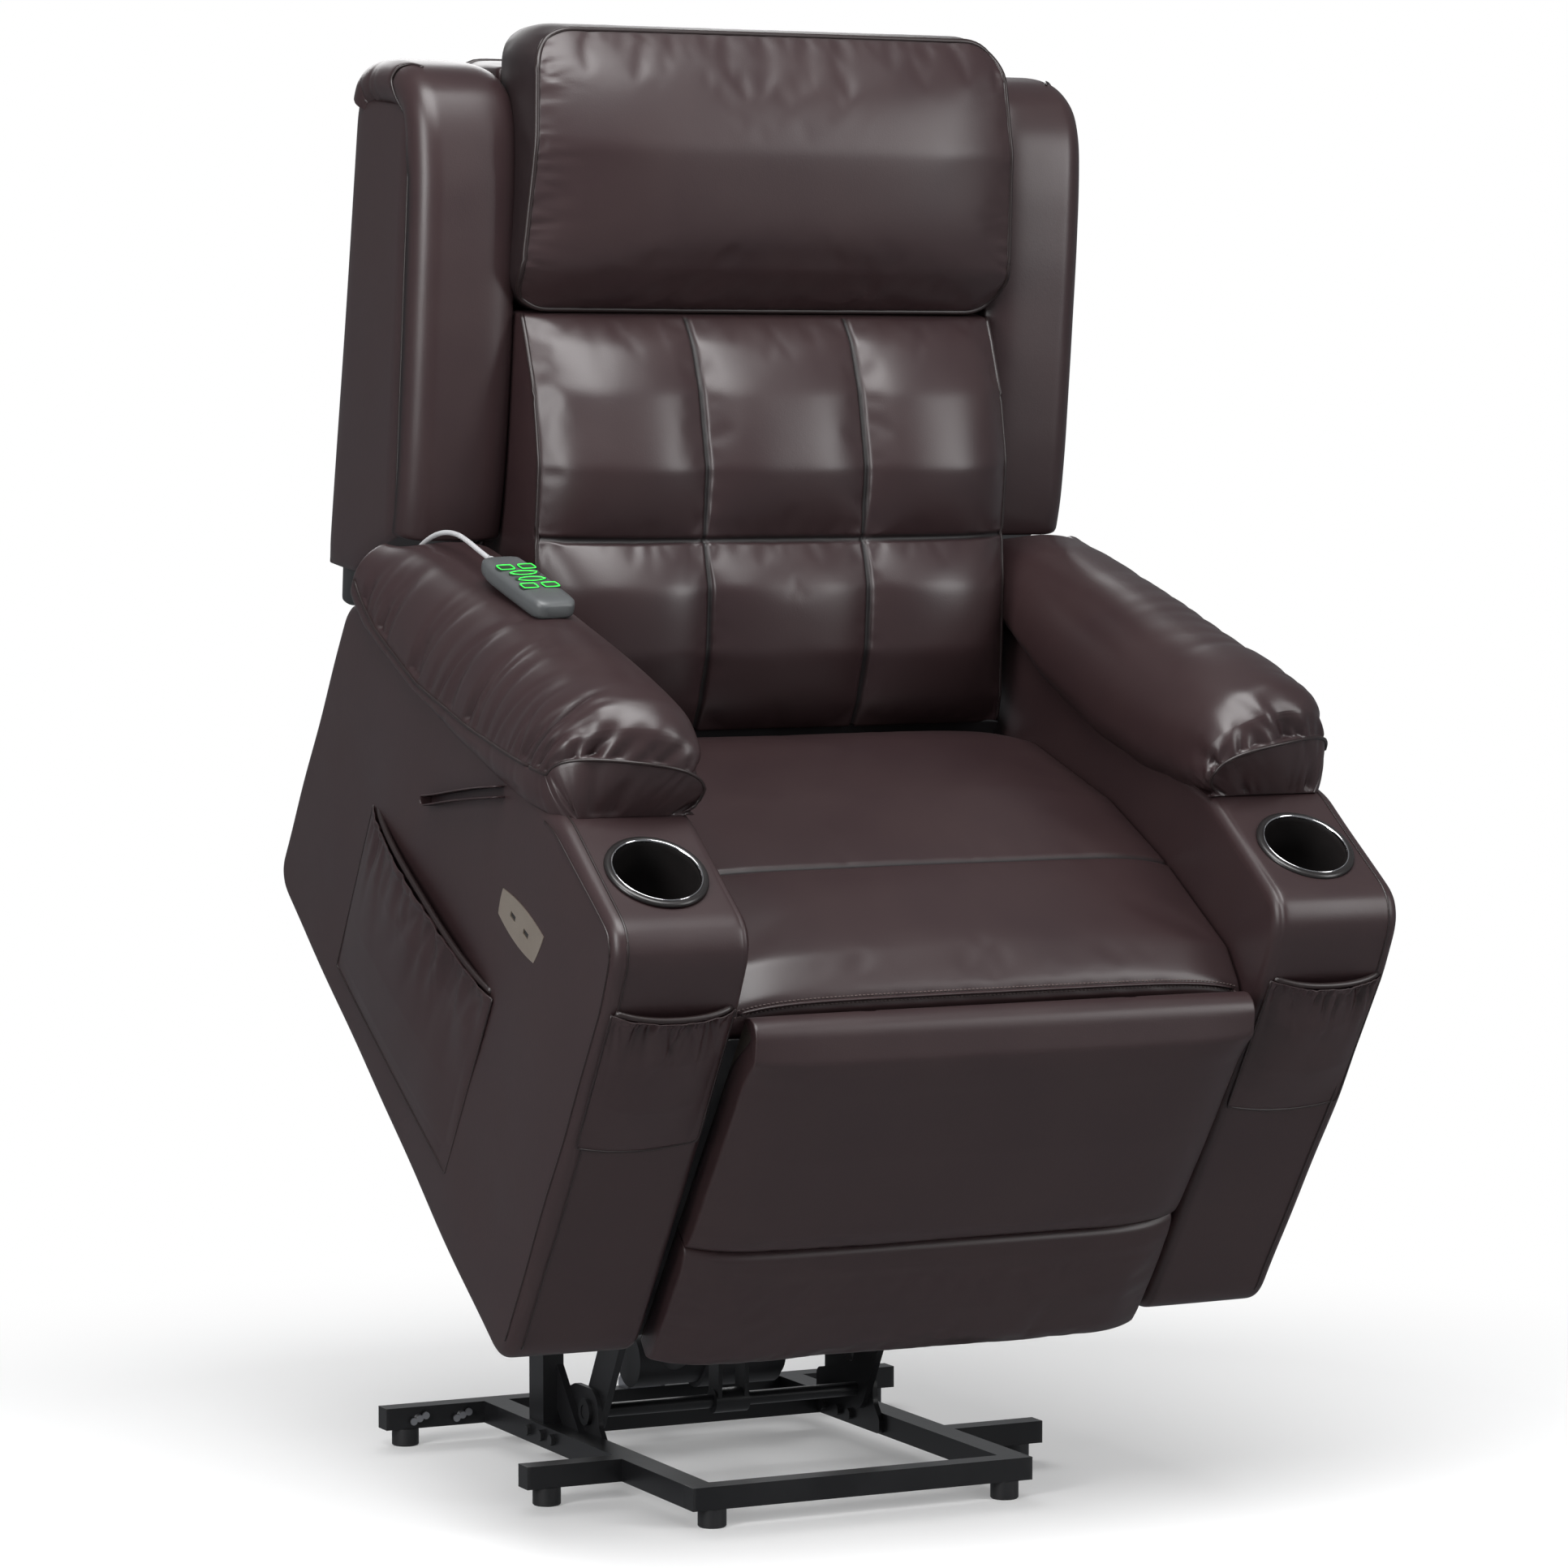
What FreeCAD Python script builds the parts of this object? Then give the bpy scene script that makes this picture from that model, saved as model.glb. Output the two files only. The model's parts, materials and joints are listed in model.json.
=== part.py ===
import FreeCAD, Part
import math
import os

# Lift recliner chair in the lifted pose: seat raised and tipped forward, back upright, footrest shut.
# Millimetres. Floor at Z = 0, middle plane at X = 0, the chair faces -Y, the sitter's right is -X.
# Three frames are used. The floor frame holds the base. The chair frame (u to the rear, v up) moves with the
# seat. The back frame (m to the rear, s up along the back) has its origin at the back hinge.

Vector = FreeCAD.Vector

# Chair as a whole
lift_tilt = 35.5
chair_origin_y = -63.52
chair_origin_z = 195.23
seated_height = 50.0
back_lean = 29.2
frame_centre_y = 122.0

# Clearances
running_fit = 0.06
soft_gap = 0.3
over = 1.0

# Floor base
tube_wall = 2.0
base_tube = 25.0
base_low = 20.0
base_top = base_low + base_tube
rail_inner_x = 174.0
rail_width = 30.0
rail_outer_x = rail_inner_x + rail_width
outrigger_front_y = 184.0
outrigger_end_x = 316.0
cross_bar_y = 462.0
rear_bar_y = 572.0
rear_bar_end_x = 325.0
cap_thickness = 3.0
cap_plug = 12.0
foot_radius = 15.5
foot_chamfer = 1.5
foot_inset = 28.0
wing_screw_x = (233.0, 286.0)
wing_screw_z = 32.0
wing_shank_radius = 3.0
wing_shank_length = 12.0
wing_hub_radius = 5.0
wing_radius = 4.2
wing_reach = 7.5
wing_rise = 3.0
wing_thickness = 2.5
bolt_radius = 4.0
bolt_head = 6.5
bolt_head_height = 5.0
bolt_places = ((372.0, 34.0), (402.0, 34.0), (440.0, 34.0))
pin_head = 4.0

# Lift links
front_pivot = (345.0, 68.0)
front_pin = (130.0, 18.0)
elbow_reach = 120.0
elbow_direction = 120.0
front_link_width = 46.0
front_link_x = (160.0, 168.0)
rear_pivot = (425.0, 190.0)
rear_pin = (216.2, 27.2)
rear_link_x = (148.0, 156.0)
rear_link_width = 34.0
slot_side_play = 1.9
slot_end_play = 1.4
lift_plate_x = (138.0, 144.0)
shaft_radius = 8.0
pin_radius = 6.0
bracket_thickness = 6.0
post_depth = 40.0
post_width = 25.0
post_top = 215.0
post_front_y = rear_pivot[0] - 13.0
brace_width = 45.0
brace_angle = 48.0
brace_thickness = 8.0
brace_setback = 14.0
lift_bracket_outline = ((300.0, 22.0, 6.0), (462.0, 22.0, 6.0), (462.0, 74.0, 10.0), (410.0, 84.0, 30.0),
                        (379.0, 95.0, 22.0), (318.0, 95.0, 24.0), (315.0, 56.0, 16.0), (300.0, 38.0, 6.0))

# Lift actuator
motor_pivot = (555.0, 70.0)
lever_reach = 120.0
lever_direction = 91.5
lever_width = 26.0
lever_x_pair = (14.0, 19.0)
clevis_x = (20.0, 24.0)
actuator_pin_radius = 5.0
actuator_pin_end = 3.0
lift_eye_play = 3.2
lift_tube_radius = 18.0
lift_rod_radius = 10.0
lift_motor_radius = 38.0
lift_motor_x = (37.0, 142.0)
lift_housing_x = (-45.0, 37.0)
motor_offset = 40.0
motor_eye_width = 24.0
motor_cap_length = 6.0
neck_length = 46.0
lift_tube_end = 190.0

# Seat frame
board_inner_x = 288.0
board_thickness = 12.0
arm_inner_x = board_inner_x + board_thickness
arm_width = 150.0
arm_outer_x = arm_inner_x + arm_width
arm_middle_x = (arm_inner_x + arm_outer_x) / 2
arm_length = 803.0
mechanism_x = (board_inner_x - 3.0, board_inner_x)
cross_tube_radius = 12.5
front_tube = (70.0, 45.0)
rear_tube = (320.0, 110.0)
deck_front = (45.0, 340.0)
deck_rear = (640.0, 285.0)
rail_depth = 18.0
apron_u = (arm_length - 22.0, arm_length - 4.0)
apron_v = (12.0, 140.0)
side_board_outline = ((45.0, 12.0, 10.0), (apron_u[0], 12.0, 10.0), (apron_u[0], 138.0, 20.0),
                      (705.0, 138.0, 40.0), (640.0, 238.0, 60.0))
mechanism_outline = ((45.0, 25.0, 12.0), (100.0, 25.0, 20.0), (350.0, 90.0, 30.0), (620.0, 230.0, 20.0),
                     (665.0, 265.0, 18.0), (665.0, 325.0, 18.0), (621.0, 325.0, 8.0))
mechanism_notch = (112.0, 200.0, 60.0)
mechanism_holes = ((235.0, 250.0, 38.0), (385.0, 255.0, 38.0), (505.0, 262.0, 30.0))
lift_plate_outline = ((48.0, 24.0, 16.0), (105.0, 1.5, 20.0), (240.0, 3.0, 22.0), (348.0, 98.0, 18.0),
                      (330.0, 136.0, 18.0), (210.0, 74.0, 60.0), (66.0, 70.0, 20.0))
recline_clevis_x = (17.0, 21.0)
spring_wire = 3.5
spring_x = (-210.0, -70.0, 70.0, 210.0)
spring_loop = 29.0
spring_start = 49.0
spring_turns = 9

# Back
back_hinge = (640.0, 300.0)
core_half_width = board_inner_x - 1.3
core_front = 122.0
core_rear = 250.0
core_low = (62.0, 176.0)
core_top = 740.0
core_wall = 9.0
upright_width = 24.0
upright_depth = 45.0
rail_height = 50.0
frame_rail_low = (150.0, 420.0, core_top - core_wall - 60.0)
bracket_x = (board_inner_x - 9.0, board_inner_x - 5.0)
wing_inner_x = board_inner_x - 1.0
wing_outer_x = wing_inner_x + 118.0
back_tube = (34.0, -61.0)
back_tube_radius = 8.0
bracket_outline = ((-18.0, -6.0, 6.0), (0.0, -21.0, 14.0), (21.0, -74.0, 12.0), (48.0, -74.0, 12.0),
                   (58.0, -12.0, 20.0), (128.0, 40.0, 20.0), (240.0, 180.0, 30.0), (240.0, 330.0, 12.0),
                   (128.0, 330.0, 12.0), (128.0, 100.0, 20.0), (60.0, 54.0, 20.0), (-2.0, 19.0, 17.0),
                   (-18.0, 12.0, 8.0))
lumbar_half = wing_inner_x - 3.0
lumbar_top = 478.0
lumbar_rows = ((-54.0, 32.0, 121.0, 7.0, 26.0), (-60.0, 120.0, 180.0, 15.0, 26.0),
               (-42.0, 240.0, 240.0, 4.0, 22.0), (-34.0, 350.0, 350.0, 15.0, 26.0),
               (-2.0, lumbar_top - 26.0, lumbar_top, 6.0, 22.0))
headrest_low = lumbar_top + 3.0
headrest_outline = ((core_front - soft_gap, headrest_low, 0.0), (40.0, headrest_low + 2.0, 5.0),
                    (8.0, headrest_low + 22.0, 30.0), (10.0, core_top + 12.0, 7.0),
                    (48.0, core_top + 49.0, 6.0), (core_front - soft_gap, core_top + 38.0, 0.0))
headrest_draw = 15.0
headrest_edge = 26.0
wing_outline = ((56.0, 236.0, 5.0), (42.0, 330.0, 6.0), (42.0, core_top - 150.0, 8.0),
                (56.0, core_top - 50.0, 12.0), (98.0, core_top - 2.0, 12.0), (220.0, core_top - 36.0, 10.0),
                (core_rear, core_top - 100.0, 6.0), (core_rear + 4.0, 400.0, 4.0), (238.0, 182.0, 0.0))
wing_stations = ((wing_inner_x, 5.0), (wing_inner_x + 34.0, 0.0), (wing_outer_x - 36.0, 2.0),
                 (wing_outer_x, 22.0))

# Footrest
panel_hinge = (12.0, 440.0)
crank_pivot = (150.0, 290.0)
link_offset = (28.0, -200.0)
torque_tube_radius = 11.0
panel_half_width = board_inner_x - 5.0
panel_board = (18.0, 32.0)
panel_nose = 19.7
panel_low = 5.0
pad_half_width = panel_half_width + 4.0
pad_front_depth = 10.0
pad_draw = 8.0
pad_edge = 20.0
pad_rear = panel_board[0] - soft_gap
upper_pad_outline = ((pad_rear, 166.0, 0.0), (pad_rear, 418.0, 0.0), (-3.0, 419.0, 0.0), (-12.0, 434.0, 0.0),
                     (-13.0, 448.0, 4.0), (-24.0, 405.0, 5.0), (-24.0, 190.0, 5.0), (-8.0, 166.0, 0.0))
lower_pad_outline = ((pad_rear, 4.0, 0.0), (pad_rear, 164.0, 0.0), (-6.0, 164.0, 5.0), (-22.0, 140.0, 4.0),
                     (-22.0, 24.0, 4.0), (-6.0, 4.0, 0.0))
fin_x = 150.0
fin_thickness = 4.0
fin_slot = 8.0
knuckle_radius = 7.0
hinge_pin_radius = 3.0
hinge_pin_half = 14.0
fin_outline = ((40.0, 297.0, 3.0), (40.0, 350.0, 12.0), (34.0, 372.0, 20.0), (30.0, 438.0, 8.0),
               (18.0, 442.0, 0.0), (9.0, 434.0, 0.0), (20.0, 418.0, 6.0), (20.0, 360.0, 30.0),
               (33.0, 314.0, 10.0))
fin_foot = (37.0, 297.0, 334.0)
fin_foot_half = 16.0
coupler_x = (board_inner_x - 44.0, board_inner_x - 38.0)
crank_x = (board_inner_x - 36.0, board_inner_x - 30.0)
lever_x = (board_inner_x - 25.0, board_inner_x - 20.0)
tie_x = (board_inner_x - 18.0, board_inner_x - 13.0)
tie_lever = (164.6, 257.9)
tie_play = 4.6
tie_width = 18.0
link_width = 22.0
coupler_width = 14.0
coupler_pin_radius = 4.0
coupler_pin_head = 7.0
lever_pin_radius = 5.0
footrest_bracket_half = 30.0
footrest_bracket_foot = 20.0

# Recline actuator
recline_pivot = (300.0, 160.0)
recline_eye_play = 5.3
recline_tube_radius = 15.0
recline_rod_radius = 9.0
recline_motor_radius = 27.0
recline_gear_half = 30.0
recline_motor_end = 112.0
recline_cap_end = 120.0
recline_reach = 46.0
recline_neck_end = 90.0
recline_tube_end = 250.0

# Upholstery and fittings
arm_top_v = 560.0
arm_edge = 12.0
pocket_low_v = arm_top_v - 252.0
pocket_high_v = arm_top_v - 86.0
arm_front_rows = ((0.0, 0.0), (pocket_low_v, 8.0), (pocket_high_v, 18.0), (arm_top_v, 32.0))
arm_outline = ((0.0, 0.0, 12.0), (arm_length - 4.0, 2.0, 12.0), (arm_length, arm_top_v - 180.0, 14.0),
               (arm_length - 19.0, arm_top_v - 153.0, 14.0), (489.0, arm_top_v - 81.0, 40.0),
               (214.0, arm_top_v, 30.0), (32.0, arm_top_v, 16.0), (18.0, pocket_high_v, 60.0),
               (8.0, pocket_low_v, 60.0))
cup_x = arm_middle_x - 1.0
cup_u = 131.0
cup_radius = 45.0
cup_wall = 1.8
cup_depth = 75.0
cup_ring_radius = 54.0
cup_ring_height = 5.0
pocket_wall = 3.0
pocket_rows = ((pocket_low_v, 48.0, 6.0), (arm_top_v - 210.0, 61.0, 17.0), (arm_top_v - 140.0, 63.0, 20.0),
               (pocket_high_v, 62.0, 15.0))
side_pocket_low = ((228.0, 71.0), (591.0, 47.0))
side_pocket_high = ((237.0, 305.0), (607.0, 260.0))
side_pocket_rows = ((0.0, 4.0), (0.35, 13.0), (0.75, 15.0), (1.0, 11.0))
strap_start = (333.0, arm_top_v - 57.0)
strap_end = (478.0, arm_top_v - 186.0)
strap_thickness = 2.0
strap_width = 16.0
strap_gap = 9.0
strap_join = 12.0
pillow_inner_x = arm_inner_x - 14.0
pillow_outline = ((258.0, arm_top_v - 10.5, 0.0), (228.0, arm_top_v + 2.0, 6.0),
                  (212.0, arm_top_v + 40.0, 10.0), (248.0, arm_top_v + 80.0, 9.0),
                  (420.0, arm_top_v + 51.0, 4.0), (640.0, arm_top_v - 13.0, 4.0),
                  (748.0, arm_top_v - 54.0, 7.0), (783.0, arm_top_v - 124.0, 0.0),
                  (781.0, arm_top_v - 150.0, 0.0), (489.0, arm_top_v - 78.5, 0.0))
pillow_stations = ((arm_outer_x, 12.0), (arm_outer_x - 30.0, 1.0), (arm_outer_x - 85.0, 0.0),
                   (arm_inner_x + 20.0, 2.0), (pillow_inner_x, 14.0))
pillow_slope = 0.27
pillow_middle_u = 500.0
pillow_half_length = 290.0
seat_outline = ((40.0, 458.0, 13.0), (222.0, 470.0, 16.0), (592.0, 352.0, 4.0), (611.0, 328.0, 2.0))
seat_underside = (44.0, 613.0)
seat_rise = 1.5
seat_draw = 18.0
seat_edge = 30.0
spring_drop = 1.0
usb_corners = ((280.0, arm_top_v - 141.0, 1.5), (275.0, arm_top_v - 170.0, 5.0),
               (177.0, arm_top_v - 153.0, 1.5), (172.0, arm_top_v - 114.0, 5.0))
usb_centre = (226.0, arm_top_v - 144.5)
usb_tilt = -11.0
usb_thickness = 3.0
usb_spacing = 36.0
usb_port = (13.0, 6.0)
usb_block = (64.0, 18.0, 14.0)
usb_tongue = 1.8
box_u = (470.0, 600.0)
box_v = (26.0, 106.0)
box_width = 45.0
inlet_x = board_inner_x - 20.0
inlet_v = 59.0
inlet_size = (20.0, 14.0)
inlet_depth = 14.0
inlet_flange = (32.0, 30.0)

# Handset
handset_centre = (6.0 - arm_middle_x, 563.0, arm_top_v + 26.9)
handset_size = (52.0, 140.0, 24.0)
handset_slope = 15.9
handset_yaw = 6.0
button_travel = 0.8
button_rise = 1.0
button_gap = 0.15
button_depth = 3.0
button_rows = (("power", -12.5, 27.0), ("light", 12.5, 27.0), ("back_up", 0.0, 9.5), ("back_down", 0.0, -7.5),
               ("lift_up", -12.5, -26.0), ("lift_down", 12.5, -26.0))
cord_radius = 2.75
relief_length = 14.0
relief_radius = 5.5
gland_length = 26.0
gland_radius = 6.0
cord_points = ((5.4, 668.2, -3.1), (4.0, 698.0, -14.0), (5.0, 730.0, -26.5), (10.0, 758.0, -46.5),
               (16.0, 777.0, -75.0), (19.0, 787.0, -104.0), (20.0, 793.0, -130.0), (20.0, 795.0, -145.0))


def turned(point, degrees):
    a = math.radians(degrees)
    y, z = point
    return (y * math.cos(a) - z * math.sin(a), y * math.sin(a) + z * math.cos(a))


def polar(start, reach, degrees):
    a = math.radians(degrees)
    return (start[0] + reach * math.cos(a), start[1] + reach * math.sin(a))


def distance(a, b):
    return math.hypot(b[0] - a[0], b[1] - a[1])


def direction(a, b):
    return math.degrees(math.atan2(b[1] - a[1], b[0] - a[0]))


# Frames
def chair_to_floor(point):
    y, z = turned(point, lift_tilt)
    return (y + chair_origin_y, z + chair_origin_z)


def back_to_chair(point):
    y, z = turned(point, -back_lean)
    return (y + back_hinge[0], z + back_hinge[1])


def place_floor(shape):
    moved = shape.copy()
    moved.translate(Vector(0, -frame_centre_y, 0))
    return moved


def place_chair(shape):
    moved = shape.copy()
    moved.rotate(Vector(0, 0, 0), Vector(1, 0, 0), lift_tilt)
    moved.translate(Vector(0, chair_origin_y, chair_origin_z))
    return place_floor(moved)


def place_back(shape):
    moved = shape.copy()
    moved.rotate(Vector(0, 0, 0), Vector(1, 0, 0), -back_lean)
    moved.translate(Vector(0, back_hinge[0], back_hinge[1]))
    return place_chair(moved)


# Outlines and simple solids
def rounded_wire(corners, x):
    """Closed wire in the plane X = x; corners are (y, z, radius) and each radius is a tangent arc."""
    points = [Vector(x, y, z) for y, z, radius in corners]
    edges = []
    ends = []
    count = len(points)
    for i in range(count):
        corner = points[i]
        radius = corners[i][2]
        before = (points[i - 1] - corner).normalize()
        after = (points[(i + 1) % count] - corner).normalize()
        if radius == 0:
            ends.append((corner, corner, None))
            continue
        half = math.acos(max(-1.0, min(1.0, before.dot(after)))) / 2
        reach = radius / math.tan(half)
        middle = (before + after).normalize()
        nearest = corner + middle * (radius / math.sin(half) - radius)
        ends.append((corner + before * reach, corner + after * reach, nearest))
    for i in range(count):
        start, finish, nearest = ends[i]
        if nearest is not None:
            edges.append(Part.Arc(start, nearest, finish).toShape())
        following = ends[(i + 1) % count][0]
        if finish.distanceToPoint(following) > 1e-6:
            edges.append(Part.LineSegment(finish, following).toShape())
    return Part.Wire(edges)


def plate(corners, x_from, x_to):
    face = Part.Face(rounded_wire(corners, x_from))
    return face.extrude(Vector(x_to - x_from, 0, 0))


def bulged_wire(points, place):
    """Closed wire of seam points (a, b, bulge); each bulge is the height of the arc to the next point."""
    area = 0
    count = len(points)
    for i in range(count):
        a = points[i]
        b = points[(i + 1) % count]
        area += a[0] * b[1] - a[1] * b[0]
    side = 1 if area > 0 else -1
    edges = []
    for i in range(count):
        a = points[i]
        b = points[(i + 1) % count]
        start = place(a[0], a[1])
        finish = place(b[0], b[1])
        if a[2] == 0:
            edges.append(Part.LineSegment(start, finish).toShape())
            continue
        span = math.hypot(b[0] - a[0], b[1] - a[1])
        out_a = side * (b[1] - a[1]) / span
        out_b = -side * (b[0] - a[0]) / span
        middle = place((a[0] + b[0]) / 2 + out_a * a[2], (a[1] + b[1]) / 2 + out_b * a[2])
        edges.append(Part.Arc(start, middle, finish).toShape())
    return Part.Wire(edges)


def crowned(points, stations):
    """Cushion: one seam outline lofted along X; a station is (x, how far the outline is drawn in)."""
    centre_a = sum(p[0] for p in points) / len(points)
    centre_b = sum(p[1] for p in points) / len(points)
    half_a = (max(p[0] for p in points) - min(p[0] for p in points)) / 2
    half_b = (max(p[1] for p in points) - min(p[1] for p in points)) / 2
    wires = []
    for x, draw in stations:
        scale_a = 1 - draw / half_a
        scale_b = 1 - draw / half_b
        section = []
        for a, b, bulge in points:
            section.append((centre_a + (a - centre_a) * scale_a, centre_b + (b - centre_b) * scale_b, bulge))
        wires.append(bulged_wire(section, lambda y, z, x=x: Vector(x, y, z)))
    return Part.makeLoft(wires, True, False)


def crown_stations(half, draw, edge):
    """Stations of a cushion that is full in the middle and drawn in by its side seams."""
    places = ((1.0, 1.0), (1 - edge / half, 0.32), (1 - 2.6 * edge / half, 0.08))
    left = [(-half * share, draw * part) for share, part in places]
    right = [(half * share, draw * part) for share, part in reversed(places)]
    return left + [(0.0, 0.0)] + right


def bar_x(radius, point, x_from, x_to):
    return Part.makeCylinder(radius, x_to - x_from, Vector(x_from, point[0], point[1]), Vector(1, 0, 0))


def both_sides(shape):
    return [shape, shape.mirror(Vector(0, 0, 0), Vector(1, 0, 0))]


def mirrored(shape):
    return shape.mirror(Vector(0, 0, 0), Vector(1, 0, 0))


def box(x_from, x_to, y_from, y_to, z_from, z_to):
    corner = Vector(x_from, y_from, z_from)
    return Part.makeBox(x_to - x_from, y_to - y_from, z_to - z_from, corner)


def hollow_box(outer, axis, wall=tube_wall):
    """Rectangular steel tube (x, x, y, y, z, z), open at both ends of the named axis."""
    inner = list(outer)
    for i in range(3):
        grow = 1.0 if i == axis else -wall
        inner[2 * i] -= grow
        inner[2 * i + 1] += grow
    return box(*outer).cut(box(*inner))


def bar_link(a, b, width, x_from, x_to, hole_a, hole_b):
    """Flat link with round ends about two pivots and a hole at each."""
    radius = width / 2
    angle = direction(a, b)
    corners = []
    for centre, turn in ((a, 90), (a, 270), (b, 270), (b, 90)):
        corner = polar(centre, radius, angle + turn)
        corners.append((corner[0], corner[1], 0))
    web = plate(corners, x_from, x_to)
    link = web.fuse(bar_x(radius, a, x_from, x_to)).fuse(bar_x(radius, b, x_from, x_to)).removeSplitter()
    for centre, hole in ((a, hole_a), (b, hole_b)):
        if hole > 0:
            link = link.cut(bar_x(hole, centre, x_from - 1, x_to + 1))
    return link


def ring_x(centre, outer, inner, x_from, x_to):
    return bar_x(outer, centre, x_from, x_to).cut(bar_x(inner, centre, x_from - 1, x_to + 1))


# Floor base
def base_rails():
    rail = hollow_box([rail_inner_x, rail_outer_x, base_tube, rear_bar_y, base_low, base_top], 1)
    rail = rail.cut(bolt_holes())
    cross = hollow_box([-rail_inner_x, rail_inner_x, cross_bar_y, cross_bar_y + base_tube, base_low, base_top], 0)
    return both_sides(rail) + [cross]


def base_front_bar():
    end = rail_outer_x - cap_thickness
    return [hollow_box([-end, end, 0, base_tube, base_low, base_top], 0)]


def base_rear_bar():
    end = rear_bar_end_x - cap_thickness
    bar = hollow_box([-end, end, rear_bar_y, rear_bar_y + base_tube, base_low, base_top], 0)
    for x in wing_screw_x:
        for side in (-1, 1):
            hole = Part.makeCylinder(wing_shank_radius + running_fit, 2 * tube_wall,
                                     Vector(side * x, rear_bar_y - 1, wing_screw_z), Vector(0, 1, 0))
            bar = bar.cut(hole)
    return [bar]


def outriggers():
    end = outrigger_end_x - cap_thickness
    y = outrigger_front_y
    return both_sides(hollow_box([rail_outer_x, end, y, y + base_tube, base_low, base_top], 0))


def tube_end_caps():
    caps = []
    for end, y in ((rail_outer_x, 0), (outrigger_end_x, outrigger_front_y), (rear_bar_end_x, rear_bar_y)):
        face = box(end - cap_thickness, end, y, y + base_tube, base_low, base_top)
        inset = tube_wall + running_fit
        plug = box(end - cap_thickness - cap_plug, end - cap_thickness, y + inset, y + base_tube - inset,
                   base_low + inset, base_top - inset)
        caps += both_sides(face.fuse(plug))
    return caps


def base_feet():
    feet = []
    for end, y in ((rail_outer_x, 0), (outrigger_end_x, outrigger_front_y), (rear_bar_end_x, rear_bar_y)):
        centre = Vector(end - foot_inset, y + base_tube / 2, 0)
        edge = Part.makeCone(foot_radius - foot_chamfer, foot_radius, foot_chamfer, centre)
        pad = Part.makeCylinder(foot_radius, base_low - foot_chamfer, centre + Vector(0, 0, foot_chamfer))
        feet += both_sides(edge.fuse(pad))
    return feet


def bolt_holes():
    holes = None
    for point in bolt_places:
        hole = bar_x(bolt_radius + running_fit, point, rail_inner_x - bracket_thickness - 1, rail_outer_x + 1)
        holes = hole if holes is None else holes.fuse(hole)
    return holes


def hexagon(radius, point, x_from, x_to):
    corners = []
    for i in range(6):
        corner = polar(point, radius, 60 * i + 30)
        corners.append((corner[0], corner[1], 0))
    return plate(corners, x_from, x_to)


def wing_screw(x):
    """Screw from the rear bar's front face, with two small wings that stand a little askew."""
    rear = Vector(0, 1, 0)
    face = rear_bar_y - wing_shank_length / 2
    shank = Part.makeCylinder(wing_shank_radius, wing_shank_length, Vector(x, face, wing_screw_z), rear)
    centre = Vector(x, face, wing_screw_z)
    hub = Part.makeCone(wing_hub_radius - 1, wing_hub_radius, wing_shank_length / 2, centre, rear)
    screw = shank.fuse(hub)
    web = Part.makeBox(2 * wing_reach, wing_thickness, wing_radius,
                       Vector(x - wing_reach, face, wing_screw_z - wing_radius / 2))
    tilt = math.degrees(math.atan2(wing_rise, wing_reach))
    web.rotate(Vector(x, face, wing_screw_z), rear, tilt)
    screw = screw.fuse(web)
    for side in (-1, 1):
        tip = Vector(x + side * wing_reach, face, wing_screw_z - side * wing_rise)
        screw = screw.fuse(Part.makeCylinder(wing_radius, wing_thickness, tip, rear))
    return screw


def base_fasteners():
    pieces = []
    inner = rail_inner_x - bracket_thickness
    for point in bolt_places:
        head = hexagon(bolt_head, point, inner - bolt_head_height, inner)
        shank = bar_x(bolt_radius, point, inner, rail_outer_x + bolt_head_height)
        nut = hexagon(bolt_head, point, rail_outer_x, rail_outer_x + bolt_head_height)
        pieces += both_sides(head.fuse(shank).fuse(nut))
    outer = rail_inner_x + post_width
    wide = pin_radius + pin_head
    head = bar_x(wide, rear_pivot, rear_link_x[0] - pin_head, rear_link_x[0] - running_fit)
    shank = bar_x(pin_radius, rear_pivot, rear_link_x[0] - pin_head, outer + pin_radius)
    spacer = bar_x(wide + over, rear_pivot, rear_link_x[1] + running_fit, rail_inner_x)
    nut = hexagon(wide, rear_pivot, outer, outer + pin_radius)
    pieces += both_sides(head.fuse(shank).fuse(spacer).fuse(nut))
    half = clevis_x[1] + actuator_pin_end
    pieces.append(bar_x(actuator_pin_radius, motor_pivot, -half, half))
    for x in wing_screw_x:
        pieces += both_sides(wing_screw(x))
    return pieces


def lift_brackets():
    inner = rail_inner_x - bracket_thickness
    bracket = plate(lift_bracket_outline, inner, rail_inner_x)
    bracket = bracket.cut(bar_x(shaft_radius + running_fit, front_pivot, inner - 1, rail_inner_x + 1))
    boss = ring_x(front_pivot, shaft_radius + 7, shaft_radius + running_fit, rail_inner_x, rail_inner_x + 5)
    boss = boss.cut(box(rail_inner_x, rail_outer_x, 0, rear_bar_y, 0, base_top))
    bracket = bracket.fuse(boss).cut(bolt_holes())
    return both_sides(bracket)


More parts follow.
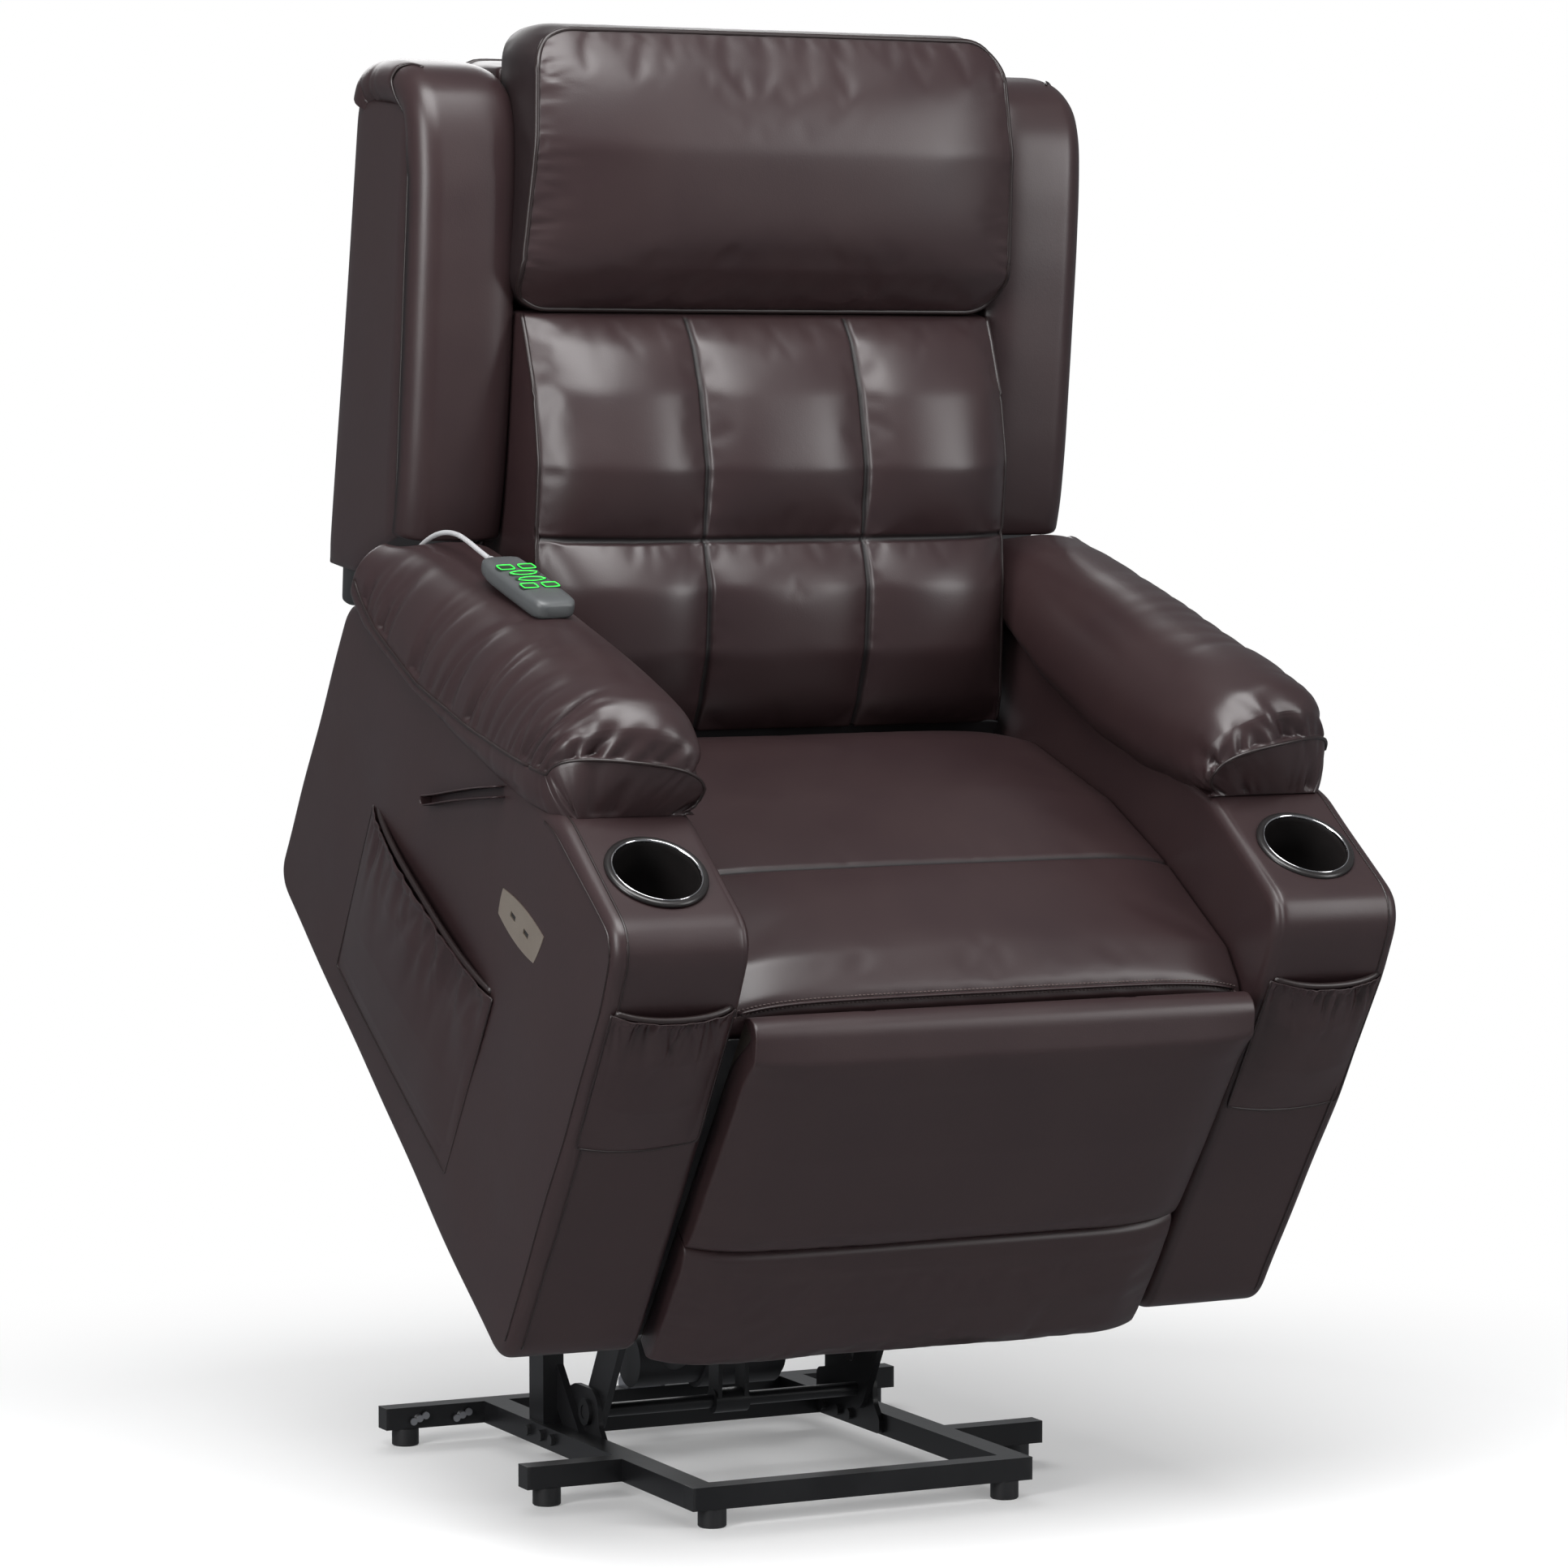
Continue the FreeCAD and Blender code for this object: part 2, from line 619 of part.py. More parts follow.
def lift_posts():
    x = (rail_inner_x, rail_inner_x + post_width)
    y = (post_front_y, post_front_y + post_depth)
    post = box(x[0], x[1], y[0], y[1], base_top, post_top)
    bore = box(x[0] + tube_wall, x[1] - tube_wall, y[0] + tube_wall, y[1] - tube_wall, base_top - 1,
               post_top - tube_wall)
    post = post.cut(bore)
    post = post.cut(bar_x(pin_radius + running_fit, rear_pivot, x[0] - 1, x[1] + 1))
    slope = math.tan(math.radians(brace_angle))
    foot = brace_width / math.sin(math.radians(brace_angle)) * 0.75
    rear = post_front_y - brace_setback
    front = rear - foot
    corners = [(front, base_top, 0), (rear, base_top, 0), (post_front_y, base_top + brace_setback * slope, 0),
               (post_front_y, base_top + (post_front_y - front) * slope, 0)]
    brace = plate(corners, x[0], x[0] + brace_thickness)
    brace = brace.cut(bar_x(shaft_radius + brace_thickness, front_pivot, x[0] - 1, x[1]))
    return both_sides(post) + both_sides(brace)


def actuator_clevis():
    y, z = motor_pivot
    foot = rear_bar_y + base_tube
    corners = [(rear_bar_y, base_top, 0), (foot, base_top, 2), (foot, base_top + 8, 6), (y + 14, z + 13, 12),
               (y - 13, z + 13, 12), (y - 13, z - 13, 12), (rear_bar_y - 4, base_top + 3, 0)]
    cheek = plate(corners, clevis_x[0], clevis_x[1])
    cheek = cheek.cut(bar_x(actuator_pin_radius + running_fit, motor_pivot, clevis_x[0] - 1, clevis_x[1] + 1))
    web = box(-clevis_x[0], clevis_x[0], rear_bar_y, foot, base_top, base_top + 4)
    return [cheek.fuse(mirrored(cheek)).fuse(web)]


# Lift links
lifted_pin = chair_to_floor(front_pin)
front_elbow = polar(front_pivot, elbow_reach, elbow_direction)


def front_lift_links():
    lower = bar_link(front_pivot, front_elbow, front_link_width, front_link_x[0], front_link_x[1], 0, 0)
    upper = bar_link(front_elbow, lifted_pin, front_link_width, front_link_x[0], front_link_x[1], 0, 0)
    link = lower.fuse(upper).removeSplitter()
    link = link.cut(bar_x(shaft_radius, front_pivot, front_link_x[0] - 1, front_link_x[1] + 1))
    link = link.cut(bar_x(shaft_radius + running_fit, lifted_pin, front_link_x[0] - 1, front_link_x[1] + 1))
    return both_sides(link)


lever_tip = polar(front_pivot, lever_reach, lever_direction)


def lift_torque_shaft():
    end = rail_inner_x + 4
    shaft = bar_x(shaft_radius, front_pivot, -end, end)
    half = lever_x_pair[1] + 2
    hub = bar_x(shaft_radius + 6, front_pivot, -half, half)
    lever = bar_link(front_pivot, lever_tip, lever_width, lever_x_pair[0], lever_x_pair[1], 0, actuator_pin_radius)
    pin_end = lever_x_pair[1] + actuator_pin_end
    pin = bar_x(actuator_pin_radius, lever_tip, -pin_end, pin_end)
    return [shaft.fuse(hub).fuse(lever).fuse(mirrored(lever)).fuse(pin)]


lifted_rear_pin = chair_to_floor(rear_pin)


def lowered_origin():
    """Floor point of the chair frame's origin when the chair stands level on its lowest point."""
    reach = distance(front_pivot, lifted_pin)
    rise = (seated_height + front_pin[1] - front_pivot[1]) / reach
    end = (front_pivot[0] - reach * math.sqrt(1 - rise * rise), seated_height + front_pin[1])
    return (end[0] - front_pin[0], seated_height)


def rear_lift_links():
    start = distance(rear_pivot, lifted_rear_pin)
    low = lowered_origin()
    finish = distance(rear_pivot, (low[0] + rear_pin[0], low[1] + rear_pin[1]))
    angle = direction(rear_pivot, lifted_rear_pin)
    slot_radius = pin_radius + slot_side_play
    slot_from = polar(rear_pivot, start - slot_end_play, angle)
    slot_to = polar(rear_pivot, finish + slot_end_play, angle)
    end = polar(rear_pivot, finish, angle)
    link = bar_link(rear_pivot, end, rear_link_width, rear_link_x[0], rear_link_x[1],
                    pin_radius + running_fit, 0)
    slot = bar_link(slot_from, slot_to, 2 * slot_radius, rear_link_x[0] - 1, rear_link_x[1] + 1, 0, 0)
    return both_sides(link.cut(slot))


# Lift actuator
def along(start, end, reach):
    return polar(start, reach, direction(start, end))


def slanted_cylinder(radius, start, end, x=0.0):
    axis = Vector(0, end[0] - start[0], end[1] - start[1])
    return Part.makeCylinder(radius, axis.Length, Vector(x, start[0], start[1]), axis)


def lift_motor_housing():
    a = motor_pivot
    b = lever_tip
    angle = direction(a, b)
    centre = along(a, b, motor_offset)
    half = clevis_x[0] - 3
    eye = bar_link(a, centre, motor_eye_width, -half, half, 0, 0)
    gear = bar_x(lift_motor_radius - 6, centre, lift_housing_x[0], lift_housing_x[1])
    neck = slanted_cylinder(lift_tube_radius + 6, centre, along(a, b, motor_offset + neck_length))
    cap_start = lift_motor_x[1] - motor_cap_length
    motor = bar_x(lift_motor_radius, centre, lift_motor_x[0], cap_start)
    cap = bar_x(lift_motor_radius - 7, centre, cap_start, lift_motor_x[1])
    housing = gear.fuse(eye).fuse(neck).fuse(motor).fuse(cap)
    housing = housing.cut(slanted_cylinder(lift_rod_radius + 1, along(a, b, motor_offset + 20), b))
    clear = box(-clevis_x[1] - 2, clevis_x[1] + 2, a[0] - 16, a[0] + 20, a[1] - 16, a[1] + 16)
    inner = box(-half, half, a[0] - 17, a[0] + 21, a[1] - 17, a[1] + 17)
    housing = housing.cut(clear.cut(inner))
    housing = housing.cut(bar_x(actuator_pin_radius + running_fit, a, -clevis_x[1], clevis_x[1]))
    start = along(a, b, motor_offset + neck_length)
    tube = slanted_cylinder(lift_tube_radius, start, along(a, b, lift_tube_end))
    tube = tube.cut(slanted_cylinder(lift_rod_radius + running_fit, along(a, b, motor_offset), b))
    return [housing, tube]


def lift_rod():
    a = motor_pivot
    b = lever_tip
    rod = slanted_cylinder(lift_rod_radius, along(a, b, motor_offset + neck_length - 2), b)
    eye = bar_x(actuator_pin_radius + lift_eye_play + 7, b, -lever_x_pair[0] + 1, lever_x_pair[0] - 1)
    rod = rod.fuse(eye)
    return [rod.cut(bar_x(actuator_pin_radius + lift_eye_play, b, -30, 30))]


# Seat frame
def deck_height(u):
    slope = (deck_rear[1] - deck_front[1]) / (deck_rear[0] - deck_front[0])
    return deck_front[1] + slope * (u - deck_front[0])


def seat_side_boards():
    rear = deck_rear[0] - 40
    corners = list(side_board_outline) + [(rear, deck_height(rear) - 4, 40), (deck_front[0], deck_front[1] - 5, 0)]
    return both_sides(plate(corners, board_inner_x, arm_inner_x))


def seat_rails():
    under = spring_drop + spring_wire
    rail_rear = fin_foot[0] + 3 + rail_depth
    front = box(-board_inner_x, board_inner_x, rail_rear - rail_depth, rail_rear, fin_foot[1] - 2,
                deck_height(rail_rear) - under)
    apron = box(-arm_inner_x, arm_inner_x, apron_u[0], apron_u[1], apron_v[0], apron_v[1])
    last = spring_start + 2 * spring_loop * spring_turns
    half = mechanism_x[0]
    top = deck_height(last + 2) - under
    strip = box(-half, half, last - 12, last + 10, top - 3, top)
    return [front, apron, strip]


def mechanism_plates():
    rear = mechanism_outline[-1][0] - 1
    front = mechanism_notch[0] - 2
    corners = list(mechanism_outline)
    corners += [(rear, deck_height(rear) - 4, 4), (front, deck_height(front) - 4, 12), mechanism_notch]
    side = plate(corners, mechanism_x[0], mechanism_x[1])
    x = (mechanism_x[0] - over, mechanism_x[1] + over)
    side = side.cut(bar_x(torque_tube_radius + running_fit, crank_pivot, x[0], x[1]))
    side = side.cut(bar_x(pin_radius + running_fit, back_hinge, x[0], x[1]))
    for u, v, radius in mechanism_holes:
        side = side.cut(bar_x(radius, (u, v), x[0], x[1]))
    return both_sides(side)


def lift_plates():
    side = plate(lift_plate_outline, lift_plate_x[0], lift_plate_x[1])
    holes = ((front_tube, cross_tube_radius), (rear_tube, cross_tube_radius), (front_pin, shaft_radius),
             (rear_pin, pin_radius))
    for centre, radius in holes:
        side = side.cut(bar_x(radius, centre, lift_plate_x[0] - over, lift_plate_x[1] + over))
    return both_sides(side)


def mechanism_cross_tubes():
    half = mechanism_x[0]
    pieces = []
    for centre in (front_tube, rear_tube):
        pieces.append(ring_x(centre, cross_tube_radius, cross_tube_radius - tube_wall, -half, half))
    y, z = recline_pivot
    corners = [(y - 12, z + 12, 11), (y + 12, z + 12, 11), (rear_tube[0] + 20, rear_tube[1] + 2, 6),
               (rear_tube[0] + 4, rear_tube[1] - 18, 6), (rear_tube[0] - 20, rear_tube[1] - 4, 6)]
    cheek = plate(corners, recline_clevis_x[0], recline_clevis_x[1])
    cheek = cheek.cut(bar_x(cross_tube_radius, rear_tube, 0, 2 * recline_clevis_x[1]))
    pin_end = recline_clevis_x[1] + actuator_pin_end
    pin = bar_x(actuator_pin_radius, recline_pivot, -pin_end, pin_end)
    ears = cheek.fuse(pin).fuse(mirrored(cheek))
    return pieces + [ears]


def chair_pins():
    """Shoulder pins that the lift links turn on, and the two back hinge pins."""
    front = bar_x(shaft_radius, front_pin, lift_plate_x[0] - 4, front_link_x[1] + 4)
    sleeve = ring_x(front_pin, shaft_radius + 5, shaft_radius, lift_plate_x[1], front_link_x[0] - running_fit)
    head = bar_x(shaft_radius + 5, front_pin, front_link_x[1] + running_fit, front_link_x[1] + 4)
    nut = hexagon(shaft_radius + 5, front_pin, lift_plate_x[0] - 6, lift_plate_x[0])
    pieces = both_sides(front.fuse(sleeve).fuse(head).fuse(nut))
    rear = bar_x(pin_radius, rear_pin, lift_plate_x[0] - 4, rear_link_x[1] + 3)
    sleeve = ring_x(rear_pin, pin_radius + 5, pin_radius, lift_plate_x[1], rear_link_x[0] - running_fit)
    head = bar_x(pin_radius + 7, rear_pin, rear_link_x[1] + running_fit, rear_link_x[1] + 3)
    nut = hexagon(pin_radius + 4, rear_pin, lift_plate_x[0] - 5, lift_plate_x[0])
    pieces += both_sides(rear.fuse(sleeve).fuse(head).fuse(nut))
    hinge = bar_x(pin_radius, back_hinge, bracket_x[0] - 5, mechanism_x[1])
    head = bar_x(pin_radius + 5, back_hinge, bracket_x[0] - 5, bracket_x[0] - running_fit)
    collar = ring_x(back_hinge, pin_radius + 4, pin_radius, bracket_x[1] + running_fit, mechanism_x[0])
    pieces += both_sides(hinge.fuse(head).fuse(collar))
    return pieces


def seat_springs():
    """Flat serpentine springs from the front rail to the rear, in the slope of the deck."""
    springs = []
    half = spring_wire / 2
    pitch = spring_loop * 2
    start = spring_start
    for x in spring_x:
        y = start
        edges = []
        side = 1
        point = (x - spring_loop, y)
        for i in range(spring_turns):
            run_end = (point[0] + side * spring_loop * 2, point[1])
            corner = Vector(run_end[0], run_end[1], 0)
            edges.append(Part.LineSegment(Vector(point[0], point[1], 0), corner).toShape())
            turn_end = (run_end[0], run_end[1] + pitch)
            middle = Vector(run_end[0] + side * spring_loop, run_end[1] + spring_loop, 0)
            edges.append(Part.Arc(corner, middle, Vector(turn_end[0], turn_end[1], 0)).toShape())
            point = turn_end
            side = -side
        edges.append(Part.LineSegment(Vector(point[0], point[1], 0),
                                      Vector(point[0] + side * spring_loop * 2, point[1], 0)).toShape())
        springs.append((Part.Wire(edges), x))
    solids = []
    slope = direction(deck_front, deck_rear)
    for path, x in springs:
        first = path.Edges[0].Vertexes[0].Point
        profile = Part.Wire(Part.makePolygon([
            first + Vector(0, -half, -half), first + Vector(0, half, -half), first + Vector(0, half, half),
            first + Vector(0, -half, half), first + Vector(0, -half, -half)]).Edges)
        solid = path.makePipeShell([profile], True, True)
        solid.rotate(Vector(0, start, 0), Vector(1, 0, 0), slope)
        solid.translate(Vector(0, 0, deck_height(start) - half - spring_drop))
        solids.append(solid)
    return solids


# Back
def back_brackets():
    side = plate(bracket_outline, bracket_x[0], bracket_x[1])
    x = (bracket_x[0] - over, bracket_x[1] + over)
    side = side.cut(bar_x(pin_radius + running_fit, (0, 0), x[0], x[1]))
    side = side.cut(bar_x(back_tube_radius, back_tube, x[0], x[1]))
    tube = bar_x(back_tube_radius, back_tube, -bracket_x[1], bracket_x[1])
    return both_sides(side) + [tube]


def core_corners(inset):
    return [(core_front + inset, core_low[0] + inset, 6), (core_rear - inset, core_low[1] + inset, 12),
            (core_rear - inset, core_top - inset, 30), (core_front + inset, core_top - inset, 6)]


def back_cover():
    half = core_half_width
    shell = plate(core_corners(0), -half, half)
    inner = plate(core_corners(core_wall), -half + core_wall, half - core_wall)
    pocket = plate(bracket_outline, bracket_x[0], wing_inner_x + over)
    shell = shell.cut(inner).cut(pocket).cut(mirrored(pocket))
    return [shell]


def back_frame():
    """Timber ladder inside the back: two uprights and three rails."""
    half = core_half_width - core_wall - 0.5
    front = core_front + core_wall
    near = front + 30
    top = core_top - core_wall - 8
    low = core_low[0] + 48
    upright = plate([(near, low, 0), (near + upright_depth, low + 40, 0), (near + upright_depth, top, 0),
                     (near, top, 0)], half - 6 - upright_width, half - 6)
    pieces = both_sides(upright)
    inner = half - 6 - upright_width
    for low in frame_rail_low:
        pieces.append(box(-inner, inner, near + 4, near + upright_depth - 19, low, low + rail_height))
    return pieces


def lumbar_section(front, back, half, bulge, edge_back):
    """Cushion section across X in the plane through a front and a back point (m, s): three cells wide."""
    seam = half / 3
    depth = distance(front, back)

    def place(x, t):
        share = t / depth
        return Vector(x, front[0] + (back[0] - front[0]) * share, front[1] + (back[1] - front[1]) * share)

    points = [(-half, depth, 0), (-half, edge_back, bulge * 0.8), (-seam, 0, bulge), (seam, 0, bulge * 0.8),
              (half, edge_back, 0), (half, depth, 0)]
    return bulged_wire(points, place)


def lumbar_cushion():
    rear = core_front - soft_gap
    wires = []
    for m, s_front, s_rear, bulge, edge_back in lumbar_rows:
        wires.append(lumbar_section((m, s_front), (rear, s_rear), lumbar_half, bulge, edge_back))
    lower = Part.makeLoft(wires[:3], True, False)
    upper = Part.makeLoft(wires[2:], True, False)
    return [lower.fuse(upper)]


def headrest_pillow():
    stations = crown_stations(wing_inner_x - soft_gap, headrest_draw, headrest_edge)
    return [crowned(headrest_outline, stations)]


def wing(side):
    solid = crowned(wing_outline, wing_stations)
    return [solid if side > 0 else mirrored(solid)]


# Footrest
crank_end = (crank_pivot[0] + link_offset[0], crank_pivot[1] + link_offset[1])
panel_pin = (panel_hinge[0] + link_offset[0], panel_hinge[1] + link_offset[1])


def footrest_board():
    half = panel_half_width
    board = box(-half, half, panel_board[0], panel_board[1], panel_low, panel_hinge[1])
    nose = bar_x(panel_nose, panel_hinge, -half, half)
    board = board.fuse(nose).removeSplitter()
    for side in (-1, 1):
        x = side * fin_x
        slot = box(x - fin_slot / 2, x + fin_slot / 2, -30, 40, panel_hinge[1] - 124, panel_hinge[1] + 25)
        keep = box(x - fin_slot, x + fin_slot, -30, panel_hinge[0] - 9, 0, 500)
        board = board.cut(slot.cut(keep))
        half_hole = hinge_pin_half + over
        hole = bar_x(hinge_pin_radius + running_fit, panel_hinge, x - half_hole, x + half_hole)
        board = board.cut(hole)
    return [board]


def footrest_brackets():
    """Steel angles on the back of the footrest board that the couplers push on."""
    y, z = panel_pin
    rear = panel_board[1]
    half = footrest_bracket_half
    corners = [(rear, z - half, 0), (rear + 4, z - half, 3), (y + 11, z - 8, 8), (y + 11, z + 10, 8),
               (rear + 4, z + half, 3), (rear, z + half, 0)]
    ear = plate(corners, crank_x[0], crank_x[1])
    foot = box(crank_x[1], crank_x[1] + footrest_bracket_foot, rear, rear + 3, z - half, z + half)
    bracket = ear.fuse(foot)
    pin = bar_x(coupler_pin_radius, panel_pin, coupler_x[0] - 3, crank_x[1])
    head = bar_x(coupler_pin_head, panel_pin, coupler_x[0] - 3, coupler_x[0] - running_fit)
    return both_sides(bracket.fuse(pin).fuse(head))


def footrest_pad():
    stations = crown_stations(pad_half_width, pad_draw, pad_edge)
    return [crowned_flat_back(outline, stations) for outline in (upper_pad_outline, lower_pad_outline)]


def crowned_flat_back(points, stations):
    """Pad on a board: like a cushion, but only its front seams are drawn in."""
    front = min(p[0] for p in points)
    centre_b = sum(p[1] for p in points) / len(points)
    half_b = (max(p[1] for p in points) - min(p[1] for p in points)) / 2
    wires = []
    for x, draw in stations:
        section = []
        for a, b, bulge in points:
            moved = a + draw if a - front < pad_front_depth else a
            section.append((moved, centre_b + (b - centre_b) * (1 - draw * 0.3 / half_b), bulge))
        wires.append(bulged_wire(section, lambda y, z, x=x: Vector(x, y, z)))
    return Part.makeLoft(wires, True, False)


def footrest_hinge_fins():
    """Steel fins from the seat's front rail that carry the footrest hinge, with their pins."""
    pieces = []
    for side in (-1, 1):
        x = side * fin_x
        half = fin_thickness / 2
        fin = plate(fin_outline, x - half, x + half).fuse(bar_x(knuckle_radius, panel_hinge, x - half, x + half))
        pad = box(x - fin_foot_half, x + fin_foot_half, fin_foot[0], fin_foot[0] + 3, fin_foot[1], fin_foot[2])
        pin = bar_x(hinge_pin_radius, panel_hinge, x - hinge_pin_half, x + hinge_pin_half)
        pieces.append(fin.fuse(pad).fuse(pin))
    return pieces


def footrest_crank():
    half = mechanism_x[1] - 0.5
    tube = bar_x(torque_tube_radius, crank_pivot, -half, half)
    arm = bar_link(crank_pivot, crank_end, link_width, crank_x[0], crank_x[1], 0, 0)
    arm = arm.fuse(bar_x(coupler_pin_radius, crank_end, coupler_x[0] - 3, crank_x[1]))
    arm = arm.fuse(bar_x(coupler_pin_head, crank_end, coupler_x[0] - 3, coupler_x[0] - running_fit))
    lever = bar_link(crank_pivot, tie_lever, link_width, lever_x[0], lever_x[1], 0, 0)
    washer = lever_pin_radius + tie_play + 4
    lever = lever.fuse(bar_x(lever_pin_radius, tie_lever, lever_x[0], tie_x[1] + 2))
    lever = lever.fuse(bar_x(washer, tie_lever, tie_x[1] + running_fit, tie_x[1] + 2.5))
    arms = arm.fuse(lever)
    return [tube.fuse(arms).fuse(mirrored(arms))]


def footrest_couplers():
    hole = coupler_pin_radius + running_fit
    return both_sides(bar_link(crank_end, panel_pin, coupler_width, coupler_x[0], coupler_x[1], hole, hole))


recline_tip = back_to_chair(back_tube)


def tie_bars():
    front_hole = lever_pin_radius + tie_play
    rear_hole = back_tube_radius + running_fit
    bar = bar_link(tie_lever, recline_tip, tie_width, tie_x[0], tie_x[1], 0, 0)
    bar = bar.fuse(bar_x(front_hole + 5, tie_lever, tie_x[0], tie_x[1]))
    bar = bar.fuse(bar_x(rear_hole + 6, recline_tip, tie_x[0], tie_x[1]))
    for centre, hole in ((tie_lever, front_hole), (recline_tip, rear_hole)):
        bar = bar.cut(bar_x(hole, centre, tie_x[0] - over, tie_x[1] + over))
    return both_sides(bar)


# Recline actuator
def recline_motor():
    a = recline_pivot
    b = recline_tip
    centre = along(a, b, recline_reach)
    inner = recline_clevis_x[0] - 1
    eye = bar_link(a, centre, 22, -inner, inner, 0, 0)
    gear = bar_x(recline_motor_radius, centre, -recline_gear_half, recline_gear_half)
    motor = bar_x(recline_motor_radius, centre, recline_gear_half, recline_motor_end)
    cap = bar_x(recline_motor_radius - 5, centre, recline_motor_end, recline_cap_end)
    neck = slanted_cylinder(recline_tube_radius + 5, centre, along(a, b, recline_neck_end))
    housing = eye.fuse(gear).fuse(motor).fuse(cap).fuse(neck)
    bore_start = along(a, b, recline_reach + 14)
    housing = housing.cut(slanted_cylinder(recline_rod_radius + 1, bore_start, b))
    housing = housing.cut(bar_x(actuator_pin_radius + running_fit, a, -recline_gear_half, recline_gear_half))
    tube = slanted_cylinder(recline_tube_radius, along(a, b, recline_neck_end), along(a, b, recline_tube_end))
    tube = tube.cut(slanted_cylinder(recline_rod_radius + running_fit, bore_start, b))
    return [housing, tube]


def recline_rod():
    a = recline_pivot
    b = recline_tip
    rod = slanted_cylinder(recline_rod_radius, along(a, b, recline_tube_end - 100), b)
    hole = back_tube_radius + recline_eye_play
    half = recline_rod_radius + 3
    rod = rod.fuse(bar_x(hole + 6, b, -half, half))
    return [rod.cut(bar_x(hole, b, -half - over, half + over))]


# Arms
def arm_face_u(v):
    """Front face of the arm: its u at a height v."""
    for (v0, u0), (v1, u1) in zip(arm_front_rows, arm_front_rows[1:]):
        if v <= v1:
            return u0 + (u1 - u0) * (v - v0) / (v1 - v0)
    return arm_front_rows[-1][1]


def arm(side):
    solid = plate(arm_outline, arm_inner_x, arm_outer_x)
    edges = []
    for edge in solid.Edges:
        flat = all(abs(p.Point.x - arm_outer_x) < 1e-6 for p in edge.Vertexes)
        if flat:
            edges.append(edge)
    solid = solid.makeFillet(arm_edge, edges)
    hole = Part.makeCylinder(cup_radius + cup_wall + 0.2, cup_depth + cup_wall + 0.5,
                             Vector(cup_x, cup_u, arm_top_v - cup_depth - cup_wall + cup_ring_height - 0.5))
    solid = solid.cut(hole)
    if side > 0:
        return [solid]
    solid = mirrored(solid)
    return [solid.cut(usb_recess())]


def pillow(side):
    wires = []
    for x, draw in pillow_stations:
        section = []
        shrink = 1 - draw / pillow_half_length
        for a, b, bulge in pillow_outline:
            middle = arm_top_v - (a - pillow_outline[0][0]) * pillow_slope
            section.append((pillow_middle_u + (a - pillow_middle_u) * shrink, b if b < middle else b - draw, bulge))
        wires.append(bulged_wire(section, lambda y, z, x=x: Vector(x, y, z)))
    solid = Part.makeLoft(wires, True, False)
    return [solid if side > 0 else mirrored(solid)]


def cup_holder(side):
    base = arm_top_v + cup_ring_height - cup_depth
    outer = cup_radius + cup_wall
    axis = Vector(0, 0, 1)
    low = Vector(side * cup_x, cup_u, base - cup_wall)
    cup = Part.makeCylinder(outer, cup_depth + cup_wall, low, axis)
    ring = Part.makeCone(cup_ring_radius, cup_ring_radius - 2, cup_ring_height,
                         Vector(side * cup_x, cup_u, arm_top_v), axis)
    cup = cup.fuse(ring)
    return cup.cut(Part.makeCylinder(cup_radius, cup_depth + 1, Vector(side * cup_x, cup_u, base), axis))


def pouch(rows, outward, wall):
    """Open pocket: rows are (end, end, bulge) from the bottom to the mouth, on the face it is sewn to."""
    def section(a, b, bulge):
        middle = (a + b) * 0.5 + outward * bulge
        return Part.Wire([Part.Arc(a, middle, b).toShape(), Part.LineSegment(b, a).toShape()])

    outer = Part.makeLoft([section(*row) for row in rows], True, False)
    inner_rows = []
    for i, (a, b, bulge) in enumerate(rows):
        run = (b - a).normalize()
        up = Vector(0, 0, 0)
        if i == 0:
            up = (rows[1][0] - rows[0][0]).normalize() * wall
        if i == len(rows) - 1:
            up = (rows[-1][0] - rows[-2][0]).normalize() * 2
        inner_rows.append((a + run * wall * 3 + up, b - run * wall * 3 + up, max(bulge - wall, 0.6)))
    inner = Part.makeLoft([section(*row) for row in inner_rows], True, False)
    lid = inner.copy()
    lid.translate(outward * -0.01)
    return outer.cut(inner).cut(lid)


def arm_pocket(side):
    outward = Vector(0, -1, 0)
    rows = []
    centre = side * arm_middle_x
    for v, half, bulge in pocket_rows:
        u = arm_face_u(v)
        rows.append((Vector(centre - half, u, v), Vector(centre + half, u, v), bulge))
    return pouch(rows, outward, pocket_wall)


def side_pocket():
    low_front, low_rear = [Vector(-arm_outer_x, u, v) for u, v in side_pocket_low]
    high_front, high_rear = [Vector(-arm_outer_x, u, v) for u, v in side_pocket_high]
    rows = []
    for share, bulge in side_pocket_rows:
        rows.append((low_front + (high_front - low_front) * share, low_rear + (high_rear - low_rear) * share, bulge))
    return [pouch(rows, Vector(-1, 0, 0), pocket_wall)]


def usb_box(length, height, x_from, x_to, offset=0.0):
    block = box(x_from, x_to, offset - length / 2, offset + length / 2, -height / 2, height / 2)
    block.rotate(Vector(0, 0, 0), Vector(1, 0, 0), usb_tilt)
    block.translate(Vector(0, usb_centre[0], usb_centre[1]))
    return block


def usb_recess():
    return usb_box(usb_block[0], usb_block[1], -arm_outer_x - over, -arm_outer_x + usb_block[2])


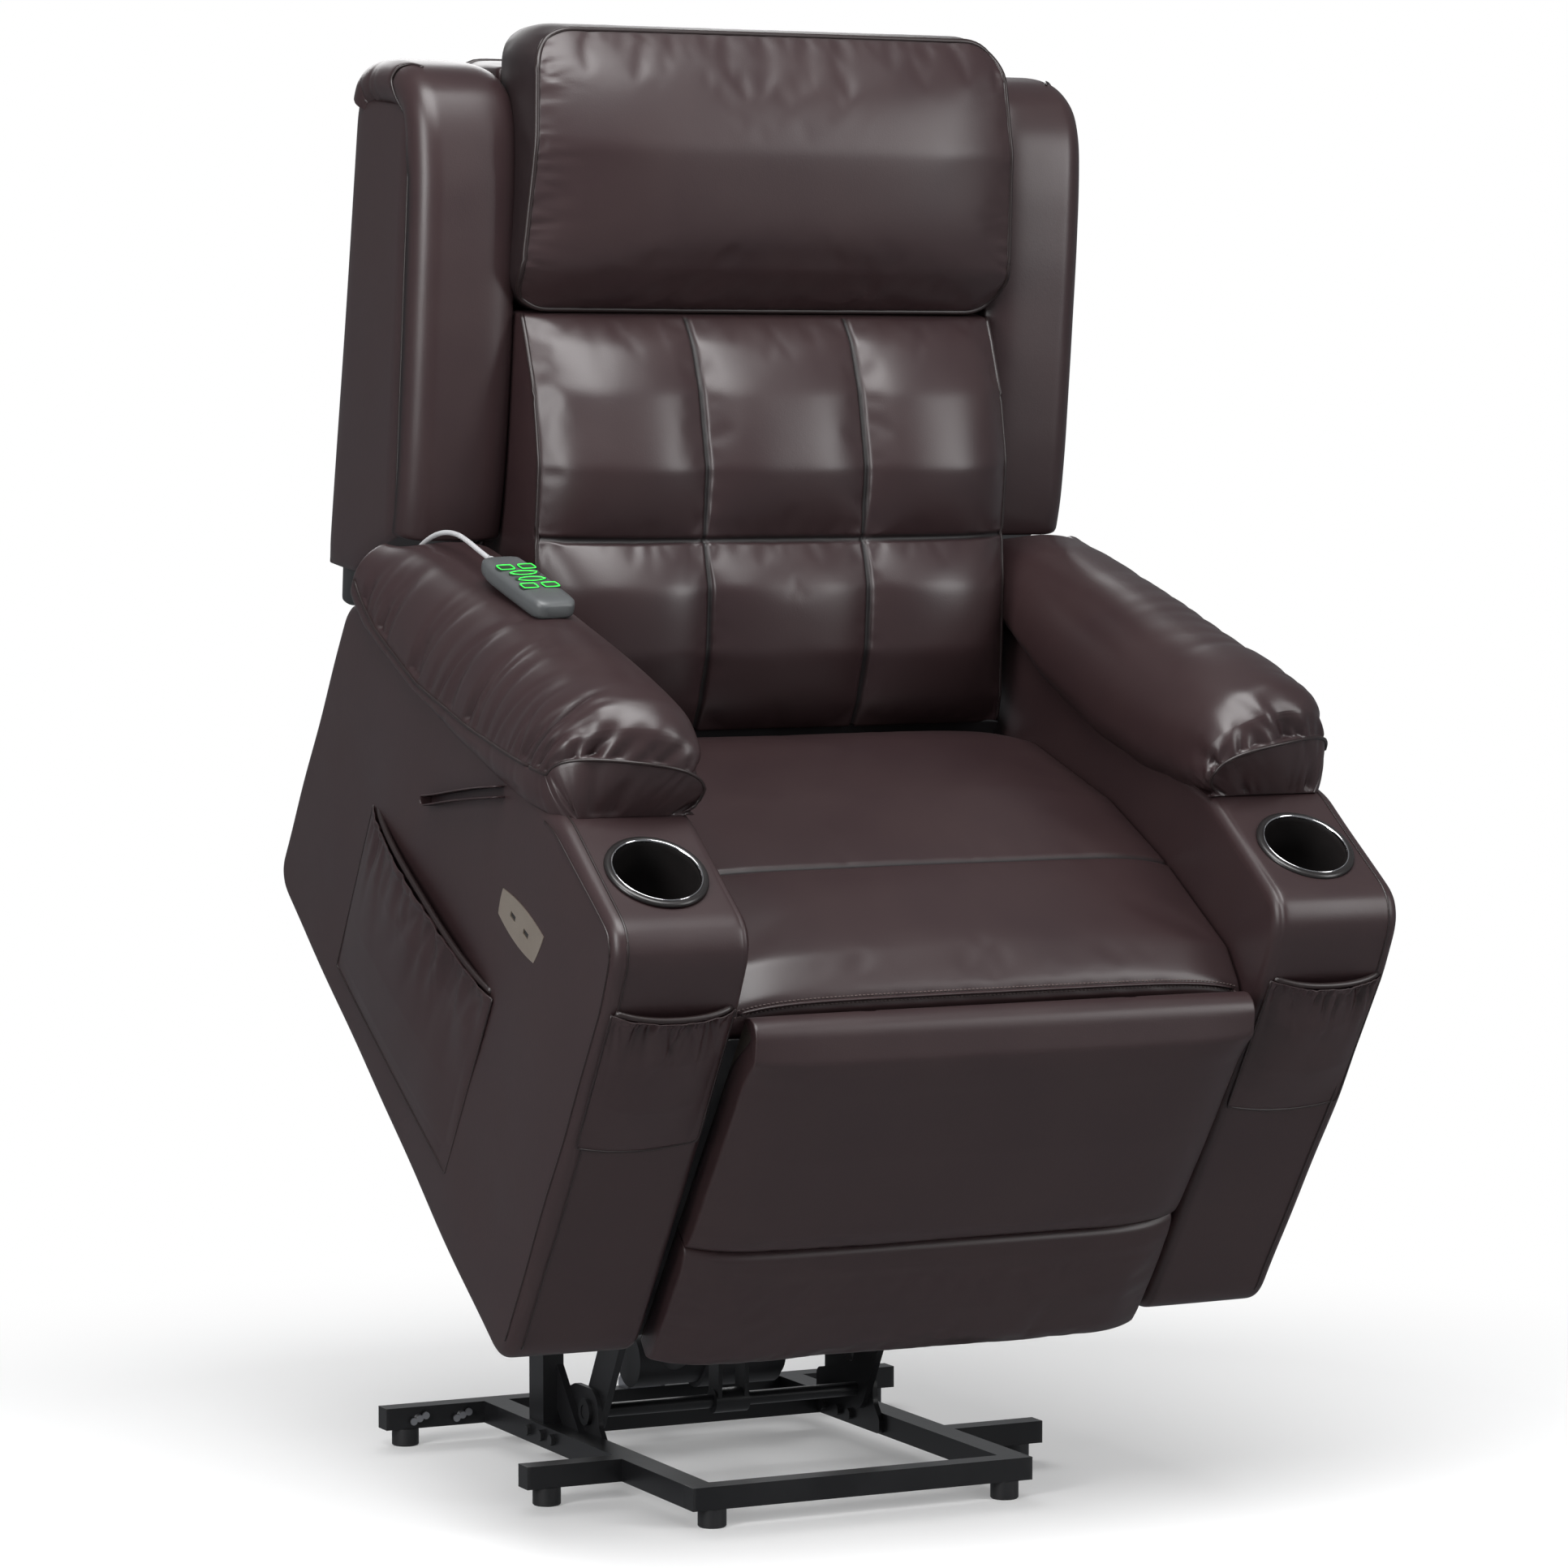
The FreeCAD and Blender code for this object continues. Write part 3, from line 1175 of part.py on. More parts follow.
def usb_plate():
    face = Part.Face(bulged_wire(usb_corners, lambda y, z: Vector(-arm_outer_x, y, z)))
    panel = face.extrude(Vector(-usb_thickness, 0, 0))
    socket = usb_box(usb_block[0] - 1, usb_block[1] - 1, -arm_outer_x, -arm_outer_x + usb_block[2] - 0.5)
    ports = None
    for side in (-1, 1):
        port = usb_box(usb_port[0], usb_port[1], -arm_outer_x - usb_thickness - 1, -arm_outer_x + 8,
                       side * usb_spacing / 2)
        tongue = usb_box(usb_port[0] - 2, usb_tongue, -arm_outer_x - usb_thickness + 1, -arm_outer_x + 8.5,
                         side * usb_spacing / 2)
        cut = port.cut(tongue)
        ports = cut if ports is None else ports.fuse(cut)
    hole = port_holes()
    return [panel.cut(hole), socket.cut(ports)]


def port_holes():
    holes = None
    for side in (-1, 1):
        hole = usb_box(usb_port[0], usb_port[1], -arm_outer_x - usb_thickness - 1, -arm_outer_x + 0.5,
                       side * usb_spacing / 2)
        holes = hole if holes is None else holes.fuse(hole)
    return holes


def pull_strap():
    """Loop of tape on the sitter's right arm, its ends sewn in under the pillow."""
    angle = direction(strap_start, strap_end)
    reach = distance(strap_start, strap_end)
    outer = strap_gap / 2 + strap_thickness
    x = (-arm_outer_x - strap_width, -arm_outer_x)

    def loop(radius, length):
        body = bar_link((0, 0), (length, 0), 2 * radius, x[0], x[1], 0, 0)
        return body.cut(box(x[0] - 1, x[1] + 1, -60, 0, -60, 60))

    solid = loop(outer, reach)
    cut = box(x[0] - 1, x[1] + 1, strap_join, reach, -strap_gap / 2, strap_gap / 2)
    cut = cut.fuse(bar_x(strap_gap / 2, (reach, 0), x[0] - 1, x[1] + 1))
    solid = solid.cut(cut)
    solid.rotate(Vector(0, 0, 0), Vector(1, 0, 0), angle)
    solid.translate(Vector(0, strap_start[0], strap_start[1]))
    return [solid]


def seat_cushion():
    front, rear = seat_underside
    points = [(front, deck_height(front) + seat_rise, 4)] + list(seat_outline)
    points += [(rear, deck_height(rear) + seat_rise, 0)]
    middle = (front + rear) / 2
    wires = []
    for x, draw in crown_stations(arm_inner_x - soft_gap, seat_draw, seat_edge):
        section = []
        for a, b, bulge in points:
            top = b > deck_front[1] + 10
            inward = draw * 0.35
            section.append((a + inward if a < middle else a - inward, b - draw if top else b, bulge))
        wires.append(bulged_wire(section, lambda y, z, x=x: Vector(x, y, z)))
    return [Part.makeLoft(wires, True, False)]


# Handset
def place_handset(shape):
    moved = shape.copy()
    moved.rotate(Vector(0, 0, 0), Vector(0, 0, 1), handset_yaw)
    moved.rotate(Vector(0, 0, 0), Vector(1, 0, 0), -handset_slope)
    moved.translate(Vector(*handset_centre))
    return moved


def handset_section(width, height, low, y):
    half = width / 2
    points = [(-half * 0.84, low), (half * 0.84, low), (half, low + height * 0.42), (half * 0.88, low + height - 2.5),
              (half * 0.80, low + height), (-half * 0.80, low + height), (-half * 0.88, low + height - 2.5),
              (-half, low + height * 0.42)]
    loop = [Vector(a, y, b) for a, b in points]
    loop.append(loop[0])
    return Part.makePolygon(loop)


def button_outline(name, x, y):
    """Six keys: two square ones in the rear row, two lens shaped ones in the middle, two in the front row."""
    if name in ("back_up", "back_down"):
        side = 1 if name == "back_up" else -1
        return [(x - 17, y + side * 1.5, 3.0), (x - 13, y - side * 5, 1.5), (x + 13, y - side * 5, 3.0),
                (x + 17, y + side * 1.5, 5.0)]
    return [(x - 9, y - 6, 1.2), (x + 9, y - 6, 1.2), (x + 9, y + 6, 1.2), (x - 9, y + 6, 1.2)]


def key_wire(points, z, grow):
    centre_a = sum(p[0] for p in points) / len(points)
    centre_b = sum(p[1] for p in points) / len(points)
    moved = []
    for a, b, bulge in points:
        step_a = grow if a > centre_a else -grow
        step_b = grow if b > centre_b else -grow
        moved.append((a + step_a, b + step_b, bulge))
    return bulged_wire(moved, lambda x, y: Vector(x, y, z))


def button_top():
    return handset_size[2] / 2


def handset_button(name, x, y):
    top = button_top() + button_rise
    points = button_outline(name, x, y)
    wire = key_wire(points, top - button_depth - button_rise, 0.0)
    key = Part.Face(wire).extrude(Vector(0, 0, button_depth + button_rise))
    return place_handset(key)


def handset():
    width, length, height = handset_size
    half = length / 2
    low = -height / 2
    rows = ((-half, width * 0.72, height - 7, low + 3.5), (-half + 8, width * 0.97, height, low),
            (0, width, height, low), (half - 26, width * 0.95, height, low),
            (half, width * 0.62, height - 8, low + 4))
    body = Part.makeLoft([handset_section(w, h, z, y) for y, w, h, z in rows], True, True)
    for name, x, y in button_rows:
        points = button_outline(name, x, y)
        floor = button_top() - button_depth - button_travel - 0.3
        well = Part.Face(key_wire(points, floor, button_gap)).extrude(Vector(0, 0, button_depth + 6))
        body = body.cut(well)
    relief = Part.makeCone(relief_radius, cord_radius + 1.2, relief_length, Vector(0, half, 0), Vector(0, 1, 0))
    return [place_handset(body.fuse(relief))]


def relief_end():
    local = Part.Vertex(Vector(0, handset_size[1] / 2 + relief_length, 0))
    return place_handset(local).Point


def cord_point(place):
    """A point of the cord: outward from the arm's middle, u, and height over the arm's top."""
    outward, u, rise = place
    return Vector(-arm_middle_x - outward, u, arm_top_v + rise)


def cord_path():
    points = [relief_end()] + [cord_point(place) for place in cord_points]
    edges = []
    radii = []
    start = points[0]
    for i in range(1, len(points) - 1):
        before = points[i - 1] - points[i]
        after = points[i + 1] - points[i]
        turn = math.pi - before.getAngle(after)
        reach = 0.45 * min(before.Length, after.Length)
        radii.append(round(reach / math.tan(turn / 2), 1))
        into = points[i] + Vector(before).normalize() * reach
        out = points[i] + Vector(after).normalize() * reach
        bisector = (Vector(before).normalize() + Vector(after).normalize()).normalize()
        radius = reach / math.tan(turn / 2)
        nearest = points[i] + bisector * (radius / math.cos(turn / 2) - radius)
        edges.append(Part.LineSegment(start, into).toShape())
        edges.append(Part.Arc(into, nearest, out).toShape())
        start = out
    edges.append(Part.LineSegment(start, points[-1]).toShape())
    return Part.Wire(edges), radii


def handset_cord():
    path, radii = cord_path()
    first = path.Edges[0]
    circle = Part.Wire(Part.makeCircle(cord_radius, first.Vertexes[0].Point, first.tangentAt(first.FirstParameter)))
    tube = path.makePipeShell([circle], True, False)
    length = path.Length
    print("cord radii", radii, "length", round(length, 1), "volume share",
          round(tube.Volume / (math.pi * cord_radius ** 2 * length), 4))
    return [tube]


def cord_gland():
    end = cord_point(cord_points[-1])
    axis = (end - cord_point(cord_points[-2])).normalize()
    gland = Part.makeCylinder(gland_radius, gland_length, end, axis)
    gland = gland.fuse(Part.makeCone(gland_radius - 1, gland_radius, gland_radius, end, axis))
    return [gland.cut(arm(-1)[0])]


def control_box():
    """Power and control box on the inside of the side board, with its inlet socket facing the rear."""
    shell = box(board_inner_x - box_width, board_inner_x, box_u[0], box_u[1], box_v[0], box_v[1])
    start = box_u[1] - inlet_depth
    inlet = inlet_box(inlet_size, start, box_u[1] + 4)
    pins = inlet_pin(-1, start).fuse(inlet_pin(1, start))
    flange = inlet_box(inlet_flange, box_u[1], box_u[1] + 2).cut(inlet)
    return [shell.fuse(flange).cut(inlet.cut(pins))]


def inlet_box(size, start, finish):
    return box(inlet_x - size[0] / 2, inlet_x + size[0] / 2, start, finish, inlet_v - size[1] / 2,
               inlet_v + size[1] / 2)


def inlet_pin(side, start):
    x = inlet_x + side * inlet_size[0] / 4
    return box(x - 1, x + 1, start, start + 11, inlet_v - 2, inlet_v + 2)


def build():
    floor_nodes = {
        "base_rails": base_rails(), "base_front_bar": base_front_bar(), "base_rear_bar": base_rear_bar(),
        "outriggers": outriggers(), "tube_end_caps": tube_end_caps(), "base_feet": base_feet(),
        "base_fasteners": base_fasteners(), "lift_brackets": lift_brackets(), "lift_posts": lift_posts(),
        "actuator_clevis": actuator_clevis(), "front_lift_links": front_lift_links(),
        "lift_torque_shaft": lift_torque_shaft(), "rear_lift_links": rear_lift_links(),
        "lift_motor_housing": lift_motor_housing(), "lift_rod": lift_rod()}
    chair_nodes = {
        "seat_side_boards": seat_side_boards(), "seat_rails": seat_rails(), "mechanism_plates": mechanism_plates(),
        "lift_plates": lift_plates(), "mechanism_cross_tubes": mechanism_cross_tubes(),
        "chair_pins": chair_pins(), "seat_springs": seat_springs(), "seat_cushion": seat_cushion(),
        "arm_left": arm(1), "arm_right": arm(-1), "arm_pillow_left": pillow(1), "arm_pillow_right": pillow(-1),
        "cup_holders": [cup_holder(1), cup_holder(-1)], "arm_pockets": [arm_pocket(1), arm_pocket(-1)],
        "side_pocket": side_pocket(), "usb_plate": usb_plate(), "pull_strap": pull_strap(),
        "handset": handset(), "handset_cord": handset_cord(), "cord_gland": cord_gland(),
        "control_box": control_box(), "footrest_board": footrest_board(), "footrest_pad": footrest_pad(),
        "footrest_brackets": footrest_brackets(), "footrest_hinge_fins": footrest_hinge_fins(),
        "footrest_crank": footrest_crank(), "footrest_couplers": footrest_couplers(), "tie_bars": tie_bars(),
        "recline_motor": recline_motor(), "recline_rod": recline_rod()}
    for name, x, y in button_rows:
        chair_nodes["button_" + name] = [handset_button(name, x, y)]
    back_nodes = {
        "back_brackets": back_brackets(), "back_cover": back_cover(), "back_frame": back_frame(),
        "lumbar_cushion": lumbar_cushion(), "headrest_pillow": headrest_pillow(), "wing_left": wing(1),
        "wing_right": wing(-1)}
    nodes = {}
    for group, place in ((floor_nodes, place_floor), (chair_nodes, place_chair), (back_nodes, place_back)):
        for name, pieces in group.items():
            nodes[name] = [place(piece) for piece in pieces]
    return nodes


nodes = build()
os.makedirs("parts", exist_ok=True)
whole = FreeCAD.BoundBox()
for name, pieces in nodes.items():
    shape = pieces[0] if len(pieces) == 1 else Part.makeCompound(pieces)
    whole.add(shape.BoundBox)
    solids = sum(len(piece.Solids) for piece in pieces)
    if not shape.isValid() or solids < len(pieces):
        print("check", name, shape.isValid(), solids, len(pieces))
    shape.exportStep("parts/" + name + ".step")
print(len(nodes), "nodes; box", whole)
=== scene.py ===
# %% [markdown]
# A lift recliner chair in brown leather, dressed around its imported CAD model. The steel base, the links and
# the motors come from the CAD model as they are and only get a finish. Everything soft is built here: each
# cushion is a surface worked out with numpy, blown up a little by Blender's cloth, and then creased.

# %% Load the fixed frame
import json
import math

import bmesh
import bpy
import numpy as np
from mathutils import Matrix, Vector


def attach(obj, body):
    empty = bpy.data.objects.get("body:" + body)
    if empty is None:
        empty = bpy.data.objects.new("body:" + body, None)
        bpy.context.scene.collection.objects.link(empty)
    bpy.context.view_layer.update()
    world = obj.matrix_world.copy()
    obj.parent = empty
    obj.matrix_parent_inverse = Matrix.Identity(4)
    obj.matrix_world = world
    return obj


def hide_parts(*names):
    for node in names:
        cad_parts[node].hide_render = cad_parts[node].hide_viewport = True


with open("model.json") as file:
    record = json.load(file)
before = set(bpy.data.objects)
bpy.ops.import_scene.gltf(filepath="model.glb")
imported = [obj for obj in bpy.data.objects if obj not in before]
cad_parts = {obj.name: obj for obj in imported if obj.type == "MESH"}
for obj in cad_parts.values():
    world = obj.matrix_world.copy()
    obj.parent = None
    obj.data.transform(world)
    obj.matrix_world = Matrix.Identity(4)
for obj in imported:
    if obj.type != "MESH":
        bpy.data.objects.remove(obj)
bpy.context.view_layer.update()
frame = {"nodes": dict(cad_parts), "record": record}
nodes = frame["nodes"]

# %% [markdown]
# The chair is drawn raised and tipped forward, so its parts aren't square to the floor. Two helper frames
# keep the numbers readable: in the chair frame u runs to the rear and v up from the underside of the arms,
# and in the back frame m runs to the rear and s up along the back. Both are in millimetres, and the
# functions give metres.

# %% Chair frame and back frame
LIFT_TILT = math.radians(35.5)
CHAIR_ORIGIN_Y = -185.52
CHAIR_ORIGIN_Z = 195.23
BACK_LEAN = math.radians(29.2)
BACK_HINGE = (640.0, 300.0)
MM = 0.001


def in_chair(x, u, v):
    """Turns (u, v) by the tilt of the lift, moves it to the chair's place, and gives metres."""
    x, u, v = np.broadcast_arrays(np.asarray(x, float), u, v)
    y = u * math.cos(LIFT_TILT) - v * math.sin(LIFT_TILT) + CHAIR_ORIGIN_Y
    z = u * math.sin(LIFT_TILT) + v * math.cos(LIFT_TILT) + CHAIR_ORIGIN_Z
    return np.stack([x, y, z], -1) * MM


def in_back(x, m, s):
    """Turns (m, s) by the lean of the back about its hinge, and goes on as a point of the chair."""
    m, s = np.asarray(m, float), np.asarray(s, float)
    u = m * math.cos(BACK_LEAN) + s * math.sin(BACK_LEAN) + BACK_HINGE[0]
    v = -m * math.sin(BACK_LEAN) + s * math.cos(BACK_LEAN) + BACK_HINGE[1]
    return in_chair(x, u, v)


# %% [markdown]
# A sewn cushion is two panels joined by a band, the boxing, that runs round its edge. The same recipe makes
# all of them here: a front panel and a back panel on the same grid, and rows of points between their
# borders. A panel's corners are rounded by squeezing the corner squares of the grid into quarter discs.

# %% Meshes from grids
def mesh_object(name, points, faces):
    """Smooth shaded mesh object from points in metres and faces as lists of indices."""
    mesh = bpy.data.meshes.new(name)
    mesh.from_pydata(np.asarray(points, float).reshape(-1, 3).tolist(), [], faces)
    mesh.validate()
    mesh.shade_smooth()
    made = bpy.data.objects.new(name, mesh)
    bpy.context.scene.collection.objects.link(made)
    return made


def outward(made):
    """Merges doubles and turns the faces of a closed shell outwards."""
    shell = bmesh.new()
    shell.from_mesh(made.data)
    bmesh.ops.remove_doubles(shell, verts=shell.verts, dist=2e-6)
    bmesh.ops.recalc_face_normals(shell, faces=shell.faces)
    shell.to_mesh(made.data)
    shell.free()
    made.data.shade_smooth()
    return made


def face_outward(made):
    """Turns the faces of a closed shell outwards and keeps the order of its points."""
    shell = bmesh.new()
    shell.from_mesh(made.data)
    bmesh.ops.recalc_face_normals(shell, faces=shell.faces)
    shell.to_mesh(made.data)
    shell.free()
    made.data.shade_smooth()
    return made


def grid_faces(rows, columns, first=0, ring=False):
    """Quads of a grid whose points are stored row by row; a ring also joins the last column to the first."""
    number = np.arange(rows * columns).reshape(rows, columns) + first
    if ring:
        number = np.concatenate([number, number[:, :1]], axis=1)
    corners = [number[:-1, :-1], number[1:, :-1], number[1:, 1:], number[:-1, 1:]]
    return np.stack(corners, -1).reshape(-1, 4).tolist()


def border(rows, columns):
    """Indices of a grid's border, in order round it."""
    number = np.arange(rows * columns).reshape(rows, columns)
    return np.concatenate([number[:, 0], number[-1, 1:], number[-2::-1, -1], number[0, -2:0:-1]])


def steps(*stops):
    """Numbers from stop to stop: each stop after the first is (value, how many steps lead to it)."""
    values = [np.array([stops[0]], float)]
    for value, count in stops[1:]:
        values.append(np.linspace(values[-1][-1], value, count + 1)[1:])
    return np.concatenate(values)


def rounded(a, b, width, height, radius):
    """Square (-1..1) to a rectangle of half sizes width, height whose corner squares become quarter discs."""
    x, y = a * width, b * height
    p = np.clip((np.abs(x) - (width - radius)) / radius, 0, 1)
    q = np.clip((np.abs(y) - (height - radius)) / radius, 0, 1)
    corner = (p > 0) & (q > 0)
    x = np.where(corner, np.sign(x) * (width - radius + radius * p * np.sqrt(1 - q * q / 2)), x)
    y = np.where(corner, np.sign(y) * (height - radius + radius * q * np.sqrt(1 - p * p / 2)), y)
    return x, y


def boxed(name, front, back, a, b, rows, swell):
    """Cushion of a front panel, a back panel and boxing. front and back give local points for grids a, b;
    the boxing goes straight from border to border, pushed out by swell(t) along the panel's own plane."""
    grid_a, grid_b = np.meshgrid(a, b, indexing="ij")
    near = np.stack(front(grid_a, grid_b), -1).reshape(-1, 3)
    far = np.stack(back(grid_a, grid_b), -1).reshape(-1, 3)
    edge = border(len(a), len(b))
    count = len(near)
    middle = (near[edge].mean(0) + far[edge].mean(0)) / 2
    through = far[edge].mean(0) - near[edge].mean(0)
    through = through / np.linalg.norm(through)
    tangent = np.roll(near[edge], -1, 0) - np.roll(near[edge], 1, 0)
    out = np.cross(tangent, through)
    out /= np.linalg.norm(out, axis=1)[:, None] + 1e-9
    if ((near[edge] - middle) * out).sum() < 0:
        out = -out
    share = np.asarray(rows, float)
    band = near[edge][None] * (1 - share[:, None, None]) + far[edge][None] * share[:, None, None]
    band = band + out[None] * np.array([swell(t) for t in share])[:, None, None]
    points = np.concatenate([near, band.reshape(-1, 3), far])
    faces = grid_faces(len(a), len(b)) + grid_faces(len(a), len(b), count + band.shape[0] * len(edge))
    ring = np.concatenate([edge[None], count + np.arange(band.shape[0] * len(edge)).reshape(-1, len(edge)),
                           (edge + count + band.shape[0] * len(edge))[None]])
    around = np.roll(ring, -1, axis=1)
    faces += np.stack([ring[:-1], around[:-1], around[1:], ring[1:]], -1).reshape(-1, 4).tolist()
    zone = np.concatenate([np.zeros(count), np.repeat(share, len(edge)), np.ones(count)])
    flat_a = np.concatenate([grid_a.ravel(), np.tile(grid_a.ravel()[edge], len(share)), grid_a.ravel()])
    flat_b = np.concatenate([grid_b.ravel(), np.tile(grid_b.ravel()[edge], len(share)), grid_b.ravel()])
    return {"name": name, "local": points, "faces": faces, "zone": zone, "a": flat_a, "b": flat_b,
            "edge": edge, "size": (len(a), len(b))}


print("grid helpers ready; a 3 x 3 grid has a border of", len(border(3, 3)), "points")

# %% [markdown]
# Leather over foam is stretched, but along a seam it is fuller than the seam is long, so it gathers. Each
# gather is a narrow valley that starts on the seam, runs away from it at its own slant and fades out. A few
# dozen of them with seeded random places, widths and lengths look like sewn leather, and the cloth does the
# large forms.

# %% Gathers and cloth
def gathers(along, away, low, high, count, seed, depth=2.0, reach=38.0, width=3.0, slant=0.35):
    """Sum of valleys: -depth * exp(-((along - start - slant * away) / width)^2) * exp(-(away / reach)^2).
    Each starts from nothing over its first 3 mm from the seam, and is twice as wide 45 mm away from it."""
    draw = np.random.default_rng(seed)
    start = np.sort(draw.uniform(low, high, count))
    lean = draw.normal(0, slant, count)
    wide = width * draw.uniform(0.6, 1.5, count)
    far = reach * draw.uniform(0.35, 1.3, count)
    deep = depth * draw.uniform(0.3, 1.0, count)
    total = np.zeros_like(along)
    for i in range(count):
        near = np.exp(-((along - start[i] - lean[i] * away) / (wide[i] * (1 + away / 45.0))) ** 2)
        total -= deep[i] * near * np.exp(-(away / far[i]) ** 2) * np.clip(away / 3.0, 0, 1)
    return total


def drift(points, seed, size=90.0, height=1.2):
    """Slow unevenness of stuffing: a sum of sines of position (mm) in seeded directions."""
    draw = np.random.default_rng(seed)
    total = np.zeros(len(points))
    for _ in range(6):
        way = draw.normal(size=3)
        way /= np.linalg.norm(way)
        total += np.sin(points @ way * 2 * math.pi / (size * draw.uniform(0.6, 1.6)) + draw.uniform(0, 6.3))
    return total * height / 3


def place_cushion(job, place):
    """Makes the cushion's object: its local points go through place(), and a, b and zone stay with them."""
    local = job["local"]
    made = mesh_object(job["name"], place(local[:, 0], local[:, 1], local[:, 2]), job["faces"])
    face_outward(made)
    for key in ("a", "b", "zone"):
        layer = made.data.attributes.new("panel_" + key, "FLOAT", "POINT")
        layer.data.foreach_set("value", job[key].astype(np.float32))
    job["object"] = made
    return job


def add_cloth(job, free, pressure, grow, cap):
    """Cloth held where free is 0, blown up by pressure, with grow more leather than the pattern."""
    made = job["object"]
    group = made.vertex_groups.new(name="held")
    for level in range(11):
        chosen = np.nonzero(np.round((1 - free) * 10).astype(int) == level)[0]
        if level and len(chosen):
            group.add(chosen.tolist(), level / 10, "REPLACE")
    modifier = made.modifiers.new("cloth", "CLOTH")
    cloth = modifier.settings
    cloth.vertex_group_mass = "held"
    cloth.quality = 5
    cloth.mass = 0.35
    cloth.tension_stiffness = 25
    cloth.compression_stiffness = 25
    cloth.shear_stiffness = 8
    cloth.bending_stiffness = 1.5
    cloth.air_damping = 2
    cloth.use_pressure = True
    cloth.uniform_pressure_force = pressure
    cloth.shrink_min = -grow
    cloth.effector_weights.gravity = 0
    modifier.collision_settings.use_collision = False
    job["cap"] = cap
    return job


def run_cloth(jobs, frames=16):
    """Steps all the cloths together, reads each result, and caps how far a point may move (mm)."""
    scene = bpy.context.scene
    for number in range(1, frames + 1):
        scene.frame_set(number)
    graph = bpy.context.evaluated_depsgraph_get()
    for job in jobs:
        made = job["object"]
        count = len(made.data.vertices)
        before = np.zeros(count * 3, np.float32)
        made.data.vertices.foreach_get("co", before)
        after = np.zeros(count * 3, np.float32)
        made.evaluated_get(graph).data.vertices.foreach_get("co", after)
        move = (after - before).reshape(-1, 3)
        length = np.linalg.norm(move, axis=1)
        limit = job["cap"] * MM
        move *= (limit * np.tanh(length / limit) / np.maximum(length, 1e-9))[:, None]
        job["moved"] = float(np.median(length) / MM)
        job["result"] = (before.reshape(-1, 3) + move).ravel()
    for job in jobs:
        made = job["object"]
        made.modifiers.clear()
        made.data.vertices.foreach_set("co", job["result"])
        made.data.update()
        print(job["name"], "median move", round(job["moved"], 1), "mm")
    scene.frame_set(1)


def refine(job):
    """Applies one Catmull-Clark level and reads the finer points, normals and panel coordinates."""
    made = job["object"]
    made.vertex_groups.clear()
    level = made.modifiers.new("refine", "SUBSURF")
    level.levels = 1
    level.render_levels = 1
    graph = bpy.context.evaluated_depsgraph_get()
    finer = bpy.data.meshes.new_from_object(made.evaluated_get(graph), preserve_all_data_layers=True,
                                            depsgraph=graph)
    made.modifiers.clear()
    made.data = finer
    finer.name = job["name"]
    count = len(finer.vertices)
    values = {}
    for key in ("a", "b", "zone"):
        flat = np.zeros(count, np.float32)
        finer.attributes["panel_" + key].data.foreach_get("value", flat)
        values[key] = flat.astype(float)
    flat = np.zeros(count * 3, np.float32)
    finer.vertices.foreach_get("co", flat)
    job["points"] = flat.reshape(-1, 3).astype(float)
    normal = np.zeros(count * 3, np.float32)
    finer.vertex_normals.foreach_get("vector", normal)
    job["normal"] = normal.reshape(-1, 3).astype(float)
    job["fine"] = values
    return job


def push(job, height, dark=None):
    """Moves the fine points along their normals by height (mm) and keeps a mask of painted seam shade."""
    mesh = job["object"].data
    moved = job["points"] + job["normal"] * (height * MM)[:, None]
    mesh.vertices.foreach_set("co", moved.astype(np.float32).ravel())
    mesh.update()
    layer = mesh.attributes.new("painted_seam_shade", "FLOAT", "POINT")
    shade = np.zeros(len(moved)) if dark is None else dark
    layer.data.foreach_set("value", np.clip(shade, 0, 1).astype(np.float32))
    for key in ("a", "b", "zone"):
        mesh.attributes.remove(mesh.attributes["panel_" + key])
    mesh.shade_smooth()
    job["final"] = moved
    return job["object"]


# %% [markdown]
# A seam shows as a thin welt: a cord of leather that is sewn in between two panels. It is a round tube
# along the panel's border. The tube's rings turn with the path, without twisting, and its ends are closed.

# %% Welts and stitches
def smooth_path(path, times=2):
    """Each time, an inner point becomes half itself and a quarter of each neighbour."""
    path = np.asarray(path, float)
    for _ in range(times):
        path = np.concatenate([path[:1], (path[:-2] + 2 * path[1:-1] + path[2:]) / 4, path[-1:]])
    return path


def evenly(path, gap, closed=False):
    """The path again with points about gap apart (same units)."""
    if closed:
        path = np.concatenate([path, path[:1]])
    run = np.concatenate([[0], np.cumsum(np.linalg.norm(np.diff(path, axis=0), axis=1))])
    at = np.linspace(0, run[-1], max(3, int(round(run[-1] / gap)) + 1))
    even = np.stack([np.interp(at, run, path[:, k]) for k in range(3)], 1)
    return even[:-1] if closed else even


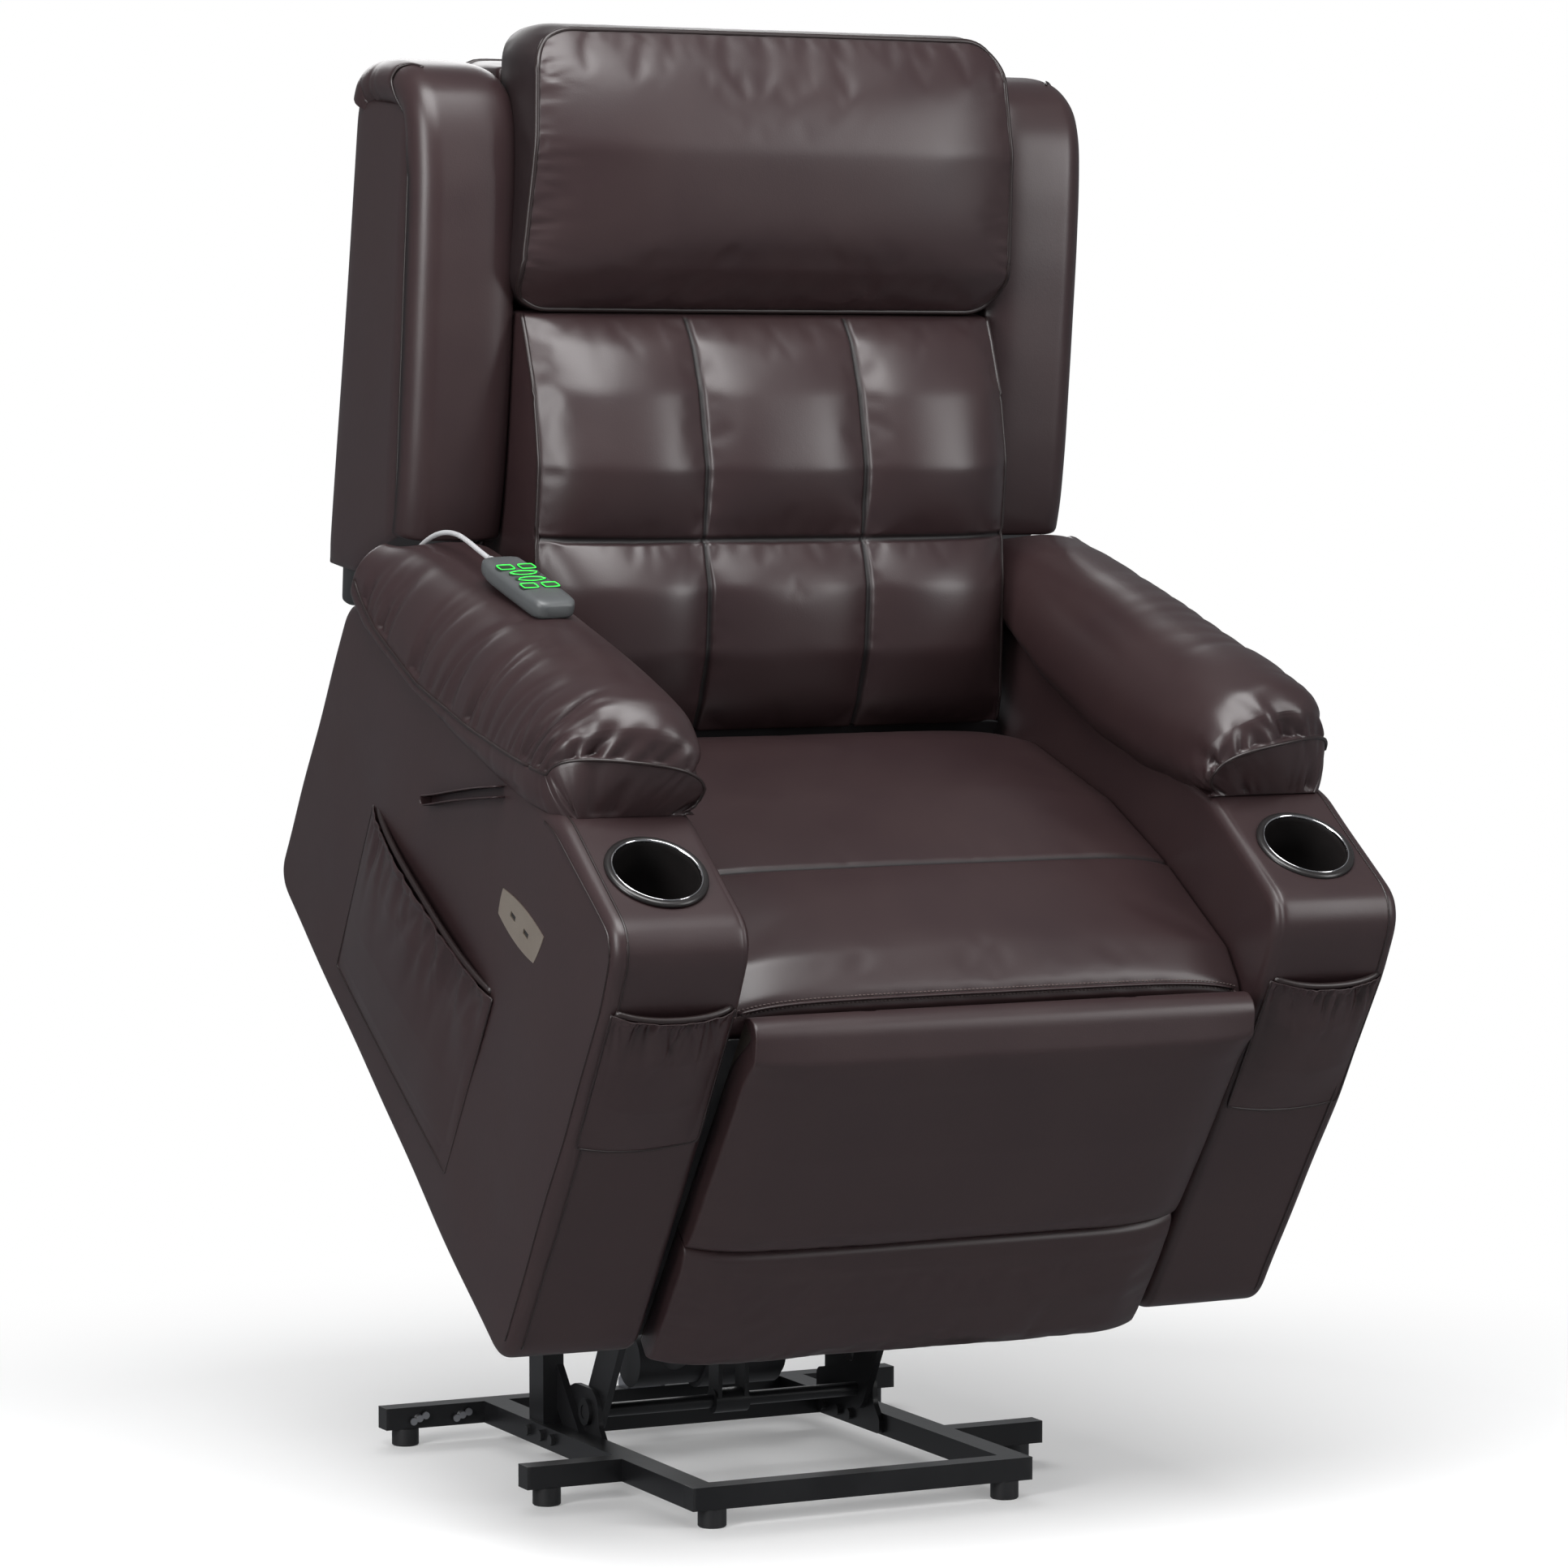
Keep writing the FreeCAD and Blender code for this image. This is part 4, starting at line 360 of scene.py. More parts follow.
def tube(name, body, path, radius, closed=False, sides=8, flat=1.0):
    """Round or flattened tube along a path in metres: rings at the points, in the plane across the path."""
    path = np.asarray(path, float)
    if closed:
        ahead = np.roll(path, -1, 0) - np.roll(path, 1, 0)
    else:
        ahead = np.gradient(path, axis=0)
    ahead /= np.linalg.norm(ahead, axis=1)[:, None]
    side = np.cross(ahead, (0.0, 0.0, 1.0))
    weak = np.linalg.norm(side, axis=1) < 0.2
    side[weak] = np.cross(ahead[weak], (1.0, 0.0, 0.0))
    for i in range(1, len(side)):
        if side[i] @ side[i - 1] < 0:
            side[i] = -side[i]
    side /= np.linalg.norm(side, axis=1)[:, None]
    rise = np.cross(side, ahead)
    turn = np.linspace(0, 2 * math.pi, sides, endpoint=False)
    ring = side[:, None] * np.cos(turn)[None, :, None] + rise[:, None] * np.sin(turn)[None, :, None] * flat
    points = path[:, None] + ring * radius
    rows = len(path)
    faces = grid_faces(rows, sides, ring=True)
    if closed:
        last = np.arange(sides) + (rows - 1) * sides
        first = np.arange(sides)
        faces += np.stack([last, first, np.roll(first, -1), np.roll(last, -1)], -1).tolist()
    else:
        faces += [list(range(sides)), list(range((rows - 1) * sides, rows * sides))]
    made = mesh_object(name, points, faces)
    face_outward(made)
    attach(made, body)
    return made


def stitches(name, body, path, gap, length, radius, sides=6):
    """One mesh of short threads along a path in metres: each is a small spindle in line with the path."""
    centres = evenly(path, gap)
    ahead = np.gradient(centres, axis=0)
    ahead /= np.linalg.norm(ahead, axis=1)[:, None]
    side = np.cross(ahead, (0.0, 0.0, 1.0))
    side /= np.linalg.norm(side, axis=1)[:, None]
    rise = np.cross(side, ahead)
    turn = np.linspace(0, 2 * math.pi, sides, endpoint=False)
    spots = np.array([[-0.5, 0.35], [-0.3, 1.0], [0.3, 1.0], [0.5, 0.35]])
    points = []
    for shift, thick in spots:
        base = centres + ahead * shift * length
        ring = side[:, None] * np.cos(turn)[None, :, None] + rise[:, None] * np.sin(turn)[None, :, None]
        points.append(base[:, None] + ring * radius * thick)
    points = np.stack(points, 1)
    count = len(centres)
    one = np.array(grid_faces(4, sides, ring=True))
    caps = [list(range(sides)), list(range(3 * sides, 4 * sides))]
    faces = []
    for i in range(count):
        faces += (one + i * 4 * sides).tolist()
        faces += [[k + i * 4 * sides for k in cap] for cap in caps]
    made = mesh_object(name, points, faces)
    face_outward(made)
    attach(made, body)
    return made


print("welt and stitch helpers ready")

# %% [markdown]
# Bonded leather is a smooth brown film over a faint pebble grain. It is glossy enough to show soft boxes as
# long pale streaks. One node group makes the pebbles, the slow unevenness of the gloss and the wear, and each
# leather material places it with its own values. Seams and creases get painted shade, a darker colour, from
# the mask that the meshes carry.

# %% Node helpers
def material(name):
    """Empty material with one Principled shader: gives the material, its tree and the shader."""
    made = bpy.data.materials.new(name)
    made.use_nodes = True
    tree = made.node_tree
    tree.nodes.clear()
    out = tree.nodes.new("ShaderNodeOutputMaterial")
    shader = tree.nodes.new("ShaderNodeBsdfPrincipled")
    tree.links.new(shader.outputs[0], out.inputs[0])
    return made, tree, shader


def node(tree, kind, **settings):
    """New node. A setting named as a socket fills that socket, and any other sets a property of the
    node."""
    made = tree.nodes.new(kind)
    for key, value in settings.items():
        if key in made.inputs:
            made.inputs[key].default_value = value
        else:
            setattr(made, key, value)
    return made


def maths(tree, operation, first, second=None, third=None):
    """Maths node whose inputs are numbers or sockets; gives its result."""
    made = tree.nodes.new("ShaderNodeMath")
    made.operation = operation
    for socket, value in zip(made.inputs, (first, second, third)):
        if value is None:
            continue
        if isinstance(value, (int, float)):
            socket.default_value = value
        else:
            tree.links.new(value, socket)
    return made.outputs[0]


def mix_colour(tree, share, first, second):
    """The first colour where share is 0 and the second where it is 1; each is a socket or a value."""
    made = tree.nodes.new("ShaderNodeMix")
    made.data_type = "RGBA"
    for socket, value in ((made.inputs[0], share), (made.inputs[6], first), (made.inputs[7], second)):
        if hasattr(value, "is_linked"):
            tree.links.new(value, socket)
        elif isinstance(value, (int, float)):
            socket.default_value = value
        else:
            socket.default_value = (*value, 1.0)
    return made.outputs[2]


def new_group(name, inputs, outputs):
    """Empty node group with inputs (label, kind, default) and outputs (label, kind)."""
    tree = bpy.data.node_groups.new(name, "ShaderNodeTree")
    for label, kind, default in inputs:
        socket = tree.interface.new_socket(name=label, in_out="INPUT", socket_type=kind)
        if default is not None:
            socket.default_value = default
    for label, kind in outputs:
        tree.interface.new_socket(name=label, in_out="OUTPUT", socket_type=kind)
    return tree, tree.nodes.new("NodeGroupInput"), tree.nodes.new("NodeGroupOutput")


def leather_grain_group():
    """Pebble height, a slow 0..1 unevenness, and fine creases, all from Object coordinates in metres."""
    tree, into, out = new_group(
        "leather_grain",
        [("Pebble", "NodeSocketFloat", 620.0), ("Patch", "NodeSocketFloat", 9.0)],
        [("Height", "NodeSocketFloat"), ("Uneven", "NodeSocketFloat")])
    place = tree.nodes.new("ShaderNodeTexCoord").outputs["Object"]
    pebble = node(tree, "ShaderNodeTexVoronoi", feature="SMOOTH_F1", Smoothness=0.45)
    tree.links.new(place, pebble.inputs["Vector"])
    tree.links.new(into.outputs["Pebble"], pebble.inputs["Scale"])
    crease = node(tree, "ShaderNodeTexNoise", Scale=120.0, Detail=4.0, Roughness=0.6)
    tree.links.new(place, crease.inputs["Vector"])
    patch = node(tree, "ShaderNodeTexNoise", Detail=3.0, Roughness=0.55)
    tree.links.new(place, patch.inputs["Vector"])
    tree.links.new(into.outputs["Patch"], patch.inputs["Scale"])
    creases = maths(tree, "MULTIPLY", crease.outputs[0], 0.8)
    height = maths(tree, "MULTIPLY_ADD", pebble.outputs["Distance"], 0.55, creases)
    tree.links.new(height, out.inputs["Height"])
    tree.links.new(patch.outputs[0], out.inputs["Uneven"])
    return tree


LEATHER_GRAIN = leather_grain_group()
BROWN = (0.022, 0.0122, 0.0138)
BROWN_WARM = (0.029, 0.0152, 0.0155)
# The dark brown of the painted shade in seams and creases.
PAINTED_SHADE_BROWN = (0.004, 0.0025, 0.003)


def leather(name, tone=BROWN, warm=BROWN_WARM, gloss=0.34, bump=0.10, pebble=620.0):
    """Two tones mixed by the slow unevenness, darker and duller where painted_seam_shade is 1 (painted shade
    in seams and creases), with pebbles as bump."""
    made, tree, shader = material(name)
    grain = tree.nodes.new("ShaderNodeGroup")
    grain.node_tree = LEATHER_GRAIN
    grain.inputs["Pebble"].default_value = pebble
    seam = node(tree, "ShaderNodeAttribute", attribute_name="painted_seam_shade")
    body = mix_colour(tree, grain.outputs["Uneven"], tone, warm)
    shaded = mix_colour(tree, seam.outputs["Fac"], body, PAINTED_SHADE_BROWN)
    tree.links.new(shaded, shader.inputs["Base Color"])
    rough = maths(tree, "MULTIPLY_ADD", grain.outputs["Uneven"], 0.14, gloss - 0.05)
    tree.links.new(maths(tree, "MULTIPLY_ADD", seam.outputs["Fac"], 0.2, rough), shader.inputs["Roughness"])
    shader.inputs["Specular IOR Level"].default_value = 0.5
    relief = node(tree, "ShaderNodeBump", Strength=bump, Distance=0.0006)
    tree.links.new(grain.outputs["Height"], relief.inputs["Height"])
    tree.links.new(relief.outputs[0], shader.inputs["Normal"])
    made.diffuse_color = (*tone, 1)
    return made


LEATHER = leather("espresso_leather")
LEATHER_PANEL = leather("espresso_leather_panel", gloss=0.37, bump=0.12)
# The welts are darker than the panels: painted shade of the thin lines along the seams.
WELT_PAINTED_SHADE = leather("welt_leather_painted_shade", tone=(0.013, 0.008, 0.008), warm=(0.017, 0.010, 0.010), gloss=0.34, bump=0.05)
THREAD = leather("brown_thread", tone=(0.06, 0.04, 0.04), warm=(0.07, 0.046, 0.042), gloss=0.5, bump=0.3,
                 pebble=2600.0)
print("leather materials:", LEATHER.name, LEATHER_PANEL.name, WELT_PAINTED_SHADE.name)


def finish_with(made, finish):
    """Gives a piece its one material."""
    made.data.materials.clear()
    made.data.materials.append(finish)
    return made


# %% [markdown]
# The headrest is a loose pillow that hangs over the top of the back. Its front panel has a welt all round
# with rounded corners, it is fullest below the middle, and the leather gathers along the welt, most at the
# left edge.

# %% Headrest pillow
HEAD_HALF = 290.0
HEAD_LOW, HEAD_HIGH = 481.0, 783.0
HEAD_REACH = (HEAD_HIGH - HEAD_LOW) / 2
HEAD_MIDDLE = (HEAD_LOW + HEAD_HIGH) / 2
REAR_PLANE = 121.0


def head_front(a, b):
    """Half width grows from 281 at the top to 299 at the bottom. Depth is the seam's own, less a crown of
    26 (1 - |a|^5)(1 - |b|^3.4)."""
    half = HEAD_HALF - 9 * np.clip(b, -1, 1)
    x, s = rounded(a, b, half, HEAD_REACH, 44.0)
    s = s + HEAD_MIDDLE
    seam = np.interp(b, (-1, -0.7, 0.2, 0.8, 1), (34, 8, 2, 22, 36))
    crown = (1 - np.abs(a) ** 5) * (1 - np.abs(b) ** 3.4)
    return x, seam - 26 * crown, s


def head_back(a, b):
    """Flat rear in the plane where the cushions lie on the back, with rounded corners."""
    x, s = rounded(a, b, 283.0, HEAD_REACH - 3, 34.0)
    return x, np.full_like(x, REAR_PLANE), s + HEAD_MIDDLE


def sine_swell(amount):
    """The boxing bulges by amount * sin(pi t), t running 0..1 from border to border."""
    return lambda t: amount * math.sin(math.pi * t)


EVEN_ROWS = (0.08, 0.2, 0.35, 0.5, 0.65, 0.8, 0.92)
HEAD_A = steps(-1, (-0.93, 5), (0.93, 76), (1, 5))
HEAD_B = steps(-1, (-0.9, 5), (0.9, 40), (1, 5))
headrest = boxed("headrest_pillow_cover", head_front, head_back, HEAD_A, HEAD_B, EVEN_ROWS, sine_swell(5))
place_cushion(headrest, in_back)
free = np.where(headrest["zone"] == 0, 1.0, np.where(headrest["zone"] < 1, 0.6, 0.0))
free[headrest["edge"]] = 0.0
add_cloth(headrest, free, 1.4, 0.003, 4)
print("headrest points", len(headrest["local"]))

# %% [markdown]
# The lumbar cushion is tufted: two upright seams and one level seam pull it in and leave six full cells. The
# seams are rows of the grid that stay held while the cloth fills the cells between them.

# %% Lumbar cushion
LUMBAR_HALF = 284.0
LUMBAR_REACH = 221.0
SEAM_SHARE = 0.34
LUMBAR_SEAM_B = 0.0


def lumbar_front(a, b):
    """Profile through the seam line (m, s) along b; each cell swells by 17 (1 - |p|^3)(1 - |q|^3) of its own
    coordinates p, q, which run -1..1 between its seams."""
    run = np.array((-1, -0.85, -0.6, -0.25, 0.0, 0.35, 0.7, 0.9, 1.0))
    s = np.interp(b, run, (27, 60, 118, 190, 240, 320, 400, 450, 476))
    m = np.interp(b, run, (-52, -66, -80, -78, -60, -58, -32, -6, 18))
    edge = np.interp(b, run, (-42, -46, -42, -36, -30, -30, -8, 18, 34))
    x = a * LUMBAR_HALF
    side = np.clip(np.abs(a), 0, 1) ** 7
    m = m * (1 - side) + edge * side
    cell_a = np.where(np.abs(a) < SEAM_SHARE, a / SEAM_SHARE,
                      (np.abs(a) - (1 + SEAM_SHARE) / 2) / ((1 - SEAM_SHARE) / 2))
    cell_b = np.where(b < LUMBAR_SEAM_B, b * 2 + 1, b * 2 - 1)
    fill = (1 - np.abs(cell_a) ** 3) * (1 - np.abs(cell_b) ** 3)
    return x, m - 17 * fill, s


def lumbar_back(a, b):
    """Flat rear in the same plane as the headrest's."""
    return a * (LUMBAR_HALF - 2), np.full_like(a, REAR_PLANE), np.interp(b, (-1, 1), (119, 474))


LUMBAR_A = steps(-1, (-0.96, 3), (-0.37, 26), (-SEAM_SHARE, 3), (-0.31, 3), (0.31, 26), (SEAM_SHARE, 3),
                 (0.37, 3), (0.96, 26), (1, 3))
LUMBAR_B = steps(-1, (-0.93, 4), (-0.04, 26), (0, 3), (0.04, 3), (0.93, 26), (1, 4))
lumbar = boxed("lumbar_cushion_cover", lumbar_front, lumbar_back, LUMBAR_A, LUMBAR_B,
               (0.06, 0.15, 0.3, 0.5, 0.7, 0.88), sine_swell(3))
place_cushion(lumbar, in_back)
free = np.where(lumbar["zone"] == 0, 1.0, np.where(lumbar["zone"] < 1, 0.2, 0.0))
on_seam = (np.abs(np.abs(lumbar["a"]) - SEAM_SHARE) < 0.004) | (np.abs(lumbar["b"]) < 0.004)
free[on_seam & (lumbar["zone"] == 0)] = 0.0
free[lumbar["edge"]] = 0.0
add_cloth(lumbar, free, 1.8, 0.004, 5)
print("lumbar points", len(lumbar["local"]))

# %% [markdown]
# The seat is one cushion with a cross seam a hand's width behind its front roll. It is broad and calm: its
# leather is stretched from arm to arm, so it gets hardly any gathers.

# %% Seat cushion
SEAT_HALF = 297.0
SEAT_SEAM_B = -0.33


def deck(u):
    """Height of the seat's deck, which falls to the rear."""
    return 341.5 - (u - 45.0) * 0.09244


def seat_top(a, b):
    """Top profile from the stitched front edge over the roll, down to the rear, with a crown across."""
    run = np.array((-1, -0.93, -0.75, SEAT_SEAM_B, 0.2, 0.8, 0.93, 1.0))
    u = np.interp(b, run, (40, 50, 92, 243, 376, 548, 591, 610))
    v = np.interp(b, run, (448, 459, 474, 463, 440, 383, 356, 332))
    side = np.abs(a) ** 8
    front_fill = np.clip(1 - ((b + 0.66) / 0.34) ** 4, 0, 1)
    rear_fill = np.clip(1 - ((b - 0.32) / 0.66) ** 4, 0, 1)
    crown = (1 - np.abs(a) ** 3) * (5 * front_fill + 6 * rear_fill)
    return a * SEAT_HALF, u, v - 15 * side + crown


def seat_under(a, b):
    """Flat underside that lies on the deck."""
    u = np.interp(b, (-1, 1), (46, 611))
    return a * (SEAT_HALF - 3), u, deck(u)


seat = boxed("seat_cushion_cover", seat_top, seat_under, steps(-1, (-0.94, 4), (0.94, 64), (1, 4)),
             steps(-1, (-0.95, 4), (-0.37, 22), (SEAT_SEAM_B, 3), (-0.29, 3), (0.95, 46), (1, 3)),
             (0.05, 0.15, 0.35, 0.6, 0.85), sine_swell(2))
place_cushion(seat, in_chair)
free = np.where(seat["zone"] == 0, 1.0, np.where(seat["zone"] < 1, 0.1, 0.0))
free[(np.abs(seat["b"] - SEAT_SEAM_B) < 0.004) & (seat["zone"] == 0)] = 0.0
free[seat["edge"]] = 0.0
add_cloth(seat, free, 0.8, 0.0005, 3)
print("seat points", len(seat["local"]))

# %% [markdown]
# The footrest is a board with two pads. The large one fills the front of the chair, and the small one below
# it is set off by a deep fold.

# %% Footrest pads
PAD_HALF, BOARD_HALF = 287.0, 283.4
NOSE = np.array((12.0, 440.0))
BOARD_FACE, BOARD_REAR = 17.5, 31.5
FIN_X = 150.0


def nose_arc(radius, high, low, count):
    """Points (u, v) on a circle about the footrest's hinge; 90 degrees is its top and 0 its rear."""
    turn = np.radians(np.linspace(high, low, count))
    return np.c_[NOSE[0] + radius * np.cos(turn), NOSE[1] + radius * np.sin(turn)]


def on_board(*heights):
    """Points (u, v) on the board's face at these heights."""
    return [(BOARD_FACE, height) for height in heights]


UPPER_FRONT = [(-14, 165), (-22, 172), (-26, 190), (-28, 300), (-27, 395), (-26, 412), (-22, 430)]
UPPER_LINE = np.concatenate([UPPER_FRONT, nose_arc(22.0, 135, 22, 9)])
UPPER_BACK = np.concatenate([on_board(165.5, 172, 190, 300, 395), [(8, 416), (-8, 432)],
                             nose_arc(20.3, 135, 22, 9)])
LOWER_LINE = np.array([(-13, 4), (-21, 9), (-25, 26), (-28, 80), (-26, 142), (-20, 158), (-11, 163.5)])
LOWER_BACK = np.array([(BOARD_REAR, 4.4)] + on_board(9, 26, 80, 142, 158, 163))


def pad_maker(name, line, back_line, count):
    """Both lines share one parameter, the outer line's length. The border lies at 0.45 of the way to the
    board, and the board's sides are wrapped to its rear. Round each fin the cover stops at the nose's top."""
    run = np.concatenate([[0], np.cumsum(np.linalg.norm(np.diff(line, axis=0), axis=1))])
    run /= run[-1]

    def at(points, a, b):
        """Point of a line at b; the upper pad is held back in a notch 8 wide to each side of a fin."""
        share = (b + 1) / 2
        if points is UPPER_LINE or points is UPPER_BACK:
            notch = np.clip((8.0 - np.abs(np.abs(a) * PAD_HALF - FIN_X)) / 2.5, 0, 1)
            top = run[-4]
            share = np.where(share > top, top + (share - top) * (1 - notch), share)
        return np.interp(share, run, points[:, 0]), np.interp(share, run, points[:, 1])

    def outer(a, b):
        """The outer line, drawn towards the board by 0.45 |a|^9."""
        (u, v), (far_u, far_v) = at(line, a, b), at(back_line, a, b)
        side = 0.45 * np.abs(a) ** 9
        return a * PAD_HALF, u + (far_u - u) * side, v + (far_v - v) * side

    def inner(a, b):
        """The line on the board; its outermost edge goes on to the board's rear, or to the hinge."""
        u, v = at(back_line, a, b)
        edge = np.clip((np.abs(a) - 0.985) / 0.015, 0, 1)
        flat = (u > BOARD_FACE - 0.1) & (v < 400)
        u = np.where(flat, u + (BOARD_REAR - u) * edge, u + (NOSE[0] - u) * edge)
        v = np.where(flat, v, v + (NOSE[1] - v) * edge)
        return a * BOARD_HALF, u, v

    fin = [(FIN_X + d) / PAD_HALF for d in (-8.0, -5.5, 5.5, 8.0)]
    a_steps = steps(-1, (-0.95, 4), (-fin[3], 16), (-fin[2], 1), (-fin[1], 2), (-fin[0], 1), (fin[0], 40),
                    (fin[1], 1), (fin[2], 2), (fin[3], 1), (0.95, 16), (1, 4))
    return boxed(name, outer, inner, a_steps, steps(-1, (1, count)), (0.1, 0.3, 0.6, 0.9), sine_swell(0.5))


upper_pad = pad_maker("footrest_upper_cover", UPPER_LINE, UPPER_BACK, 60)
lower_pad = pad_maker("footrest_lower_cover", LOWER_LINE, LOWER_BACK, 36)
for pad in (upper_pad, lower_pad):
    place_cushion(pad, in_chair)
    free = np.where((pad["zone"] == 0) & (pad["b"] < 0.45), 1.0, 0.0)
    free[pad["edge"]] = 0.0
    add_cloth(pad, free, 0.8, 0.004, 4)
print("footrest points", len(upper_pad["local"]), len(lower_pad["local"]))

# %% [markdown]
# Each arm carries a pillow. Its top panel rolls over from a low seam on the outside to the seat's side, and a
# boxing band under the seam is deep at the front and runs out to nothing at the rear. The gathers sit close
# together above the outside seam and at the front end.

# %% Arm pillows
PILLOW_OUT = 456.0
BAND_LINE = ((215, 355, 463, 592, 731, 782), (557, 504, 470, 435, 406, 409))
PILLOW_U = (-1, -0.97, -0.85, -0.6, -0.2, 0.3, 0.75, 0.93, 1)
PILLOW_FINE = np.linspace(-1, 1, 201)
PILLOW_REACH = 290.0
PILLOW_ACROSS = 120
SWING_RADIUS = 226


def power(value, exponent):
    """|value|^exponent with the value's own sign."""
    return np.sign(value) * np.abs(value) ** exponent


def eased(a, values):
    """Straight lines between the values at PILLOW_U, whose corners are rounded by a running mean."""
    table = np.interp(PILLOW_FINE, PILLOW_U, values)
    for _ in range(12):
        table[1:-1] = (table[:-2] + 2 * table[1:-1] + table[2:]) / 4
    return np.interp(a, PILLOW_FINE, table)


def pillow_top(side):
    """The top panel of one side, 1 left and -1 right."""
    def shape(a, b):
        """a runs from the front end to the rear, b from the outside seam over the top to the inside. Across,
        the panel is a superellipse: half of it over the arm, then a part that hangs on the inside. The front
        leans back by 44 towards the seat, the rear end bows out by 17, and the rear keeps inside
        SWING_RADIUS of the hinge, where the wing's lower end swings."""
        u_seam = eased(a, (264, 268, 290, 345, 440, 575, 702, 760, 790))
        v_seam = eased(a, (583, 581, 569, 543, 501, 451, 426, 425, 431))
        top = eased(a, (39, 72, 96, 107, 114, 115, 88, 64, 42))
        inside = eased(a, (291, 284, 281, 278, 275, 281, 285, 287, 290))
        hang = eased(a, (34, 46, 62, 66, 56, 40, 22, 14, 6))
        last = np.radians(eased(a, (222, 236, 246, 250, 250, 236, 205, 196, 190)))
        turn = (b + 1) / 2 * last
        middle, half = (PILLOW_OUT + inside) / 2, (PILLOW_OUT - inside) / 2
        narrow = 1 - 0.04 * np.clip(-a, 0, 1) ** 14 - 0.02 * np.clip(a, 0, 1) ** 10
        x = middle + power(np.cos(turn), 0.93) * half * narrow
        inner_rise = np.interp(a, PILLOW_U, (2, 4, 4, 0, 4, 12, 20, 14, 4))
        level = v_seam + np.clip(turn / math.pi, 0, 1) * inner_rise
        v = level + np.where(turn < math.pi, top, hang) * power(np.sin(turn), 0.93)
        lean = 1 - np.clip((x - 300) / 156, 0, 1) ** 2.5
        bow = 1 - ((x - middle) / half) ** 4
        u = u_seam - 44 * lean * np.clip(-a, 0, 1) ** 6 + 17 * bow * np.clip(a, 0, 1) ** 8
        far = np.hypot(u - BACK_HINGE[0], v - BACK_HINGE[1])
        behind = (u - BACK_HINGE[0]) * math.cos(BACK_LEAN) - (v - BACK_HINGE[1]) * math.sin(BACK_LEAN)
        near = np.clip((behind - 10) / 30, 0, 1) * np.clip((425 - x) / 17, 0, 1)
        pull = 1 + near * (np.minimum(1, SWING_RADIUS / np.maximum(far, 1)) - 1)
        u = BACK_HINGE[0] + (u - BACK_HINGE[0]) * pull
        return side * x, u, BACK_HINGE[1] + (v - BACK_HINGE[1]) * pull
    return shape


def pillow_under(side):
    """The bottom panel of one side."""
    def shape(a, b):
        """Underside on the arm's top; its outer edge laps over the arm and hangs down to BAND_LINE."""
        u = np.interp(a, PILLOW_U, (219, 224, 262, 335, 440, 575, 700, 756, 776))
        rest = np.interp(u, (214, 489, 784, 803), (560, 479, 407, 400)) + 0.5
        lap = np.clip((-b - 0.955) / 0.045, 0, 1)
        v = rest + (np.interp(u, *BAND_LINE) - rest) * lap
        outer = np.interp(a, (-1, -0.93, -0.8), (430, 446, 454.4))
        x = np.interp(b, (-1, -0.955, -0.94, 1), (0, 0.4, 5, 156.0))
        return side * np.where(b < -0.93, outer - x, np.minimum(454 - x, outer - 3)), u, v
    return shape


PILLOW_A = steps(-1, (-0.95, 14), (0.94, 84), (1, 5))
PILLOW_B = steps(-1, (-0.94, 4), (0.94, 40), (1, 4))
pillows = []
for side, name in ((1, "left"), (-1, "right")):
    job = boxed("arm_pillow_" + name + "_cover", pillow_top(side), pillow_under(side), PILLOW_A, PILLOW_B,
                (0.1, 0.22, 0.36, 0.5, 0.64, 0.78, 0.9), sine_swell(4))
    place_cushion(job, in_chair)
    free = np.where(job["zone"] == 0, 1.0, np.where(job["zone"] < 1, 0.3, 0.0))
    free *= np.clip((0.9 - job["a"]) / 0.3, 0, 1)
    free[job["edge"]] = 0.0
    add_cloth(job, free, 1.4, 0.008, 4)
    job["side"] = side
    pillows.append(job)
print("pillow points", len(pillows[0]["local"]))

# %% [markdown]
# The back has a wing on each side. A wing is a padded block whose outside is one tall panel, and a roll
# that runs up its front and over its top. The roll stands a little proud of the panel, and between them
# lies a deep seam. The roll follows a path in the side view, and its section across is a flat top with
# rounded shoulders.

# %% Wings
WING_IN, WING_OUT = 288.0, 399.0
ROLL_PATH = np.array([(50, 226), (42, 262), (37, 330), (35, 430), (35, 540), (38, 620), (46, 676), (66, 716),
                      (104, 737), (150, 741), (200, 738), (234, 730), (250, 716), (256, 696)], float)
ROLL_LENGTH = 690.0
SHOULDER = 0.45
WING_A, WING_LOW = (-1, -0.26, 0.2, 1), (234, 201, 173, 173)


def along_path(path, share):
    """Point and outward normal of a polyline at a share 0..1 of its length, with its corners smoothed."""
    fine = smooth_path(evenly(np.c_[path, np.zeros(len(path))], 6.0), times=12)[:, :2]
    run = np.concatenate([[0], np.cumsum(np.linalg.norm(np.diff(fine, axis=0), axis=1))])
    at = share * run[-1]
    point = np.stack([np.interp(at, run, fine[:, k]) for k in (0, 1)], -1)
    slope = np.gradient(fine, axis=0)
    slope /= np.linalg.norm(slope, axis=1)[:, None]
    way = np.stack([np.interp(at, run, slope[:, k]) for k in (0, 1)], -1)
    return point, np.stack([-way[..., 1], way[..., 0]], -1)


